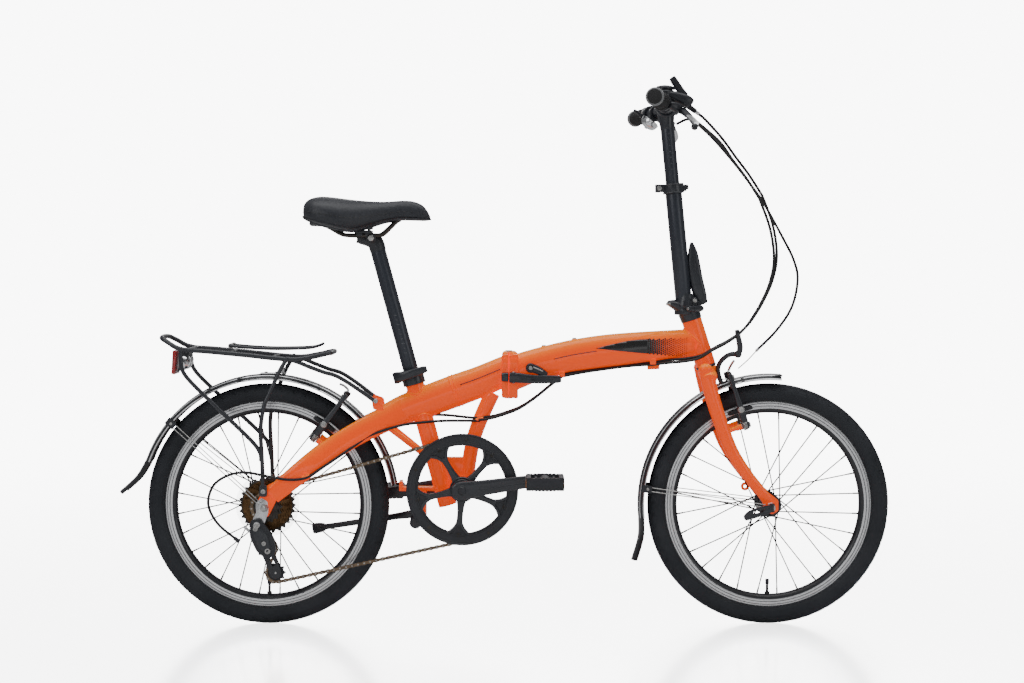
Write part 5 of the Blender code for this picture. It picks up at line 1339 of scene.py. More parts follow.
def rear_frame():
    """The rear half: main tube, seat tube, bottom bracket shell, stays, dropouts and weld beads."""
    seat_foot = SEAT_TUBE_TOP - SEAT * SEAT_TUBE_LENGTH
    build = Build("orange")
    tube_shape = loft(smooth(REAR_TUBE, 6), 40, LEFT, 0.85)
    build.add(tube_shape)
    hinge_plate(build, -0.0048, HINGE_X - 0.0005)
    for low, high, middle in ((0.466, 0.4925, 0.4805), (0.5345, 0.561, 0.5465)):
        build.add(ring(Vector((HINGE_X, HINGE_PIN.y, 0)), UP, 0.0043, 0.0105, low, high, 36, 0.001))
        build.add(block((0.0022, 0.036, middle), (0.0134, 0.014, 0.0205)))
    build.add(ring(SEAT_TUBE_TOP, SEAT, SEATPOST_RADIUS + 0.0004, 0.019, -SEAT_TUBE_LENGTH, 0.0, 48, 0.0006))
    build.add(ring(BRACKET, LEFT, 0.0175, 0.0208, -0.034, 0.034, 48, 0.0008))
    build.add(loft(smooth(DOWN_TUBE, 5), 32))
    gusset = rounded([(-0.14, 0.345), (-0.064, 0.345), (-0.07, 0.29), (-0.126, 0.262)], 0.006)
    build.add(slab(gusset, -0.011, 0.011))
    build.add(block((-0.165, 0, 0.28), (0.1, 0.026, 0.008)))
    build.add(block((-0.2125, 0, 0.2865), (0.007, 0.03, 0.02)))
    build.add(block((-0.172, 0.01, 0.25), (0.022, 0.044, 0.056)))
    sleeve = Vector((-0.1, 0, 0.4825))
    tangent = (Vector((-0.052, 0, 0.5)) - Vector((-0.15, 0, 0.464))).normalized()
    for shift in (-0.0035, 0.0035):
        band = [(*(sleeve + tangent * (shift + d)), 0.0236 + g, 0.034 + g) for d,
                g in ((-0.0022, -0.0008), (-0.0012, 0.0006), (0.0012, 0.0006), (0.0022, -0.0008))]
        build.add(loft(band, 40, LEFT, 0.85))
    main_tube = tree_of(tube_shape)
    weld_bead(build, main_tube, seat_foot + SEAT * 0.05, SEAT, 0.0188, 0.0188)
    weld_bead(build, main_tube, SEAT_TUBE_TOP + SEAT * 0.02, -SEAT, 0.0188, 0.0188)
    weld_bead(build, main_tube, (-0.052, 0, 0.415), Vector((0.0265, 0, 0.058)), 0.0165, 0.016)
    weld_bead(build, tree_of(lathe([(0.0208, -0.034), (0.0208, 0.034)], BRACKET, LEFT, 64, False)),
              (-0.069, 0, 0.355), Vector((-0.012, 0, -0.074)), 0.016, 0.0152)
    for side in SIDES.values():
        rear_side(build, side)
    frame_fittings(build)
    build.done("rear_frame_tubes", "rear_frame_assembly", "orange_paint", ("rear_frame",), bevel=0.0006)


def rear_side(build, side):
    """One chain stay with its strut, dropout, brake boss and rack bolt; the right one has the hanger."""
    build.add(loft(smooth(on_side(STAY, side), 5), 28, LEFT, 0.8))
    strut = [(-0.232, 0.026, 0.405), (-0.19, 0.018, 0.372), (-0.148, 0.008, 0.338)]
    build.add(tube(on_side(strut, side), 0.0058, 20, 4))
    inner, outer = sorted((0.0655 * side, 0.0705 * side))
    outline = [(-0.466, 0.302), (-0.463, 0.262), (-0.478, 0.232), (-0.49, 0.226), (-0.5, 0.24),
               (-0.5, 0.262), (-0.488, 0.29)]
    build.add(slab(rounded(outline, 0.003), inner, outer))
    if side < 0:
        hanger = [(-0.48, 0.262), (-0.478, 0.24), (-0.486, 0.218), (-0.5, 0.2), (-0.512, 0.203),
                  (-0.511, 0.224), (-0.503, 0.24), (-0.504, 0.258), (-0.492, 0.27)]
        build.add(slab(rounded(hanger, 0.003), inner - 0.0016, outer), "alloy")
    boss = mirrored(REAR_BOSS, side)
    brake_boss(build, boss, brake_axis("rear"), Vector((-0.366, 0.049 * side, 0.362)))
    bolt = Vector((-0.457, outer if side > 0 else inner, 0.279))
    build.add(cyl(bolt, bolt + LEFT * side * 0.003, 0.0042, 24), "steel")


def frame_fittings(build):
    """Cable stops, the kickstand's barrel and bracket, and the rack's front bolts."""
    for at in ((-0.268, -0.035, 0.4), (-0.401, -0.0765, 0.312), (-0.05, -0.0165, 0.424)):
        cable_clip(build, at)
    build.add(cyl(KICKSTAND_PIVOT + KICKSTAND_AXIS * 0.009, KICKSTAND_PIVOT + KICKSTAND_AXIS * 0.045,
                  0.0115), "satin_black")
    for k in range(7):
        at = KICKSTAND_PIVOT + KICKSTAND_AXIS * (0.012 + 0.0045 * k)
        build.add(ring(at, KICKSTAND_AXIS, 0.011, 0.0124, 0.0, 0.0024, 36), "satin_black")
    build.add(socket_bolt((-0.178, -0.0125, 0.274), -LEFT, 0.0062, 0.0045), "steel")
    build.add(cyl((-0.178, -0.0098, 0.274), (-0.178, -0.0128, 0.274), 0.008, 28), "steel")
    for side in SIDES.values():
        at = Vector((-0.262, 0.0355 * side, 0.464))
        build.add(slab(rounded([(-0.272, 0.474), (-0.25, 0.466), (-0.246, 0.444), (-0.268, 0.446)], 0.004),
                       *sorted((side * 0.0285, side * 0.032))), "orange")
        build.add(socket_bolt(at + LEFT * side * 0.004, LEFT * side, 0.005, 0.0036), "steel")


def hinge_latch():
    """The frame latch: a shaped lever with its draw hook and adjusting bolt."""
    rows = [(0.0105, -0.0385, 0.5125, 0.0094, 0.0064), (0.0205, -0.0385, 0.512, 0.0098, 0.0066),
            (0.03, -0.0382, 0.5115, 0.0104, 0.0068), (0.045, -0.0362, 0.5098, 0.0094, 0.0056),
            (0.07, -0.034, 0.508, 0.0088, 0.0046), (0.095, -0.033, 0.508, 0.0084, 0.0044),
            (0.112, -0.0335, 0.508, 0.0074, 0.004), (0.1175, -0.0338, 0.508, 0.005, 0.003)]
    arm = Build().add(loft(smooth(rows, 4), 28, UP, 0.6))
    groove = [(0.055, -0.0405, 0.509, 0.003, 0.003), (0.1, -0.0385, 0.508, 0.0026, 0.0022)]
    arm.done("frame_latch_arm", "frame_latch_assembly", "black_paint", bevel=0.0005,
             cuts=[loft(groove, 12, UP, 0.8)])
    build = Build()
    build.add(cyl((0.019, -0.037, 0.5015), (0.019, -0.037, 0.5225), 0.0079, 32, 0.001), "cast_black")
    build.add(cyl((0.019, -0.037, 0.5), (0.019, -0.037, 0.524), 0.0034, 24), "steel")
    build.done("frame_latch_hub", "frame_latch_assembly", "black_paint", ("frame_hinge_lever",))
    hook = Build()
    knob = Vector((0.0545, -0.024, 0.531))
    hook.add(cyl(knob, knob - LEFT * 0.011, 0.01, 40, 0.0016), "cast_black")
    hook.add(ring(knob, -LEFT, 0.0052, 0.0078, 0.0108, 0.012, 36, 0.0003), "smooth_plastic")
    hook.add(socket_bolt(knob - LEFT * 0.0105, -LEFT, 0.004, 0.0026), "steel")
    draw = [(0.056, -0.03, 0.5315, 0.005, 0.009), (0.068, -0.03, 0.527, 0.0052, 0.0086),
            (0.079, -0.03, 0.5215, 0.005, 0.0072), (0.0875, -0.03, 0.517, 0.0042, 0.005)]
    hook.add(loft(smooth(draw, 4), 28, LEFT, 0.7, dome=0.0012), "cast_black")
    hook.add(cyl((0.06, -0.0352, 0.533), (0.08, -0.0352, 0.5245), 0.0016, 16), "steel")
    hook.done("frame_latch_hook", "front_frame_assembly", "black_paint", bevel=0.0004)


def latch_catch():
    """The black end block that the latch lever lies against, fixed to the rear half."""
    build = Build()
    rows = [(-0.004, -0.033, 0.5128, 0.0088, 0.008), (0.002, -0.0335, 0.5128, 0.0094, 0.0088),
            (0.0088, -0.0338, 0.5126, 0.0094, 0.0088)]
    build.add(loft(smooth(rows, 3), 28, UP, 0.5, dome=0.001))
    build.done("frame_latch_catch", "rear_frame_assembly", "black_paint", bevel=0.0004)


def front_frame():
    """The front half: main tube, head tube, hinge face, bottle bosses and cable guide."""
    build = Build("orange")
    build.add(loft(smooth(FRONT_TUBE, 6), 40, LEFT, 0.85))
    hinge_plate(build, HINGE_X + 0.0005, 0.029)
    build.add(ring(Vector((HINGE_X, HINGE_PIN.y, 0)), UP, 0.0043, 0.0105, 0.4932, 0.5338, 36, 0.001))
    build.add(block((0.019, 0.036, 0.5135), (0.016, 0.014, 0.04)))
    build.add(ring(HEAD_TOP, STEER, 0.0168, 0.0206, -HEAD_LENGTH, 0.0, 56, 0.001))
    head = tree_of(lathe([(0.0206, -HEAD_LENGTH), (0.0206, 0.0)], HEAD_TOP, STEER, 64, False))
    weld_bead(build, head, (0.33, 0, 0.5765), Vector((0.092, 0, 0.0075)), 0.0206, 0.0296)
    plates = tree_of(slab([(0.0, 0.46), (0.029, 0.46), (0.029, 0.57), (0.0, 0.57)], -0.05, 0.05))
    weld_bead(build, plates, (0.06, 0, 0.5335), Vector((-0.036, 0, -0.013)), 0.024, 0.0335)
    for x, z in ((0.082, 0.571), (0.145, 0.586)):
        build.add(cyl((x, 0, z - 0.012), (x, 0, z + 0.0035), 0.0062, 28, 0.0015))
        build.add(socket_bolt((x, 0, z + 0.003), UP, 0.0042, 0.0028), "steel")
    build.add(block((0.308, 0, 0.5385), (0.022, 0.014, 0.013)))
    build.add(cyl((0.296, -0.004, 0.5305), (0.32, -0.004, 0.5315), 0.0045, 24))
    build.add(cyl((0.296, 0.005, 0.5305), (0.32, 0.005, 0.5315), 0.0045, 24))
    build.add(ring(HEAD_TOP, STEER, 0.015, 0.0212, -HEAD_LENGTH - 0.0052, -HEAD_LENGTH - 0.0004, 56, 0.0012),
              "satin_black")
    build.add(ring(HEAD_TOP, STEER, 0.0172, 0.0212, -0.0012, 0.0024, 56, 0.0008), "satin_black")
    build.done("front_frame_tube", "front_frame_assembly", "orange_paint", ("front_frame",), bevel=0.0006)


def fork():
    """The fork: steerer, crown, two curved blades with their dropouts and brake bosses."""
    crown = FORK_CROWN
    build = Build("orange")
    build.add(cyl(crown, HEAD_TOP + STEER * 0.004, 0.0143, 32), "steel")
    build.add(lathe([(0, -0.01), (0.0186, -0.01), (0.0202, -0.007), (0.0205, 0.006), (0.0196, 0.0098),
                     (0, 0.0098)], crown, STEER, 48))
    half_bridge = [(0.06, 0.01, 0.0138, 0.0112), (0.052, 0.006, 0.0155, 0.0128),
                   (0.04, 0.003, 0.0163, 0.0136)]
    bridge = [(crown.x - 0.002, -y, crown.z - drop, w, h) for y, drop, w, h in half_bridge]
    bridge.append((crown.x - 0.002, 0.0, crown.z - 0.001, 0.0166, 0.0138))
    bridge += [(crown.x - 0.002, y, crown.z - drop, w, h) for y, drop, w, h in reversed(half_bridge)]
    build.add(loft(smooth(bridge, 3), 32, FORWARD))
    for side in SIDES.values():
        blade = loft(smooth(on_side(BLADE, side), 5), 28)
        build.add(blade)
        build.add(ball((BLADE[0][0] - 0.0015, side * 0.0505, BLADE[0][2] + 0.002), 0.0148, 28,
                       (1.0, 0.82, 0.9)))
        inner, outer = sorted((0.05 * side, 0.054 * side))
        build.add(slab(rounded([(0.524, 0.284), (0.54, 0.278), (0.56, 0.262), (0.56, 0.24), (0.547, 0.233),
                                (0.533, 0.24), (0.526, 0.262)], 0.004), inner, outer))
        boss = mirrored(FRONT_BOSS, side)
        brake_boss(build, boss, AHEAD_OF_STEER, Vector((0.446, 0.05 * side, 0.4)))
    build.add(ring((0.5045, 0.0, 0.278), LEFT, 0.0032, 0.0088, 0.05, 0.054, 36))
    build.done("fork_blades", "fork_assembly", "orange_paint", ("fork",), bevel=0.0006)


def brake_pad(build, hub, reach, side):
    """A rubber pad in its shoe, curved to the rim, on a threaded stud with domed washers and a nut."""
    out = LEFT * side
    build.add(cyl((reach.x, side * 0.02, reach.z), (reach.x, side * 0.0475, reach.z), 0.003, 20), "steel")
    for y, r in ((0.028, 0.0062), (0.031, 0.007), (0.0452, 0.0066)):
        build.add(cyl((reach.x, side * y, reach.z), (reach.x, side * (y + 0.0024), reach.z), r, 28, 0.001),
                  "steel")
    build.add(hex_nut((reach.x, side * 0.0474, reach.z), out, 0.009, 0.0042), "steel")
    radial = (Vector((reach.x, 0, reach.z)) - hub).normalized()
    centre = hub + radial * 0.2035
    tangent = Vector((-radial.z, 0, radial.x))
    pad_rows = []
    for k in range(9):
        t = -0.0255 + 0.051 * k / 8
        at = centre + tangent * t - radial * (t * t / 0.41)
        slim = 1.0 - 0.35 * abs(t / 0.0255) ** 4
        pad_rows.append((*(at + out * 0.0166), 0.0031, 0.0048 * slim))
    build.add(loft(pad_rows, 20, LEFT, 0.5), "grip")
    shoe_rows = [(x + out.x * 0.005, y + out.y * 0.0052, z, 0.0024, h * 0.92) for x, y, z, _, h in pad_rows]
    build.add(loft(shoe_rows, 20, LEFT, 0.5), "plastic")


def brake_arm(end, name, side):
    """A linear-pull arm: its pivot, shaped bar, pad, return spring and cable bolt."""
    boss = mirrored(FRONT_BOSS if end == "front" else REAR_BOSS, side)
    axis = brake_axis(end)
    up = STEER if end == "front" else REAR_BRAKE_UP
    out = LEFT * side
    start = boss + axis * 0.0004
    middle = start + axis * 0.0065
    build = Build()
    build.add(cyl(start, start + axis * 0.013, 0.0083, 36, 0.0012), "cast_black")
    build.add(socket_bolt(start + axis * 0.013, axis, 0.0058, 0.0034), "steel")
    rows = [(*(middle + up * t + out * o), w, h) for t, o, w,
            h in ((-0.002, 0.0, 0.0046, 0.0062), (0.015, 0.003, 0.0043, 0.0072),
                  (0.035, 0.0045, 0.0042, 0.0068), (0.06, 0.0042, 0.0037, 0.0054),
                  (0.085, 0.0026, 0.0035, 0.0048), (0.104, 0.0012, 0.0036, 0.0052),
                  (BRAKE_ARM_LENGTH, 0.001, 0.0032, 0.004))]
    build.add(loft(smooth(rows, 4), 24, LEFT, 0.7))
    brake_pad(build, FRONT_HUB if end == "front" else REAR_HUB, middle + up * 0.034, side)
    spring = [tuple(start + axis * 0.001 - out * 0.0065 + up * 0.002),
              tuple(start + axis * 0.0005 - out * 0.004 + up * 0.03),
              tuple(middle + up * 0.062 - out * 0.001), tuple(middle + up * 0.08 + out * 0.001)]
    build.add(tube(spring, 0.0008, 8, 5), "steel")
    for k in range(4):
        build.add(ring(start, axis, 0.0086, 0.0098, 0.0008 + 0.0022 * k, 0.0024 + 0.0022 * k, 28), "steel")
    build.add(socket_bolt(middle + up * 0.103 + axis * 0.0045, axis, 0.0038, 0.003), "steel")
    build.done(f"{end}_{name}_brake_lever_arm", f"{end}_{name}_brake_assembly", "black_paint",
               (f"{end}_{name}_brake_arm",), bevel=0.0004)


def brake_links(end):
    """The bent guide tube, its rubber boot and the bare wire between the two arms."""
    axis = brake_axis(end)
    base = FRONT_BOSS if end == "front" else REAR_BOSS
    up = STEER if end == "front" else REAR_BRAKE_UP
    middle = Vector((base.x, 0, base.z)) + axis * 0.011
    top = middle + up * (BRAKE_ARM_LENGTH - 0.004)
    build = Build()
    boot = lathe([(0, 0), (0.0042, 0), (0.005, 0.004), (0.0034, 0.0065), (0.0046, 0.009), (0.0032, 0.0115),
                  (0.0042, 0.014), (0.0028, 0.0165), (0.0036, 0.019), (0.0022, 0.024), (0, 0.024)],
                 top + LEFT * 0.018, -LEFT, 24)
    build.add(boot, "grip")
    build.add(tube([top + LEFT * 0.037, top - LEFT * 0.04], 0.0008, 8), "cable_steel")
    bend = [tuple(top + LEFT * 0.018), tuple(top + LEFT * 0.03),
            tuple(top + LEFT * 0.036 + up * 0.006 + axis * 0.003),
            tuple(top + LEFT * 0.033 + up * 0.016 + axis * 0.012),
            tuple(top + LEFT * 0.024 + up * 0.022 + axis * 0.018)]
    if end == "rear":
        bend = bend[:2] + [tuple(top + LEFT * 0.037 + up * 0.006 + axis * 0.001),
                           tuple(top + LEFT * 0.036 + up * 0.008 + axis * 0.012),
                           tuple(top + LEFT * 0.033 + up * 0.006 + axis * 0.022)]
    build.add(tube(bend, 0.0027, 16, 6), "alloy")
    body = "fork_assembly" if end == "front" else "rear_frame_assembly"
    build.done(end + "_brake_link", body, "polished_metal")


# ---------------------------------------------------------------- seat

VOXEL = 0.0042
CLOTH_FRAMES = 20
CLOTH_PRESSURE = 4.0
MOST_SWELL = 0.0016
COVER_EDGE = 0.36      # how far up the saddle its widest line lies
SADDLE = [  # x, half width, top z, bottom z
    (-0.4113, 0.014, 0.856, 0.843), (-0.41, 0.032, 0.863, 0.8385), (-0.4062, 0.05, 0.8705, 0.834),
    (-0.396, 0.066, 0.8775, 0.8285), (-0.378, 0.0755, 0.8808, 0.822), (-0.352, 0.078, 0.8795, 0.8155),
    (-0.328, 0.0725, 0.8765, 0.8108), (-0.304, 0.061, 0.8738, 0.8105), (-0.276, 0.046, 0.8718, 0.818),
    (-0.245, 0.033, 0.871, 0.828), (-0.212, 0.025, 0.8722, 0.8338), (-0.19, 0.0228, 0.8715, 0.8338),
    (-0.1735, 0.0205, 0.868, 0.8334), (-0.163, 0.0178, 0.8615, 0.833), (-0.155, 0.014, 0.851, 0.8326),
    (-0.1505, 0.0092, 0.841, 0.8324), (-0.1488, 0.004, 0.8355, 0.8325)]


def saddle_shape():
    """The saddle's closed cover, with a shallow channel along its back."""
    rows = smooth(SADDLE, 5)
    sides = 48
    points, faces = [], []
    for x, half, top, low in rows:
        edge = low + (top - low) * COVER_EDGE
        for k in range(sides):
            turn = 2 * math.pi * (k + 0.5) / sides
            c, s = math.cos(turn), math.sin(turn)
            across = half * math.copysign(abs(c) ** 0.72, c)
            if s > 0:
                dip = 0.003 * math.exp(-(across / 0.01) ** 2) * min(1.0, max(0.0, (-0.21 - x) / 0.05))
                height = edge + (top - edge) * s ** 0.8 - dip * s
            else:
                height = edge + (low - edge) * abs(s) ** 0.55
            points.append(Vector((x, across, height)))
    count = len(rows)
    for i in range(count - 1):
        near, far = i * sides, (i + 1) * sides
        for k in range(sides):
            m = (k + 1) % sides
            faces.append((near + k, near + m, far + m, far + k))
    faces.append(tuple(range(sides)))
    faces.append(tuple(range((count - 1) * sides, count * sides)))
    return points, faces


def puffed(obj, most):
    """Blows the cover up a little like stuffed cloth, no point farther than most from where it was."""
    remesh = obj.modifiers.new("even", "REMESH")
    remesh.mode = "VOXEL"
    remesh.voxel_size = VOXEL
    bake(obj)
    start = [v.co.copy() for v in obj.data.vertices]
    cloth = obj.modifiers.new("stuffing", "CLOTH")
    cloth.settings.quality = 6
    cloth.settings.use_pressure = True
    cloth.settings.uniform_pressure_force = CLOTH_PRESSURE
    cloth.settings.effector_weights.gravity = 0.0
    cloth.settings.tension_stiffness = 18.0
    cloth.settings.compression_stiffness = 18.0
    cloth.settings.bending_stiffness = 1.5
    cloth.collision_settings.use_self_collision = False
    for step in range(1, CLOTH_FRAMES + 1):
        bpy.context.scene.frame_set(step)
    bake(obj)
    bpy.context.scene.frame_set(1)
    for vert, before in zip(obj.data.vertices, start):
        shift = vert.co - before
        if shift.length > most:
            vert.co = before + shift.normalized() * most
    finer = obj.modifiers.new("finer", "SUBSURF")
    finer.levels = finer.render_levels = 1
    bake(obj)


def saddle():
    """The stuffed cover, its stitched seam and edge trim, and the pan beneath."""
    cover = Build().add(saddle_shape(), "saddle").done("saddle_cover", "", "saddle_cover", sharp=180)
    puffed(cover, MOST_SWELL)
    shade(cover.data, 180)
    cover.data.materials.clear()
    cover.data.materials.append(M["saddle"])
    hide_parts("saddle")
    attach(cover, "seatpost_assembly")
    trim = Build()
    for side in SIDES.values():
        seam, edge_line = [], []
        for x, half, top, low in smooth(SADDLE[1:-1], 5):
            edge = low + (top - low) * COVER_EDGE
            seam.append((x, side * (half * 0.985 + 0.0008), edge + (top - edge) * 0.1, 0.0007, 0.0007))
            edge_line.append((x, side * (half * 0.92), low + 0.0022, 0.0016, 0.0013))
        trim.add(loft(edge_line, 10), "smooth_plastic")
        for a, b in zip(seam[::2], seam[1::2]):
            trim.add(loft([(*a[:3], 0.0006, 0.0006), (*b[:3], 0.0006, 0.0006)], 6), "thread")
    pan = [(-0.395, 0.05, 0.005), (-0.35, 0.058, 0.0065), (-0.3, 0.044, 0.006), (-0.255, 0.024, 0.005),
           (-0.215, 0.014, 0.004)]
    trim.add(loft(smooth([(x, 0.0, 0.826 + (0.0 if x < -0.3 else (x + 0.3) * 0.1), w, h) for x, w, h in pan],
                         4), 28), "plastic")
    trim.done("saddle_trim", "seatpost_assembly", "black_plastic")


def seatpost():
    """The post with its height marks and its clamp head."""
    foot = SEAT_TUBE_TOP - SEAT * 0.11
    head = SEAT_TUBE_TOP + SEAT * 0.277
    top = head + Vector((-0.01, 0, 0.0165))
    build = Build("cast_black")
    build.add(cyl(foot, head + SEAT * 0.004, SEATPOST_RADIUS, 48, 0.0008), "anthracite")
    neck = [(*(head - SEAT * 0.01), 0.0164, 0.0164), (*(head + SEAT * 0.002), 0.0166, 0.017),
            (*(head + SEAT * 0.01 + Vector((-0.004, 0, 0))), 0.0172, 0.0172),
            (*(top + Vector((-0.01, 0, -0.005))), 0.0178, 0.012),
            (*(top + Vector((-0.026, 0, -0.004))), 0.016, 0.008)]
    build.add(loft(smooth(neck, 4), 32))
    build.add(cyl(top + LEFT * -0.0265, top + LEFT * 0.0265, 0.0104, 40, 0.0015))
    build.add(block(top + Vector((-0.016, 0, 0.001)), (0.028, 0.033, 0.017)))
    build.add(block(top + Vector((-0.0165, 0, 0.0125)), (0.034, 0.056, 0.006)))
    build.add(block(top + Vector((-0.0165, 0, 0.0225)), (0.034, 0.056, 0.009)))
    for x in (-0.0275, -0.0055):
        build.add(cyl(top + Vector((x, 0, -0.006)), top + Vector((x, 0, 0.0205)), 0.0034, 20), "steel")
        build.add(socket_bolt(top + Vector((x, 0, -0.006)), -UP, 0.0048, 0.0044), "dark_steel")
    for side in SIDES.values():
        for x in (-0.024, -0.006):
            build.add(block(top + Vector((x, side * 0.0215, 0.0075)), (0.012, 0.01, 0.007)), "satin_black")
        build.add(hex_nut(top + LEFT * side * 0.0262, LEFT * side, 0.0118, 0.005), "steel")
        for k in range(9):
            a = math.radians(-60 + 40 * k)
            build.add(cyl(top + Vector((0.0092 * math.cos(a), side * 0.0258, 0.0092 * math.sin(a))),
                          top + Vector((0.0092 * math.cos(a), side * 0.0272, 0.0092 * math.sin(a))), 0.001,
                          8, 0.0002), "dark_steel")
    for k in range(9):
        at = SEAT_TUBE_TOP + SEAT * (0.05 + 0.01 * k)
        mark = at - LEFT * SEATPOST_RADIUS * 0.985
        build.add(block(mark, (0.004 if k % 2 else 0.0065, 0.0006, 0.0005), FORWARD, LEFT), "grey")
    build.done("seatpost_tube", "seatpost_assembly", "black_paint", ("seatpost",), bevel=0.0006)
    saddle_rails(top.z + 0.0055)


def saddle_rails(z):
    """The saddle's two rails, level where the clamp holds them."""
    rails = Build("dark_steel")
    for side in SIDES.values():
        y = 0.0215 * side
        path = [(-0.214, 0.004 * side, 0.8345), (-0.222, 0.008 * side, 0.83), (-0.238, 0.014 * side, 0.8145),
                (-0.252, y * 0.92, z + 0.001), (-0.27, y, z), (-0.318, y, z), (-0.333, y * 1.08, z + 0.003),
                (-0.35, y * 1.25, 0.815), (-0.366, y * 1.35, 0.8235)]
        rails.add(tube(path, 0.0044, 18, 5))
    rails.done("saddle_rail_pair", "seatpost_assembly", "dark_steel", ("saddle_rails",))


def seat_clamp():
    """The seat tube's split collar and its cam lever."""
    ears = SEAT_TUBE_TOP - FORWARD * 0.029 + SEAT * -0.004
    build = Build()
    build.add(ring(SEAT_TUBE_TOP, SEAT, 0.0193, 0.0232, -0.018, 0.0, 56, 0.001))
    build.add(ring(SEAT_TUBE_TOP, SEAT, 0.0193, 0.0238, -0.0035, 0.0004, 56, 0.0008))
    for side in SIDES.values():
        build.add(block(ears + LEFT * side * 0.0062, (0.016, 0.007, 0.016)))
    build.add(cyl(ears + LEFT * -0.0175 + FORWARD * -0.003, ears + LEFT * 0.015 + FORWARD * -0.003, 0.0026,
                  20), "steel")
    build.add(hex_nut(ears + LEFT * 0.01 + FORWARD * -0.003, LEFT, 0.01, 0.005), "steel")
    build.done("seat_clamp_band", "rear_frame_assembly", "black_paint", ("seat_clamp_collar",), bevel=0.0006)
    hold = ears + FORWARD * -0.003 + LEFT * -0.0185
    rows = about(hold, [(-0.002, -0.002, 0.002, 0.0105, 0.006), (0.012, -0.0105, 0.005, 0.01, 0.0075),
                        (0.034, -0.014, 0.012, 0.0086, 0.0066), (0.052, -0.0127, 0.0175, 0.0078, 0.006),
                        (0.062, -0.0115, 0.0205, 0.0058, 0.0046)])
    lever = Build().add(loft(smooth(rows, 4), 24, UP, 0.6))
    lever.add(cyl(hold - SEAT * 0.0105, hold + SEAT * 0.0125, 0.0072, 32, 0.0012), "cast_black")
    lever.add(cyl(hold - SEAT * 0.0112, hold + SEAT * 0.0132, 0.003, 24), "steel")
    lever.done("seat_clamp_handle", "seat_lever_assembly", "black_paint", ("seat_clamp_lever",))


# ---------------------------------------------------------------- guards, rack and fittings


def guard(hub, start, stop, flap):
    """A curved mudguard with rolled bright edges, a raised spine and a flared flap."""
    steps = 72
    section = []
    for k in range(17):
        u = -1.0 + k / 8
        drop = 0.035 * u * u * (0.55 + 0.45 * u * u)
        spine = 0.0035 * math.exp(-(u / 0.16) ** 2)
        section.append((u, 1.0 - drop + spine))
    rings, edges = [], {1: [], -1: []}

    def row(middle, direction, swell):
        outer = [middle + direction * (MUDGUARD_RADIUS * v - 0.0006) + LEFT * (u * swell * 0.0262) for u,
                 v in section]
        inner = [middle + direction * (MUDGUARD_RADIUS * v - 0.0018) + LEFT * (u * swell * 0.0254) for u,
                 v in reversed(section)]
        rings.append(outer + inner)
        for side in SIDES.values():
            at = middle + direction * (MUDGUARD_RADIUS * 0.965 - 0.001) + LEFT * (side * swell * 0.026)
            edges[side].append(at)

    for k in range(steps + 1):
        angle = start + (stop - start) * k / steps
        row(hub, Vector((math.cos(angle), 0, math.sin(angle))), 1.0)
    last = Vector((math.cos(stop), 0, math.sin(stop)))
    tangent = Vector((-math.sin(stop), 0, math.cos(stop)))
    flap_rows = smooth([(0.0, 0.0, 1.0), *flap], 6)[1:]
    solid_from = len(edges[1])
    for length, outward, swell in flap_rows:
        row(hub + tangent * length + last * outward, last, swell)
    count = len(rings[0])
    points = [p for group in rings for p in group]
    faces = []
    for i in range(len(rings) - 1):
        near, far = i * count, (i + 1) * count
        for k in range(count):
            m = (k + 1) % count
            faces.append((near + k, near + m, far + m, far + k))
    faces.append(tuple(range(count)))
    faces.append(tuple(range((len(rings) - 1) * count, len(rings) * count)))
    build = Build().add((points, faces), "guard_black")
    for side in SIDES.values():
        line = [(*p, 0.0017, 0.0017) for p in edges[side][:solid_from]]
        build.add(loft(line, 8, FORWARD), "chrome")
        upper = []
        for k in range(steps + 1):
            angle = start + (stop - start) * k / steps
            at = around(hub, MUDGUARD_RADIUS * 0.9875 - 0.0002, angle, side * 0.0186)
            upper.append((*at, 0.0011, 0.0011))
        build.add(loft(upper, 8, FORWARD), "chrome")
    return build


def stay_wires(build, clip_at, hub, clip_y, end_y, half_gap=0.004):
    """Two thin wires on each side from a clip on the mudguard to the axle."""
    for side in SIDES.values():
        a = Vector((clip_at.x, side * clip_y, clip_at.z))
        b = Vector((hub.x, side * end_y, hub.z))
        along = (b - a).normalized()
        over = Vector((-along.z, 0, along.x)).normalized()
        for way in (-1, 1):
            first = a + over * way * half_gap
            last = b - along * 0.012 + over * way * half_gap * 0.7
            build.add(tube([first, last], 0.0011, 10), "steel")
        build.add(ring(b, LEFT, 0.005, 0.0078, -0.0012, 0.0012, 28), "steel")
        build.add(block(a - along * 0.001, (0.02, 0.0062, 0.015), along, LEFT), "plastic")
        build.add(socket_bolt(a + LEFT * side * 0.003, LEFT * side, 0.003, 0.0018), "steel")


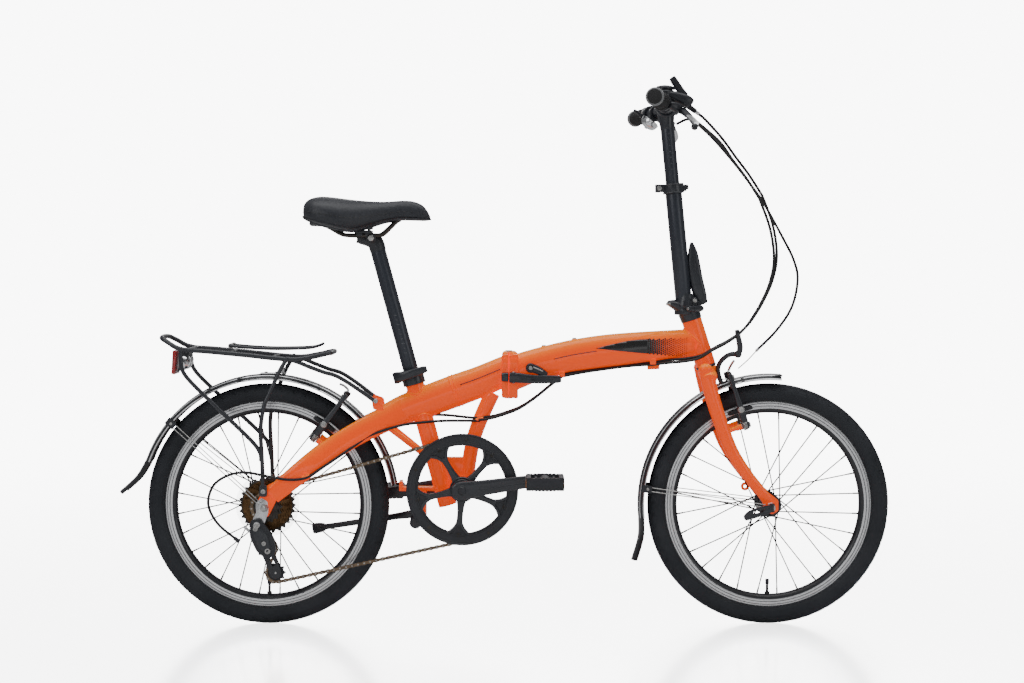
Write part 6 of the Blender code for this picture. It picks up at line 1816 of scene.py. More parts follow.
def mudguards():
    """Both mudguards with their stays, bridges and bolts."""
    rear = guard(REAR_HUB, math.radians(9), math.radians(160), [(0.04, 0.008, 1.05), (0.08, 0.0285, 1.15)])
    stay_wires(rear, around(REAR_HUB, 0.258, math.radians(139.5)), REAR_HUB, 0.0288, 0.0742)
    top = around(REAR_HUB, 0.2705, math.radians(88))
    rear.add(block(top + Vector((0, 0, -0.0004)), (0.05, 0.026, 0.0016)), "chrome")
    rear.add(block(top + Vector((0.02, 0, 0.006)), (0.005, 0.02, 0.014)), "chrome")
    for x in (-0.014, 0.008):
        rear.add(cyl(top + Vector((x, 0, 0.0002)), top + Vector((x, 0, 0.0028)), 0.0036, 24), "steel")
    rear.done("rear_mudguard_blade", "rear_frame_assembly", "black_plastic", ("rear_mudguard",), sharp=30)
    front = guard(FRONT_HUB, math.radians(84.6), math.radians(186),
                  [(0.04, 0.005, 1.04), (0.086, 0.0235, 1.12)])
    stay_wires(front, around(FRONT_HUB, 0.252, math.radians(172.5)), FRONT_HUB, 0.0288, 0.0585)
    tip = around(FRONT_HUB, 0.2655, math.radians(86.5))
    front.add(block(tip, (0.02, 0.044, 0.003), Vector((1, 0, 0.1))), "guard_black")
    hold = around(FRONT_HUB, 0.27, math.radians(108.5))
    strap = [(*(FORK_CROWN + FORWARD * 0.015), 0.008, 0.0012),
             (*(FORK_CROWN + FORWARD * 0.018 - UP * 0.012), 0.008, 0.0012),
             (hold.x, 0, hold.z + 0.0012, 0.008, 0.0012)]
    front.add(loft(smooth(strap, 4), 12), "chrome")
    front.done("front_mudguard_blade", "fork_assembly", "black_plastic", ("front_mudguard",), sharp=30)


RACK_SIDE = [  # the left rail from its front end to the rear
    (-0.352, 0.036, 0.5625), (-0.36, 0.0492, 0.5618), (-0.385, 0.0576, 0.556), (-0.423, 0.06, 0.55),
    (-0.47, 0.06, 0.553), (-0.515, 0.06, 0.558), (-0.6, 0.06, 0.5662), (-0.655, 0.06, 0.571),
    (-0.684, 0.054, 0.5855), (-0.698, 0.0372, 0.5935)]
RACK_LEGS = ([(-0.44, 0.06, 0.551), (-0.418, 0.0592, 0.5445), (-0.395, 0.058, 0.535),
              (-0.366, 0.0562, 0.524), (-0.338, 0.054, 0.515), (-0.3, 0.046, 0.4905),
              (-0.262, 0.036, 0.462)], [(-0.441, 0.06, 0.551), (-0.456, 0.0635, 0.525), (-0.467, 0.066, 0.5),
                                        (-0.478, 0.07, 0.476), (-0.486, 0.073, 0.455),
                                        (-0.4925, 0.0762, 0.41), (-0.49, 0.0765, 0.35),
                                        (-0.488, 0.0765, 0.29)],
             [(-0.655, 0.06, 0.571), (-0.6555, 0.062, 0.548), (-0.651, 0.064, 0.526), (-0.63, 0.067, 0.5),
              (-0.57, 0.0718, 0.4425), (-0.512, 0.0762, 0.387), (-0.494, 0.0765, 0.362),
              (-0.492, 0.0765, 0.345)])
CLIP_ARM = [(-0.56, 0.03, 0.576), (-0.52, 0.0302, 0.5725), (-0.48, 0.03, 0.5705), (-0.44, 0.028, 0.5705),
            (-0.4, 0.024, 0.572), (-0.382, 0.014, 0.5755), (-0.372, 0.0, 0.58)]


def rear_rack():
    """The rack's loop, cross bars and legs, its lamps and reflector."""
    build = Build()
    path = RACK_SIDE + on_side(RACK_SIDE, -1)[::-1]
    loop = smooth(path + path[:1], 5)[:-1]
    build.add(loft([(*p, 0.005, 0.005) for p in loop], 18, UP, closed=True))
    for x, z, half in ((-0.378, 0.557, 0.056), (-0.47, 0.5535, 0.0595), (-0.56, 0.5622, 0.0595),
                       (-0.64, 0.5696, 0.0595)):
        build.add(cyl((x, -half, z), (x, half, z), 0.0044, 20))
    for side in SIDES.values():
        for leg in RACK_LEGS:
            build.add(tube(on_side(leg, side), 0.0044, 16, 5))
        build.add(slab(rounded([(-0.496, 0.296), (-0.48, 0.296), (-0.48, 0.272), (-0.496, 0.272)], 0.005),
                       *sorted((side * 0.0745, side * 0.077))))
        build.add(socket_bolt((-0.488, side * 0.077, 0.283), LEFT * side, 0.005, 0.0034), "steel")
        for x, z in ((-0.44, 0.551), (-0.655, 0.571)):
            build.add(ball((x, 0.06 * side, z), 0.0056, 16))
    bracket = rounded([(-0.6695, 0.522), (-0.661, 0.528), (-0.639, 0.5715), (-0.656, 0.569)], 0.002)
    build.add(slab(bracket, -0.0255, 0.0255), "plastic")
    for side in (1, -1):
        lamp = [(0, 0), (0.0155, 0), (0.0165, 0.003), (0.0155, 0.012), (0.0105, 0.0175), (0, 0.019)]
        build.add(lathe(lamp, (-0.662, side * 0.015, 0.5445), Vector((0.93, 0, -0.36)), 28), "chrome")
    build.done("rear_rack_tubes", "rear_frame_assembly", "black_paint", ("rear_rack",))
    lens = Build()
    outline = rounded([(-0.681, 0.519), (-0.674, 0.517), (-0.67, 0.566), (-0.678, 0.567)], 0.002)
    lens.add(slab(outline, -0.0298, 0.0298), "red")
    lens.done("rear_reflector_lens", "rear_frame_assembly", "red_lens", ("rear_reflector",), bevel=0.001)


def rack_clip():
    """The rack's spring clip: a bent wire with a coil at each end of its hinge."""
    clip = Build()
    clip.add(cyl((-0.56, -0.03, 0.576), (-0.56, 0.03, 0.576), 0.003, 18))
    for side in SIDES.values():
        clip.add(tube(on_side(CLIP_ARM, side), 0.003, 14, 5))
        for k in range(7):
            clip.add(ring(Vector((-0.56, side * (0.012 + 0.0022 * k), 0.576)), LEFT, 0.0031, 0.0054, 0,
                          0.0014, 20), "steel")
    clip.done("rack_clip_wire", "rack_clip_assembly", "black_paint", ("rack_spring_clip",))


def kickstand():
    """The leg with its rubber foot and pivot bolt."""
    along = (KICKSTAND_FOOT - KICKSTAND_PIVOT).normalized()
    build = Build()
    rows = [(*KICKSTAND_PIVOT, 0.007, 0.0092), (*(KICKSTAND_PIVOT + along * 0.022), 0.0066, 0.0084),
            (*(KICKSTAND_PIVOT + along * 0.05), 0.0058, 0.0068),
            (*(KICKSTAND_PIVOT + along * 0.12), 0.0056, 0.0062),
            (*(KICKSTAND_PIVOT + along * 0.19), 0.0055, 0.006),
            (*(KICKSTAND_FOOT - along * 0.024), 0.0056, 0.0064)]
    build.add(loft(smooth(rows, 4), 24, LEFT, 0.8))
    foot = [(*(KICKSTAND_FOOT - along * 0.026), 0.0064, 0.0082),
            (*(KICKSTAND_FOOT - along * 0.016), 0.0068, 0.0104),
            (*(KICKSTAND_FOOT - along * 0.004), 0.007, 0.0112), (*KICKSTAND_FOOT, 0.006, 0.0098)]
    build.add(loft(smooth(foot, 3), 24, LEFT, 0.7), "plastic")
    build.add(cyl(KICKSTAND_PIVOT - KICKSTAND_AXIS * 0.0085, KICKSTAND_PIVOT + KICKSTAND_AXIS * 0.0085,
                  0.0113, 36, 0.0012))
    build.add(socket_bolt(KICKSTAND_PIVOT - KICKSTAND_AXIS * 0.0085, -KICKSTAND_AXIS, 0.006, 0.0034),
              "steel")
    build.done("kickstand_bar", "kickstand_assembly", "black_paint", ("kickstand_leg",))


# ---------------------------------------------------------------- handlepost and bars


def stem_base():
    """The lower half of the handlepost's hinge: a cone on the steerer, with a flange to the rear."""
    foot = HEAD_TOP + STEER * 0.0006
    build = Build()
    cone = [(0, 0), (0.0214, 0), (0.0219, 0.001), (0.0222, 0.01), (0.0232, 0.014), (0.0236, 0.0155),
            (0, 0.0155)]
    build.add(lathe(cone, foot, STEER, 56))
    middle = STEM_JOINT
    build.add(cyl(middle - UP * 0.0085, middle + UP * 0.0045, 0.0237, 56, 0.0014))
    flange = smooth([(0.364, -0.001, 0.653, 0.021, 0.0125), (0.354, -0.005, 0.659, 0.017, 0.0112),
                     (0.345, -0.009, 0.6618, 0.0125, 0.0086), (0.3378, -0.012, 0.6632, 0.0075, 0.0058)], 3)
    build.add(loft(flange, 28, dome=0.002))
    build.add(cyl((0.342, -0.0195, 0.6615), (0.334, -0.011, 0.6615), 0.003, 20), "steel")
    half = STEM_PIN_DIRECTION * 0.0088
    build.add(cyl(STEM_PIN - half, STEM_PIN + half, 0.0071, 32, 0.0008))
    build.add(cyl(STEM_PIN - STEM_PIN_DIRECTION * 0.0238, STEM_PIN + STEM_PIN_DIRECTION * 0.0238, 0.003, 24),
              "steel")
    build.add(hex_nut(STEM_PIN + STEM_PIN_DIRECTION * 0.0212, STEM_PIN_DIRECTION, 0.009, 0.003), "steel")
    build.add(block((0.383, -0.013, 0.644), (0.018, 0.016, 0.008), STEM_PIN_DIRECTION, Vector((1, -1, 0))))
    build.done("handlepost_base_cone", "fork_assembly", "black_paint", ("handlepost_hinge_base",),
               bevel=0.0005)


def lower_post():
    """The lower handlepost with its hinge knuckles and the collar that grips the upper post."""
    top = POST_TOP
    middle = STEM_JOINT
    build = Build()
    build.add(cyl(POST_FOOT - POST * 0.012, top - POST * 0.01, 0.017, 56, 0.0006), "anthracite")
    foot = [(0, 0.005), (0.0236, 0.005), (0.0238, 0.008), (0.0232, 0.013), (0.0222, 0.017), (0.0196, 0.025),
            (0.018, 0.031), (0.0172, 0.035), (0, 0.035)]
    build.add(lathe(foot, middle, UP, 56))
    for k in range(2):
        build.add(ring(middle + UP * (0.0075 + 0.004 * k), UP, 0.0225, 0.0241, 0, 0.0012, 48))
    for side in (-1, 1):
        start = STEM_PIN + STEM_PIN_DIRECTION * side * 0.0095
        build.add(cyl(start, start + STEM_PIN_DIRECTION * side * 0.011, 0.0066, 32, 0.001))
        build.add(block(start + STEM_PIN_DIRECTION * side * 0.0055 + Vector((-0.005, 0.005, 0.009)),
                        (0.0106, 0.014, 0.012), STEM_PIN_DIRECTION, Vector((1, -1, 0))))
    build.add(block((0.397, 0.01, 0.668), (0.018, 0.013, 0.012)))
    build.add(block((0.386, -0.002, 0.664), (0.02, 0.034, 0.012)))
    bolt = Vector((0.3905, -0.0225, 0.669))
    build.add(cyl(bolt + LEFT * 0.01, bolt, 0.0066, 28, 0.0008))
    build.add(socket_bolt(bolt, -LEFT, 0.0042, 0.003), "steel")
    ears = POST_CLAMP_EARS
    build.add(ring(top, POST, 0.0152, 0.0212, -0.019, 0.0, 56, 0.001))
    build.add(ring(top, POST, 0.0152, 0.022, -0.003, 0.0004, 56, 0.0008))
    build.add(ring(top, POST, 0.0165, 0.022, -0.0196, -0.0166, 56, 0.0008))
    for side in SIDES.values():
        build.add(block(ears + LEFT * side * 0.0062, (0.019, 0.0072, 0.0155)))
    build.add(cyl(ears + Vector((-0.002, -0.014, 0)), ears + Vector((-0.002, 0.015, 0)), 0.0026, 20),
              "steel")
    build.add(hex_nut(ears + Vector((-0.002, -0.0098, 0)), -LEFT, 0.0095, 0.0045), "steel")
    build.add(block(top + FORWARD * 0.0235 - POST * 0.0095, (0.007, 0.01, 0.01)))
    build.done("lower_post_tube", "lower_post_assembly", "black_paint", ("lower_handlepost",), bevel=0.0006)


def stem_lever():
    """The long lever that locks the handlepost upright."""
    rows = [(0.411, 0.004, 0.662, 0.009, 0.008), (0.406, 0.004, 0.674, 0.011, 0.0125),
            (0.401, 0.004, 0.69, 0.012, 0.014), (0.397, 0.004, 0.705, 0.012, 0.0142),
            (0.3935, 0.004, 0.723, 0.0116, 0.014), (0.3905, 0.004, 0.743, 0.0106, 0.0134),
            (0.389, 0.004, 0.762, 0.009, 0.0108), (0.3875, 0.004, 0.776, 0.007, 0.0074),
            (0.386, 0.004, 0.787, 0.005, 0.003)]
    build = Build().add(loft(smooth(rows, 5), 32, LEFT, 0.55, dome=0.0015))
    groove = [(x + 0.001, y - 0.0112, z, 0.0006, 0.0016) for x, y, z, _, _ in rows[3:7]]
    build.add(loft(smooth(groove, 3), 8), "plastic")
    build.add(cyl((0.4135, -0.0014, 0.668), (0.4135, 0.0214, 0.668), 0.0056, 28, 0.0008))
    build.add(socket_bolt((0.4135, -0.0014, 0.668), -LEFT, 0.0034, 0.002), "steel")
    build.done("stem_latch_handle", "post_latch_assembly", "black_paint", ("handlepost_latch_lever",))


def post_clamp():
    """The cam lever of the handlepost's telescope."""
    hold = POST_CLAMP_EARS + FORWARD * -0.002 + LEFT * 0.0175
    rows = about(hold, [(-0.001, 0.001, 0, 0.0066, 0.0046), (0.012, 0.008, 0, 0.0072, 0.0042),
                        (0.028, 0.0105, 0.001, 0.0076, 0.0036), (0.046, 0.01, 0.0025, 0.007, 0.0033),
                        (0.062, 0.008, 0.004, 0.0048, 0.0028)])
    build = Build().add(loft(smooth(rows, 5), 28, UP, 0.6, dome=0.0012))
    build.add(cyl(hold - POST * 0.0078, hold + POST * 0.0078, 0.0066, 32, 0.001), "cast_black")
    build.add(cyl(hold - POST * 0.0083, hold + POST * 0.0083, 0.0028, 20), "steel")
    build.done("post_clamp_handle", "post_clamp_assembly", "black_paint", ("handlepost_clamp_lever",))


def upper_post():
    """The sliding post with its height marks and the clamp round the handlebar."""
    top = POST_TOP
    foot = top - POST * 0.06
    head = Vector((BAR.x + 0.001, 0, BAR.z - 0.012))
    build = Build()
    build.add(cyl(foot, head, UPPER_POST_RADIUS, 48, 0.0006), "anthracite")
    neck = [(*(head - POST * 0.03), 0.0142, 0.0142), (*(head - POST * 0.012), 0.015, 0.016),
            (*(head + POST * 0.002), 0.017, 0.0186)]
    build.add(loft(smooth(neck, 4), 40))
    build.add(ring(BAR + LEFT * -0.0215, LEFT, 0.013, 0.0196, 0.0, 0.043, 56, 0.0016))
    for side in SIDES.values():
        build.add(block(BAR + Vector((0.019, side * 0.012, -0.004)), (0.012, 0.012, 0.017)))
        build.add(socket_bolt(BAR + Vector((0.025, side * 0.012, -0.004)), FORWARD, 0.0036, 0.003), "steel")
    build.add(block(BAR + Vector((0.0196, 0.0, -0.004)), (0.008, 0.04, 0.001)), "plastic")
    for k in range(8):
        at = top + POST * (0.03 + 0.012 * k) - LEFT * UPPER_POST_RADIUS * 0.985
        build.add(block(at, (0.0042, 0.0006, 0.0005), FORWARD, LEFT), "grey")
    build.done("upper_post_tube", "handlebar_assembly", "black_paint", ("upper_handlepost",), bevel=0.0005)


def bar_point(y):
    """A point on the handlebar's middle line: straight in the middle, swept back outside."""
    side = math.copysign(1.0, y)
    straight = 0.06
    if abs(y) <= straight:
        return Vector((BAR.x, y, BAR.z))
    share = (abs(y) - straight) / (BAR_END.y - straight)
    return Vector((BAR.x + (BAR_END.x - BAR.x) * share, side * abs(y), BAR.z))


def bar_direction(side):
    return (bar_point(side * 0.2) - bar_point(side * 0.15)).normalized()


def handlebar():
    """The bar with its knurled middle, and both grips."""
    path = [bar_point(y) for y in (-0.284, -0.18, -0.1, -0.07)]
    path += [Vector((BAR.x, y, BAR.z)) for y in (-0.052, -0.03, 0.03, 0.052)]
    path += [bar_point(y) for y in (0.07, 0.1, 0.18, 0.284)]
    build = Build().add(tube(path, 0.0127, 48, 3, UP))
    for k in range(5):
        build.add(ring(BAR + LEFT * (0.0225 + 0.0028 * k), LEFT, 0.012, 0.013, 0, 0.0012, 48))
        build.add(ring(BAR - LEFT * (0.0237 + 0.0028 * k), LEFT, 0.012, 0.013, 0, 0.0012, 48))
    build.done("handlebar_tube", "handlebar_assembly", "black_paint", ("handlebar",))
    for name, side in SIDES.items():
        grip(name, side)


def grip(name, side):
    """A ribbed rubber grip with a grey end flange and a plug."""
    start, end = bar_point(side * (0.29 - GRIP_LENGTH)), bar_point(side * 0.29)
    along = (end - start).normalized()
    length = (end - start).length
    build = Build()
    profile = [(0.0128, 0), (0.0172, 0), (0.0178, 0.0012), (0.0176, 0.004), (0.0152, 0.006)]
    ribs = 15
    for k in range(ribs):
        x = 0.008 + (length - 0.026) * k / (ribs - 1)
        swell = 0.0148 + 0.001 * math.sin(math.pi * k / (ribs - 1))
        profile += [(swell - 0.0006, x - 0.0018), (swell + 0.0007, x - 0.001), (swell + 0.0007, x + 0.001),
                    (swell - 0.0006, x + 0.0018)]
    profile += [(0.0156, length - 0.013), (0.0128, length - 0.013)]
    build.add(lathe(profile, start, along, 56), "grip")
    flange = [(0.012, length - 0.0128), (0.0158, length - 0.0128), (0.0172, length - 0.008),
              (0.018, length - 0.004), (0.0174, length - 0.0006), (0.015, length), (0.012, length)]
    build.add(lathe(flange, start, along, 56), "grey")
    plug = [(0, length - 0.01), (0.0148, length - 0.01), (0.0148, length - 0.0002), (0.013, length + 0.0006),
            (0, length + 0.0002)]
    build.add(lathe(plug, start, along, 48), "grip")
    build.done(name + "_grip_sleeve", "handlebar_assembly", "grip_rubber", (name + "_grip",), sharp=40)


def lever_hold(side):
    """The middle of the brake lever's pivot."""
    return bar_point(side * LEVER_Y) + LEVER_AHEAD * 0.0445 - bar_direction(side) * 0.002


def barrel_of(side):
    """Where the cable leaves the lever's body, and which way it goes."""
    start = bar_point(side * LEVER_Y) + LEVER_AHEAD * 0.03 - bar_direction(side) * 0.015
    return start, Vector((0.8, -0.38 * side, -0.47)).normalized()


def brake_lever(name, side):
    """The brake lever's clamp and body with its barrel adjuster."""
    at = bar_point(side * LEVER_Y)
    along = bar_direction(side)
    ahead = LEVER_AHEAD
    over = along.cross(ahead).normalized() * side
    build = Build("smooth_plastic")
    build.add(ring(at, along, 0.013, 0.018, -0.0085, 0.0085, 48, 0.0012))
    build.add(block(at + ahead * 0.02, (0.012, 0.015, 0.015), ahead, along))
    build.add(socket_bolt(at - ahead * 0.0176 + over * 0.002, -ahead, 0.0034, 0.003), "steel")
    body = [(*(at + ahead * 0.017 + along * 0.012), 0.007, 0.008),
            (*(at + ahead * 0.029 + along * 0.006), 0.0095, 0.0092),
            (*(at + ahead * 0.033 - along * 0.008), 0.0085, 0.0088),
            (*(at + ahead * 0.031 - along * 0.022), 0.0062, 0.0066)]
    build.add(loft(smooth(body, 4), 28, UP, 0.75, dome=0.0015))
    hold = lever_hold(side)
    for way in (-1, 1):
        build.add(block(hold - ahead * 0.007 + over * way * 0.0068, (0.02, 0.013, 0.003), ahead, along))
    build.add(cyl(hold - over * 0.0088, hold + over * 0.0088, 0.0026, 20), "steel")
    start, way = barrel_of(side)
    build.add(cyl(start, start + way * 0.006, 0.0052, 28, 0.0006), "plastic")
    for k in range(6):
        build.add(ring(start + way * (0.0062 + 0.0016 * k), way, 0.002, 0.005, 0, 0.001, 24), "plastic")
    build.add(cyl(start + way * 0.016, start + way * 0.0235, 0.0036, 24, 0.0006), "alloy")
    build.done(name + "_brake_lever_clamp", "handlebar_assembly", "black_plastic",
               (name + "_brake_lever_mount",), bevel=0.0007)
    brake_blade(name, side, hold)


def brake_blade(name, side, hold):
    """The two-finger lever: a black root, a bright blade and a round tip."""
    tip = Vector((0.365, side * 0.27, 1.006))
    blade = [(*(hold - LEVER_AHEAD * 0.002), 0.005, 0.0072), (*hold.lerp(tip, 0.1), 0.0048, 0.0078),
             (*(hold.lerp(tip, 0.28) + Vector((0.004, 0, -0.002))), 0.0036, 0.0082)]
    silver = [(*(hold.lerp(tip, 0.24) + Vector((0.0035, 0, -0.0015))), 0.003, 0.007),
              (*(hold.lerp(tip, 0.42) + Vector((0.0078, 0, -0.004))), 0.0032, 0.0078),
              (*(hold.lerp(tip, 0.62) + Vector((0.009, 0, -0.0048))), 0.0034, 0.0076),
              (*(hold.lerp(tip, 0.82) + Vector((0.005, 0, -0.0028))), 0.0032, 0.0066), (*tip, 0.003, 0.005)]
    lever = Build("smooth_plastic").add(loft(smooth(blade, 4), 28, UP, 0.6, dome=0.0015))
    lever.add(loft(smooth(silver, 5), 28, UP, 0.7, dome=0.0015), "alloy")
    lever.add(ball(tip, 0.0068, 28))
    lever.done(name + "_brake_blade", name + "_lever_assembly", "polished_metal", (name + "_brake_lever",))


def shifter():
    """The gear shifter's housing with its window and barrel adjuster."""
    at = bar_point(-0.12)
    along = bar_direction(-1)
    base = Vector((at.x, at.y, at.z + 0.0262))
    build = Build("smooth_plastic")
    build.add(ring(at, along, 0.013, 0.0182, -0.011, 0.011, 48, 0.0012))
    build.add(cyl((at.x, at.y, at.z + 0.01), base, 0.0192, 56, 0.002))
    case = about(at, [(-0.006, 0, 0.018, 0.0165, 0.007), (0.012, 0, 0.016, 0.018, 0.0095),
                      (0.028, 0, 0.011, 0.0165, 0.012), (0.041, 0, 0.006, 0.015, 0.0125),
                      (0.05, 0, 0.002, 0.012, 0.011), (0.053, 0, 0, 0.009, 0.008)])
    build.add(loft(smooth(case, 5), 36, LEFT, 0.7, dome=0.002))
    window = Vector((at.x - 0.01, at.y + 0.004, at.z + 0.0195))
    build.add(block(window, (0.019, 0.017, 0.0065), Vector((1, 0, 0.25))), "clear")
    build.add(block(window - UP * 0.0028, (0.0165, 0.0145, 0.003), Vector((1, 0, 0.25))), "decal")
    way = Vector((0.8, 0.1, -0.58)).normalized()
    start = Vector((at.x + 0.046, at.y + 0.006, at.z - 0.003))
    build.add(cyl(start, start + way * 0.01, 0.0056, 28, 0.0008), "plastic")
    for k in range(7):
        build.add(ring(start + way * (0.0102 + 0.0015 * k), way, 0.002, 0.0053, 0, 0.001, 24), "plastic")
    build.add(cyl(start + way * 0.0205, start + way * 0.029, 0.0038, 24, 0.0006), "alloy")
    for x, y in ((0.006, 0.012), (0.006, -0.012)):
        build.add(socket_bolt((at.x + x + 0.018, at.y + y * 0.8, at.z + 0.0215), UP, 0.0022, 0.0014),
                  "steel")
    build.done("shifter_housing", "handlebar_assembly", "black_plastic", ("shifter_case",), bevel=0.0006)
    shifter_lever(base + UP * 0.0006)


def shifter_lever(pivot):
    """The shifter's turning cap with its thumb paddle."""
    lever = Build("smooth_plastic").add(cyl(pivot, pivot + UP * 0.008, 0.0172, 56, 0.0024))
    lever.add(cyl(pivot + UP * 0.008, pivot + UP * 0.0092, 0.01, 40, 0.0006), "plastic")
    lever.add(socket_bolt(pivot + UP * 0.0088, UP, 0.0034, 0.0014), "steel")
    paddle = about(pivot, [(0.04, 0, -0.012, 0.0085, 0.008), (0.033, 0, -0.003, 0.0088, 0.0076),
                           (0.0265, 0, 0.007, 0.009, 0.007), (0.02, 0, 0.017, 0.0092, 0.0068),
                           (0.015, 0, 0.0246, 0.0088, 0.0062)])
    lever.add(block(pivot + Vector((0.018, 0, 0.004)), (0.024, 0.015, 0.006)))
    lever.add(loft(smooth(paddle, 5), 32, LEFT, 0.6, dome=0.0015))
    for k in range(5):
        share = 0.35 + 0.11 * k
        place = Vector(paddle[2][:3]).lerp(Vector(paddle[4][:3]), share) + Vector((-0.0062, 0, -0.0034))
        lever.add(block(place, (0.0012, 0.013, 0.0009), Vector((0.6, 0, -0.8))), "plastic")
    lever.done("shifter_paddle", "shifter_lever_assembly", "black_plastic", ("shifter_lever",))


def bell():
    """The bell's dome and its clamp."""
    at = bar_point(BELL_Y)
    along = bar_direction(1)
    build = Build("plastic")
    dome = [(0.0, 0.0402), (0.004, 0.0401), (0.008, 0.0394), (0.012, 0.0379), (0.015, 0.0357),
            (0.0172, 0.0327), (0.0185, 0.0292), (0.019, 0.0262), (0.0191, 0.0232), (0.0194, 0.0226),
            (0.019, 0.0222), (0.018, 0.0226), (0.0178, 0.0262), (0.016, 0.0326), (0.0118, 0.0365),
            (0.006, 0.0386), (0.0, 0.0392)]
    build.add(lathe(dome, at, BELL_UP, 64), "chrome")
    build.add(cyl(at + BELL_UP * 0.0392, at + BELL_UP * 0.0418, 0.0036, 28, 0.0006), "chrome")
    build.add(cyl(at + BELL_UP * 0.0205, at + BELL_UP * 0.0236, 0.0165, 48, 0.0006))
    build.add(cyl(at + BELL_UP * 0.015, at + BELL_UP * 0.038, 0.004, 24), "steel")
    build.add(ring(at, along, 0.0128, 0.016, -0.005, 0.005, 48, 0.0008))
    build.add(block(at + BELL_UP * 0.017, (0.015, 0.01, 0.008), BELL_BACK, along))
    build.done("bell_dome", "handlebar_assembly", "polished_metal", ("bell",), bevel=0.0003)


def bell_striker():
    """The bell's thumb striker on its pin."""
    hold = bar_point(BELL_Y) + BELL_BACK * 0.0235 - LEFT * 0.004 + BELL_UP * 0.026
    out = BELL_BACK - LEFT * 0.3
    thumb = [(*hold, 0.0034, 0.0028), (*(hold + out.normalized() * 0.008), 0.0032, 0.003),
             (*(hold + out.normalized() * 0.015), 0.0046, 0.0032),
             (*(hold + out.normalized() * 0.019), 0.0038, 0.0024)]
    striker = Build("plastic").add(loft(smooth(thumb, 4), 24, LEFT, 0.8, dome=0.001), "smooth_plastic")
    striker.add(cyl(hold - BELL_UP * 0.0042, hold + BELL_UP * 0.0042, 0.0036, 28, 0.0006), "smooth_plastic")
    striker.add(cyl(hold - BELL_UP * 0.0048, hold + BELL_UP * 0.0048, 0.0014, 16), "steel")
    striker.done("bell_thumb", "bell_striker_assembly", "black_plastic", ("bell_striker",))


# ---------------------------------------------------------------- cables

CABLE_RADIUS = 0.0029
PAIR = [  # the gear and rear brake cables, from the bars down past the right of the head tube
    (0.396, -0.11, 1.043), (0.4324, -0.102, 0.9927), (0.4612, -0.096, 0.9549), (0.4888, -0.09, 0.9196),
    (0.5168, -0.081, 0.8784), (0.54, -0.072, 0.818), (0.5492, -0.065, 0.756), (0.54, -0.061, 0.704),
    (0.5198, -0.058, 0.6585), (0.499, -0.054, 0.625), (0.478, -0.05, 0.602), (0.453, -0.046, 0.5845),
    (0.4263, -0.0405, 0.57), (0.4006, -0.033, 0.554), (0.37, -0.024, 0.547), (0.34, -0.016, 0.544),
    (0.304, -0.01, 0.5395)]
LOWER = [  # on along the bottom of the front half
    (0.304, -0.01, 0.5395), (0.26, -0.008, 0.5362), (0.21, -0.008, 0.53), (0.16, -0.01, 0.5225),
    (0.1215, -0.014, 0.515)]
SAG = [  # under the hinge to the stop on the down tube
    (0.1215, -0.014, 0.515), (0.1, -0.017, 0.499), (0.064, -0.019, 0.47), (0.03, -0.0195, 0.448),
    (-0.008, -0.019, 0.434), (-0.03, -0.018, 0.4282), (-0.0494, -0.017, 0.426)]
GEAR = [  # along the lower edge of the right stay and round into the derailleur
    (-0.0494, -0.017, 0.422), (-0.07, -0.02, 0.422), (-0.1257, -0.029, 0.4225), (-0.175, -0.034, 0.419),
    (-0.214, -0.037, 0.413), (-0.268, -0.04, 0.396), (-0.304, -0.05, 0.374), (-0.335, -0.064, 0.353),
    (-0.37, -0.075, 0.33), (-0.401, -0.079, 0.311), (-0.434, -0.081, 0.3075), (-0.4691, -0.086, 0.313),
    (-0.52, -0.093, 0.3235), (-0.5563, -0.0955, 0.3178), (-0.5844, -0.095, 0.299), (-0.5965, -0.093, 0.27),
    (-0.5933, -0.09, 0.244), (-0.5759, -0.085, 0.215), (-0.5464, -0.08, 0.189)]
THIRD = [  # the front brake's, from the left lever to the left brake arm
    (0.366, 0.1305, 1.04), (0.388, 0.105, 1.048), (0.406, 0.097, 1.037), (0.4401, 0.09, 1.0044),
    (0.4811, 0.08, 0.9554), (0.5158, 0.072, 0.9089), (0.5423, 0.066, 0.8709), (0.5803, 0.058, 0.8003),
    (0.6037, 0.052, 0.7516), (0.6113, 0.047, 0.7099), (0.5989, 0.042, 0.6543), (0.5671, 0.038, 0.606),
    (0.5276, 0.0335, 0.5667)]


def blended(name, shapes):
    """A run of cable made as one piece, attached to no body."""
    obj = Build()
    for shape, key in shapes:
        obj.add(shape, key)
    made = obj.done(name, "", "black_plastic")
    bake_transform(made)


def pair_of(path, gap, starts=None, steps=6):
    """Two cables side by side along a path, each from its own start if starts are given."""
    runs = []
    for k, way in enumerate((-1, 1)):
        shifted = [(x + way * gap * 0.55, y + way * gap * 0.5, z + way * gap * 0.5) for x, y, z in path]
        if starts:
            shifted = list(starts[k]) + shifted[1:]
        runs.append((tube(shifted, CABLE_RADIUS, 14, steps), "cable"))
    return runs


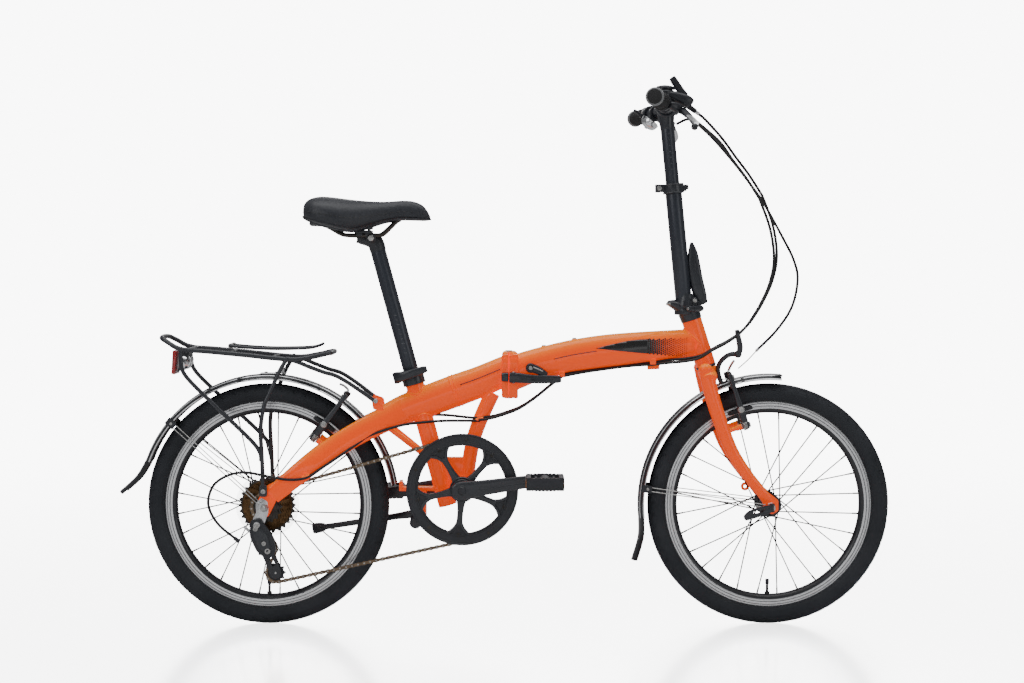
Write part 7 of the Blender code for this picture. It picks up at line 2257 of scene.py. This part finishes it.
def cables():
    """Three cables, split where they cross a joint, and the rear runs on the frame."""
    gap = 0.006
    start, way = barrel_of(-1)
    brake_start = (tuple(start + way * 0.0225), tuple(start + way * 0.04))
    gear_start = ((0.3865, -0.1115, 1.0436), (0.402, -0.109, 1.031))
    blended("bar_cables", pair_of(PAIR[:5], gap, (brake_start, gear_start)))
    blended("post_cables", pair_of(PAIR[4:9], gap))
    blended("head_cables", pair_of(PAIR[8:], gap))
    under = Build()
    for shape, key in pair_of(LOWER, 0.0046):
        under.add(shape, key)
    for x, z in ((0.306, 0.539), (0.119, 0.513)):
        under.add(block((x, -0.012, z + 0.004), (0.012, 0.015, 0.011)), "orange")
    under.done("frame_cables", "front_frame_assembly", "black_plastic", ("front_cables",), bevel=0.0006)
    blended("hinge_cables", pair_of(SAG, 0.0046))
    rear = Build().add(tube(GEAR, CABLE_RADIUS, 14, 6), "cable")
    rear.add(cyl(GEAR[-1], Vector(GEAR[-1]) + (Vector(GEAR[-1]) - Vector(GEAR[-2])).normalized() * 0.012,
                 0.0042, 20), "plastic")
    brake_run = [(-0.0494, -0.013, 0.4262), (-0.075, -0.012, 0.4285), (-0.1257, -0.008, 0.433),
                 (-0.17, 0.01, 0.43), (-0.215, 0.026, 0.415), (-0.25, 0.02, 0.412)]
    rear.add(tube(brake_run, CABLE_RADIUS, 14, 6), "cable")
    rear.done("rear_cables", "rear_frame_assembly", "black_plastic")
    blended("front_brake_cable_top", [(tube(THIRD[:7], CABLE_RADIUS, 14, 6), "cable")])
    last = Vector(THIRD[-1])
    run = (last - Vector(THIRD[-2])).normalized()
    blended("front_brake_cable", [(tube(THIRD[6:], CABLE_RADIUS, 14, 6), "cable")])
    ending = Build().add(cyl(last - run * 0.002, last + run * 0.006, 0.0031, 20), "alloy")
    ending.add(tube([tuple(last), (0.506, 0.03, 0.544), (0.486, 0.026, 0.527)], 0.0013, 10, 3),
               "cable_steel")
    ending.done("front_brake_wire", "fork_assembly", "polished_metal")


def cable_guide():
    """The bent bracket on the fork crown that holds the cables off the head tube."""
    build = Build()
    stem = [(0.448, -0.014, 0.496), (0.442, -0.015, 0.512), (0.439, -0.018, 0.528), (0.443, -0.023, 0.542),
            (0.454, -0.03, 0.5545), (0.466, -0.036, 0.56), (0.476, -0.04, 0.559)]
    build.add(tube(stem, 0.005, 18, 5))
    build.add(ball((0.4775, -0.041, 0.56), 0.0078, 24))
    plate = [(0.48, -0.043, 0.564, 0.0045, 0.0056), (0.481, -0.044, 0.576, 0.006, 0.006),
             (0.477, -0.045, 0.596, 0.006, 0.0054), (0.4745, -0.0455, 0.609, 0.004, 0.0044)]
    build.add(loft(smooth(plate, 4), 20, LEFT, 0.6, dome=0.0012))
    build.add(cyl((0.477, -0.04, 0.598), (0.477, -0.057, 0.598), 0.0042, 24))
    build.done("cable_guide_bracket", "fork_assembly", "black_paint")


# ---------------------------------------------------------------- stage, light and camera

BACKGROUND_GLOW = 9.0
FLOOR_SHEEN = 22.0
CAMERA_AT = Vector((0.0165, -3.9, 0.754))
CAMERA_TARGET = Vector((0.0165, 0.0, 0.584))
LENS_LENGTH = 66.6


def floor_material():
    """A pale floor that takes soft shadows near the bicycle and melts into the background farther off."""
    n = Nodes("studio_floor")
    coords = n.node("ShaderNodeTexCoord")
    length = n.node("ShaderNodeVectorMath", operation="LENGTH")
    n.link(coords.outputs["Object"], length.inputs[0])
    far = n.spread(length.outputs["Value"], 1.0, 4.0)
    n.set(Base_Color=(0.8, 0.8, 0.805, 1.0), Roughness=0.5)
    glow = n.node("ShaderNodeEmission")
    glow.inputs["Strength"].default_value = BACKGROUND_GLOW
    sheen = n.node("ShaderNodeBsdfGlossy")
    sheen.inputs["Color"].default_value = (FLOOR_SHEEN, FLOOR_SHEEN, FLOOR_SHEEN, 1.0)
    sheen.inputs["Roughness"].default_value = 0.16
    polish = n.mix_shaders(n.spread(far, 0.0, 1.0, 0.32, 1.0), sheen.outputs[0], glow.outputs[0])
    seen = n.node("ShaderNodeLightPath").outputs["Is Camera Ray"]
    n.show(n.mix_shaders(seen, n.shader.outputs[0], polish))
    return n.material


def floor():
    """A wide floor that isn't part of the bicycle."""
    mesh = bpy.data.meshes.new("studio_floor")
    mesh.from_pydata([(-14, -8, 0), (14, -8, 0), (14, 20, 0), (-14, 20, 0)], [], [(0, 1, 2, 3)])
    mesh.materials.append(floor_material())
    made = bpy.data.objects.new("studio_floor", mesh)
    bpy.context.scene.collection.objects.link(made)


def world():
    """Soft light from above, and a bright plain background for the camera."""
    made = bpy.data.worlds.new("studio")
    made.use_nodes = True
    bpy.context.scene.world = made
    tree = made.node_tree
    tree.nodes.clear()
    out = tree.nodes.new("ShaderNodeOutputWorld")
    coords = tree.nodes.new("ShaderNodeTexCoord")
    apart = tree.nodes.new("ShaderNodeSeparateXYZ")
    tree.links.new(coords.outputs["Generated"], apart.inputs[0])
    rise = tree.nodes.new("ShaderNodeMapRange")
    tree.links.new(apart.outputs["Z"], rise.inputs["Value"])
    for key, number in (("From Min", -0.15), ("From Max", 0.9), ("To Min", 0.14), ("To Max", 0.36)):
        rise.inputs[key].default_value = number
    around_light = tree.nodes.new("ShaderNodeBackground")
    tree.links.new(rise.outputs["Result"], around_light.inputs["Strength"])
    backdrop = tree.nodes.new("ShaderNodeBackground")
    backdrop.inputs["Strength"].default_value = BACKGROUND_GLOW
    path = tree.nodes.new("ShaderNodeLightPath")
    mix = tree.nodes.new("ShaderNodeMixShader")
    tree.links.new(path.outputs["Is Camera Ray"], mix.inputs[0])
    tree.links.new(around_light.outputs[0], mix.inputs[1])
    tree.links.new(backdrop.outputs[0], mix.inputs[2])
    for shade_node in (around_light, backdrop):
        shade_node.inputs["Color"].default_value = (1.0, 1.0, 1.0, 1.0)
    tree.links.new(mix.outputs[0], out.inputs["Surface"])


def softbox(name, place, target, size, power):
    """A rectangular studio light that the camera doesn't see."""
    light = bpy.data.lights.new(name, "AREA")
    light.shape = "RECTANGLE"
    light.size, light.size_y = size
    light.energy = power
    made = bpy.data.objects.new(name, light)
    bpy.context.scene.collection.objects.link(made)
    made.location = place
    made.rotation_euler = (Vector(target) - Vector(place)).to_track_quat("-Z", "Y").to_euler()
    made.visible_camera = False


def lights():
    softbox("overhead", (0.0, -0.3, 3.2), (0, 0, 0.5), (3.4, 2.0), 48)
    softbox("key", (-2.6, -3.2, 2.3), (0, 0, 0.55), (2.2, 1.8), 30)
    softbox("fill", (3.2, -2.6, 1.3), (0, 0, 0.5), (1.8, 1.8), 14)
    softbox("rim_light", (0.6, 3.6, 2.4), (0, 0, 0.6), (3.2, 1.4), 26)
    softbox("low_front", (0.0, -4.6, 0.35), (0, 0, 0.5), (3.6, 0.5), 6)


def camera():
    """The camera, square on to the bicycle's right side."""
    lens = bpy.data.cameras.new("camera")
    lens.lens = LENS_LENGTH
    lens.sensor_width = 36.0
    made = bpy.data.objects.new("camera", lens)
    bpy.context.scene.collection.objects.link(made)
    made.location = CAMERA_AT
    made.rotation_euler = (CAMERA_TARGET - CAMERA_AT).to_track_quat("-Z", "Y").to_euler()
    bpy.context.scene.camera = made


def dress_cad_nodes():
    """Looks for the CAD nodes that are shown as they are."""
    looks = {"orange_paint": "orange", "black_paint": "satin_black", "black_plastic": "plastic",
             "tyre_rubber": "tyre", "grip_rubber": "grip", "saddle_cover": "saddle",
             "polished_metal": "alloy", "dark_steel": "dark_steel", "red_lens": "red"}
    slots = {row["node"]: row["material_slot"] for row in frame["record"]["subparts"]}
    for name, node in frame["nodes"].items():
        node.data.materials.clear()
        node.data.materials.append(M[looks[slots[name]]])
        shade(node.data, 30)


def brakes():
    for end in ("front", "rear"):
        for name, side in SIDES.items():
            brake_arm(end, name, side)
        brake_links(end)


def seat():
    saddle()
    seatpost()
    seat_clamp()


def handlepost():
    stem_base()
    lower_post()
    stem_lever()
    post_clamp()
    upper_post()


def cockpit():
    handlebar()
    for name, side in SIDES.items():
        brake_lever(name, side)
    shifter()
    bell()
    bell_striker()


def studio():
    floor()
    world()
    lights()
    camera()


dress_cad_nodes()
wheels()
quick_release()
drive()
rear_frame()
front_frame()
hinge_latch()
latch_catch()
decals()
fork()
brakes()
seat()
mudguards()
rear_rack()
rack_clip()
kickstand()
handlepost()
cockpit()
cables()
cable_guide()
studio()
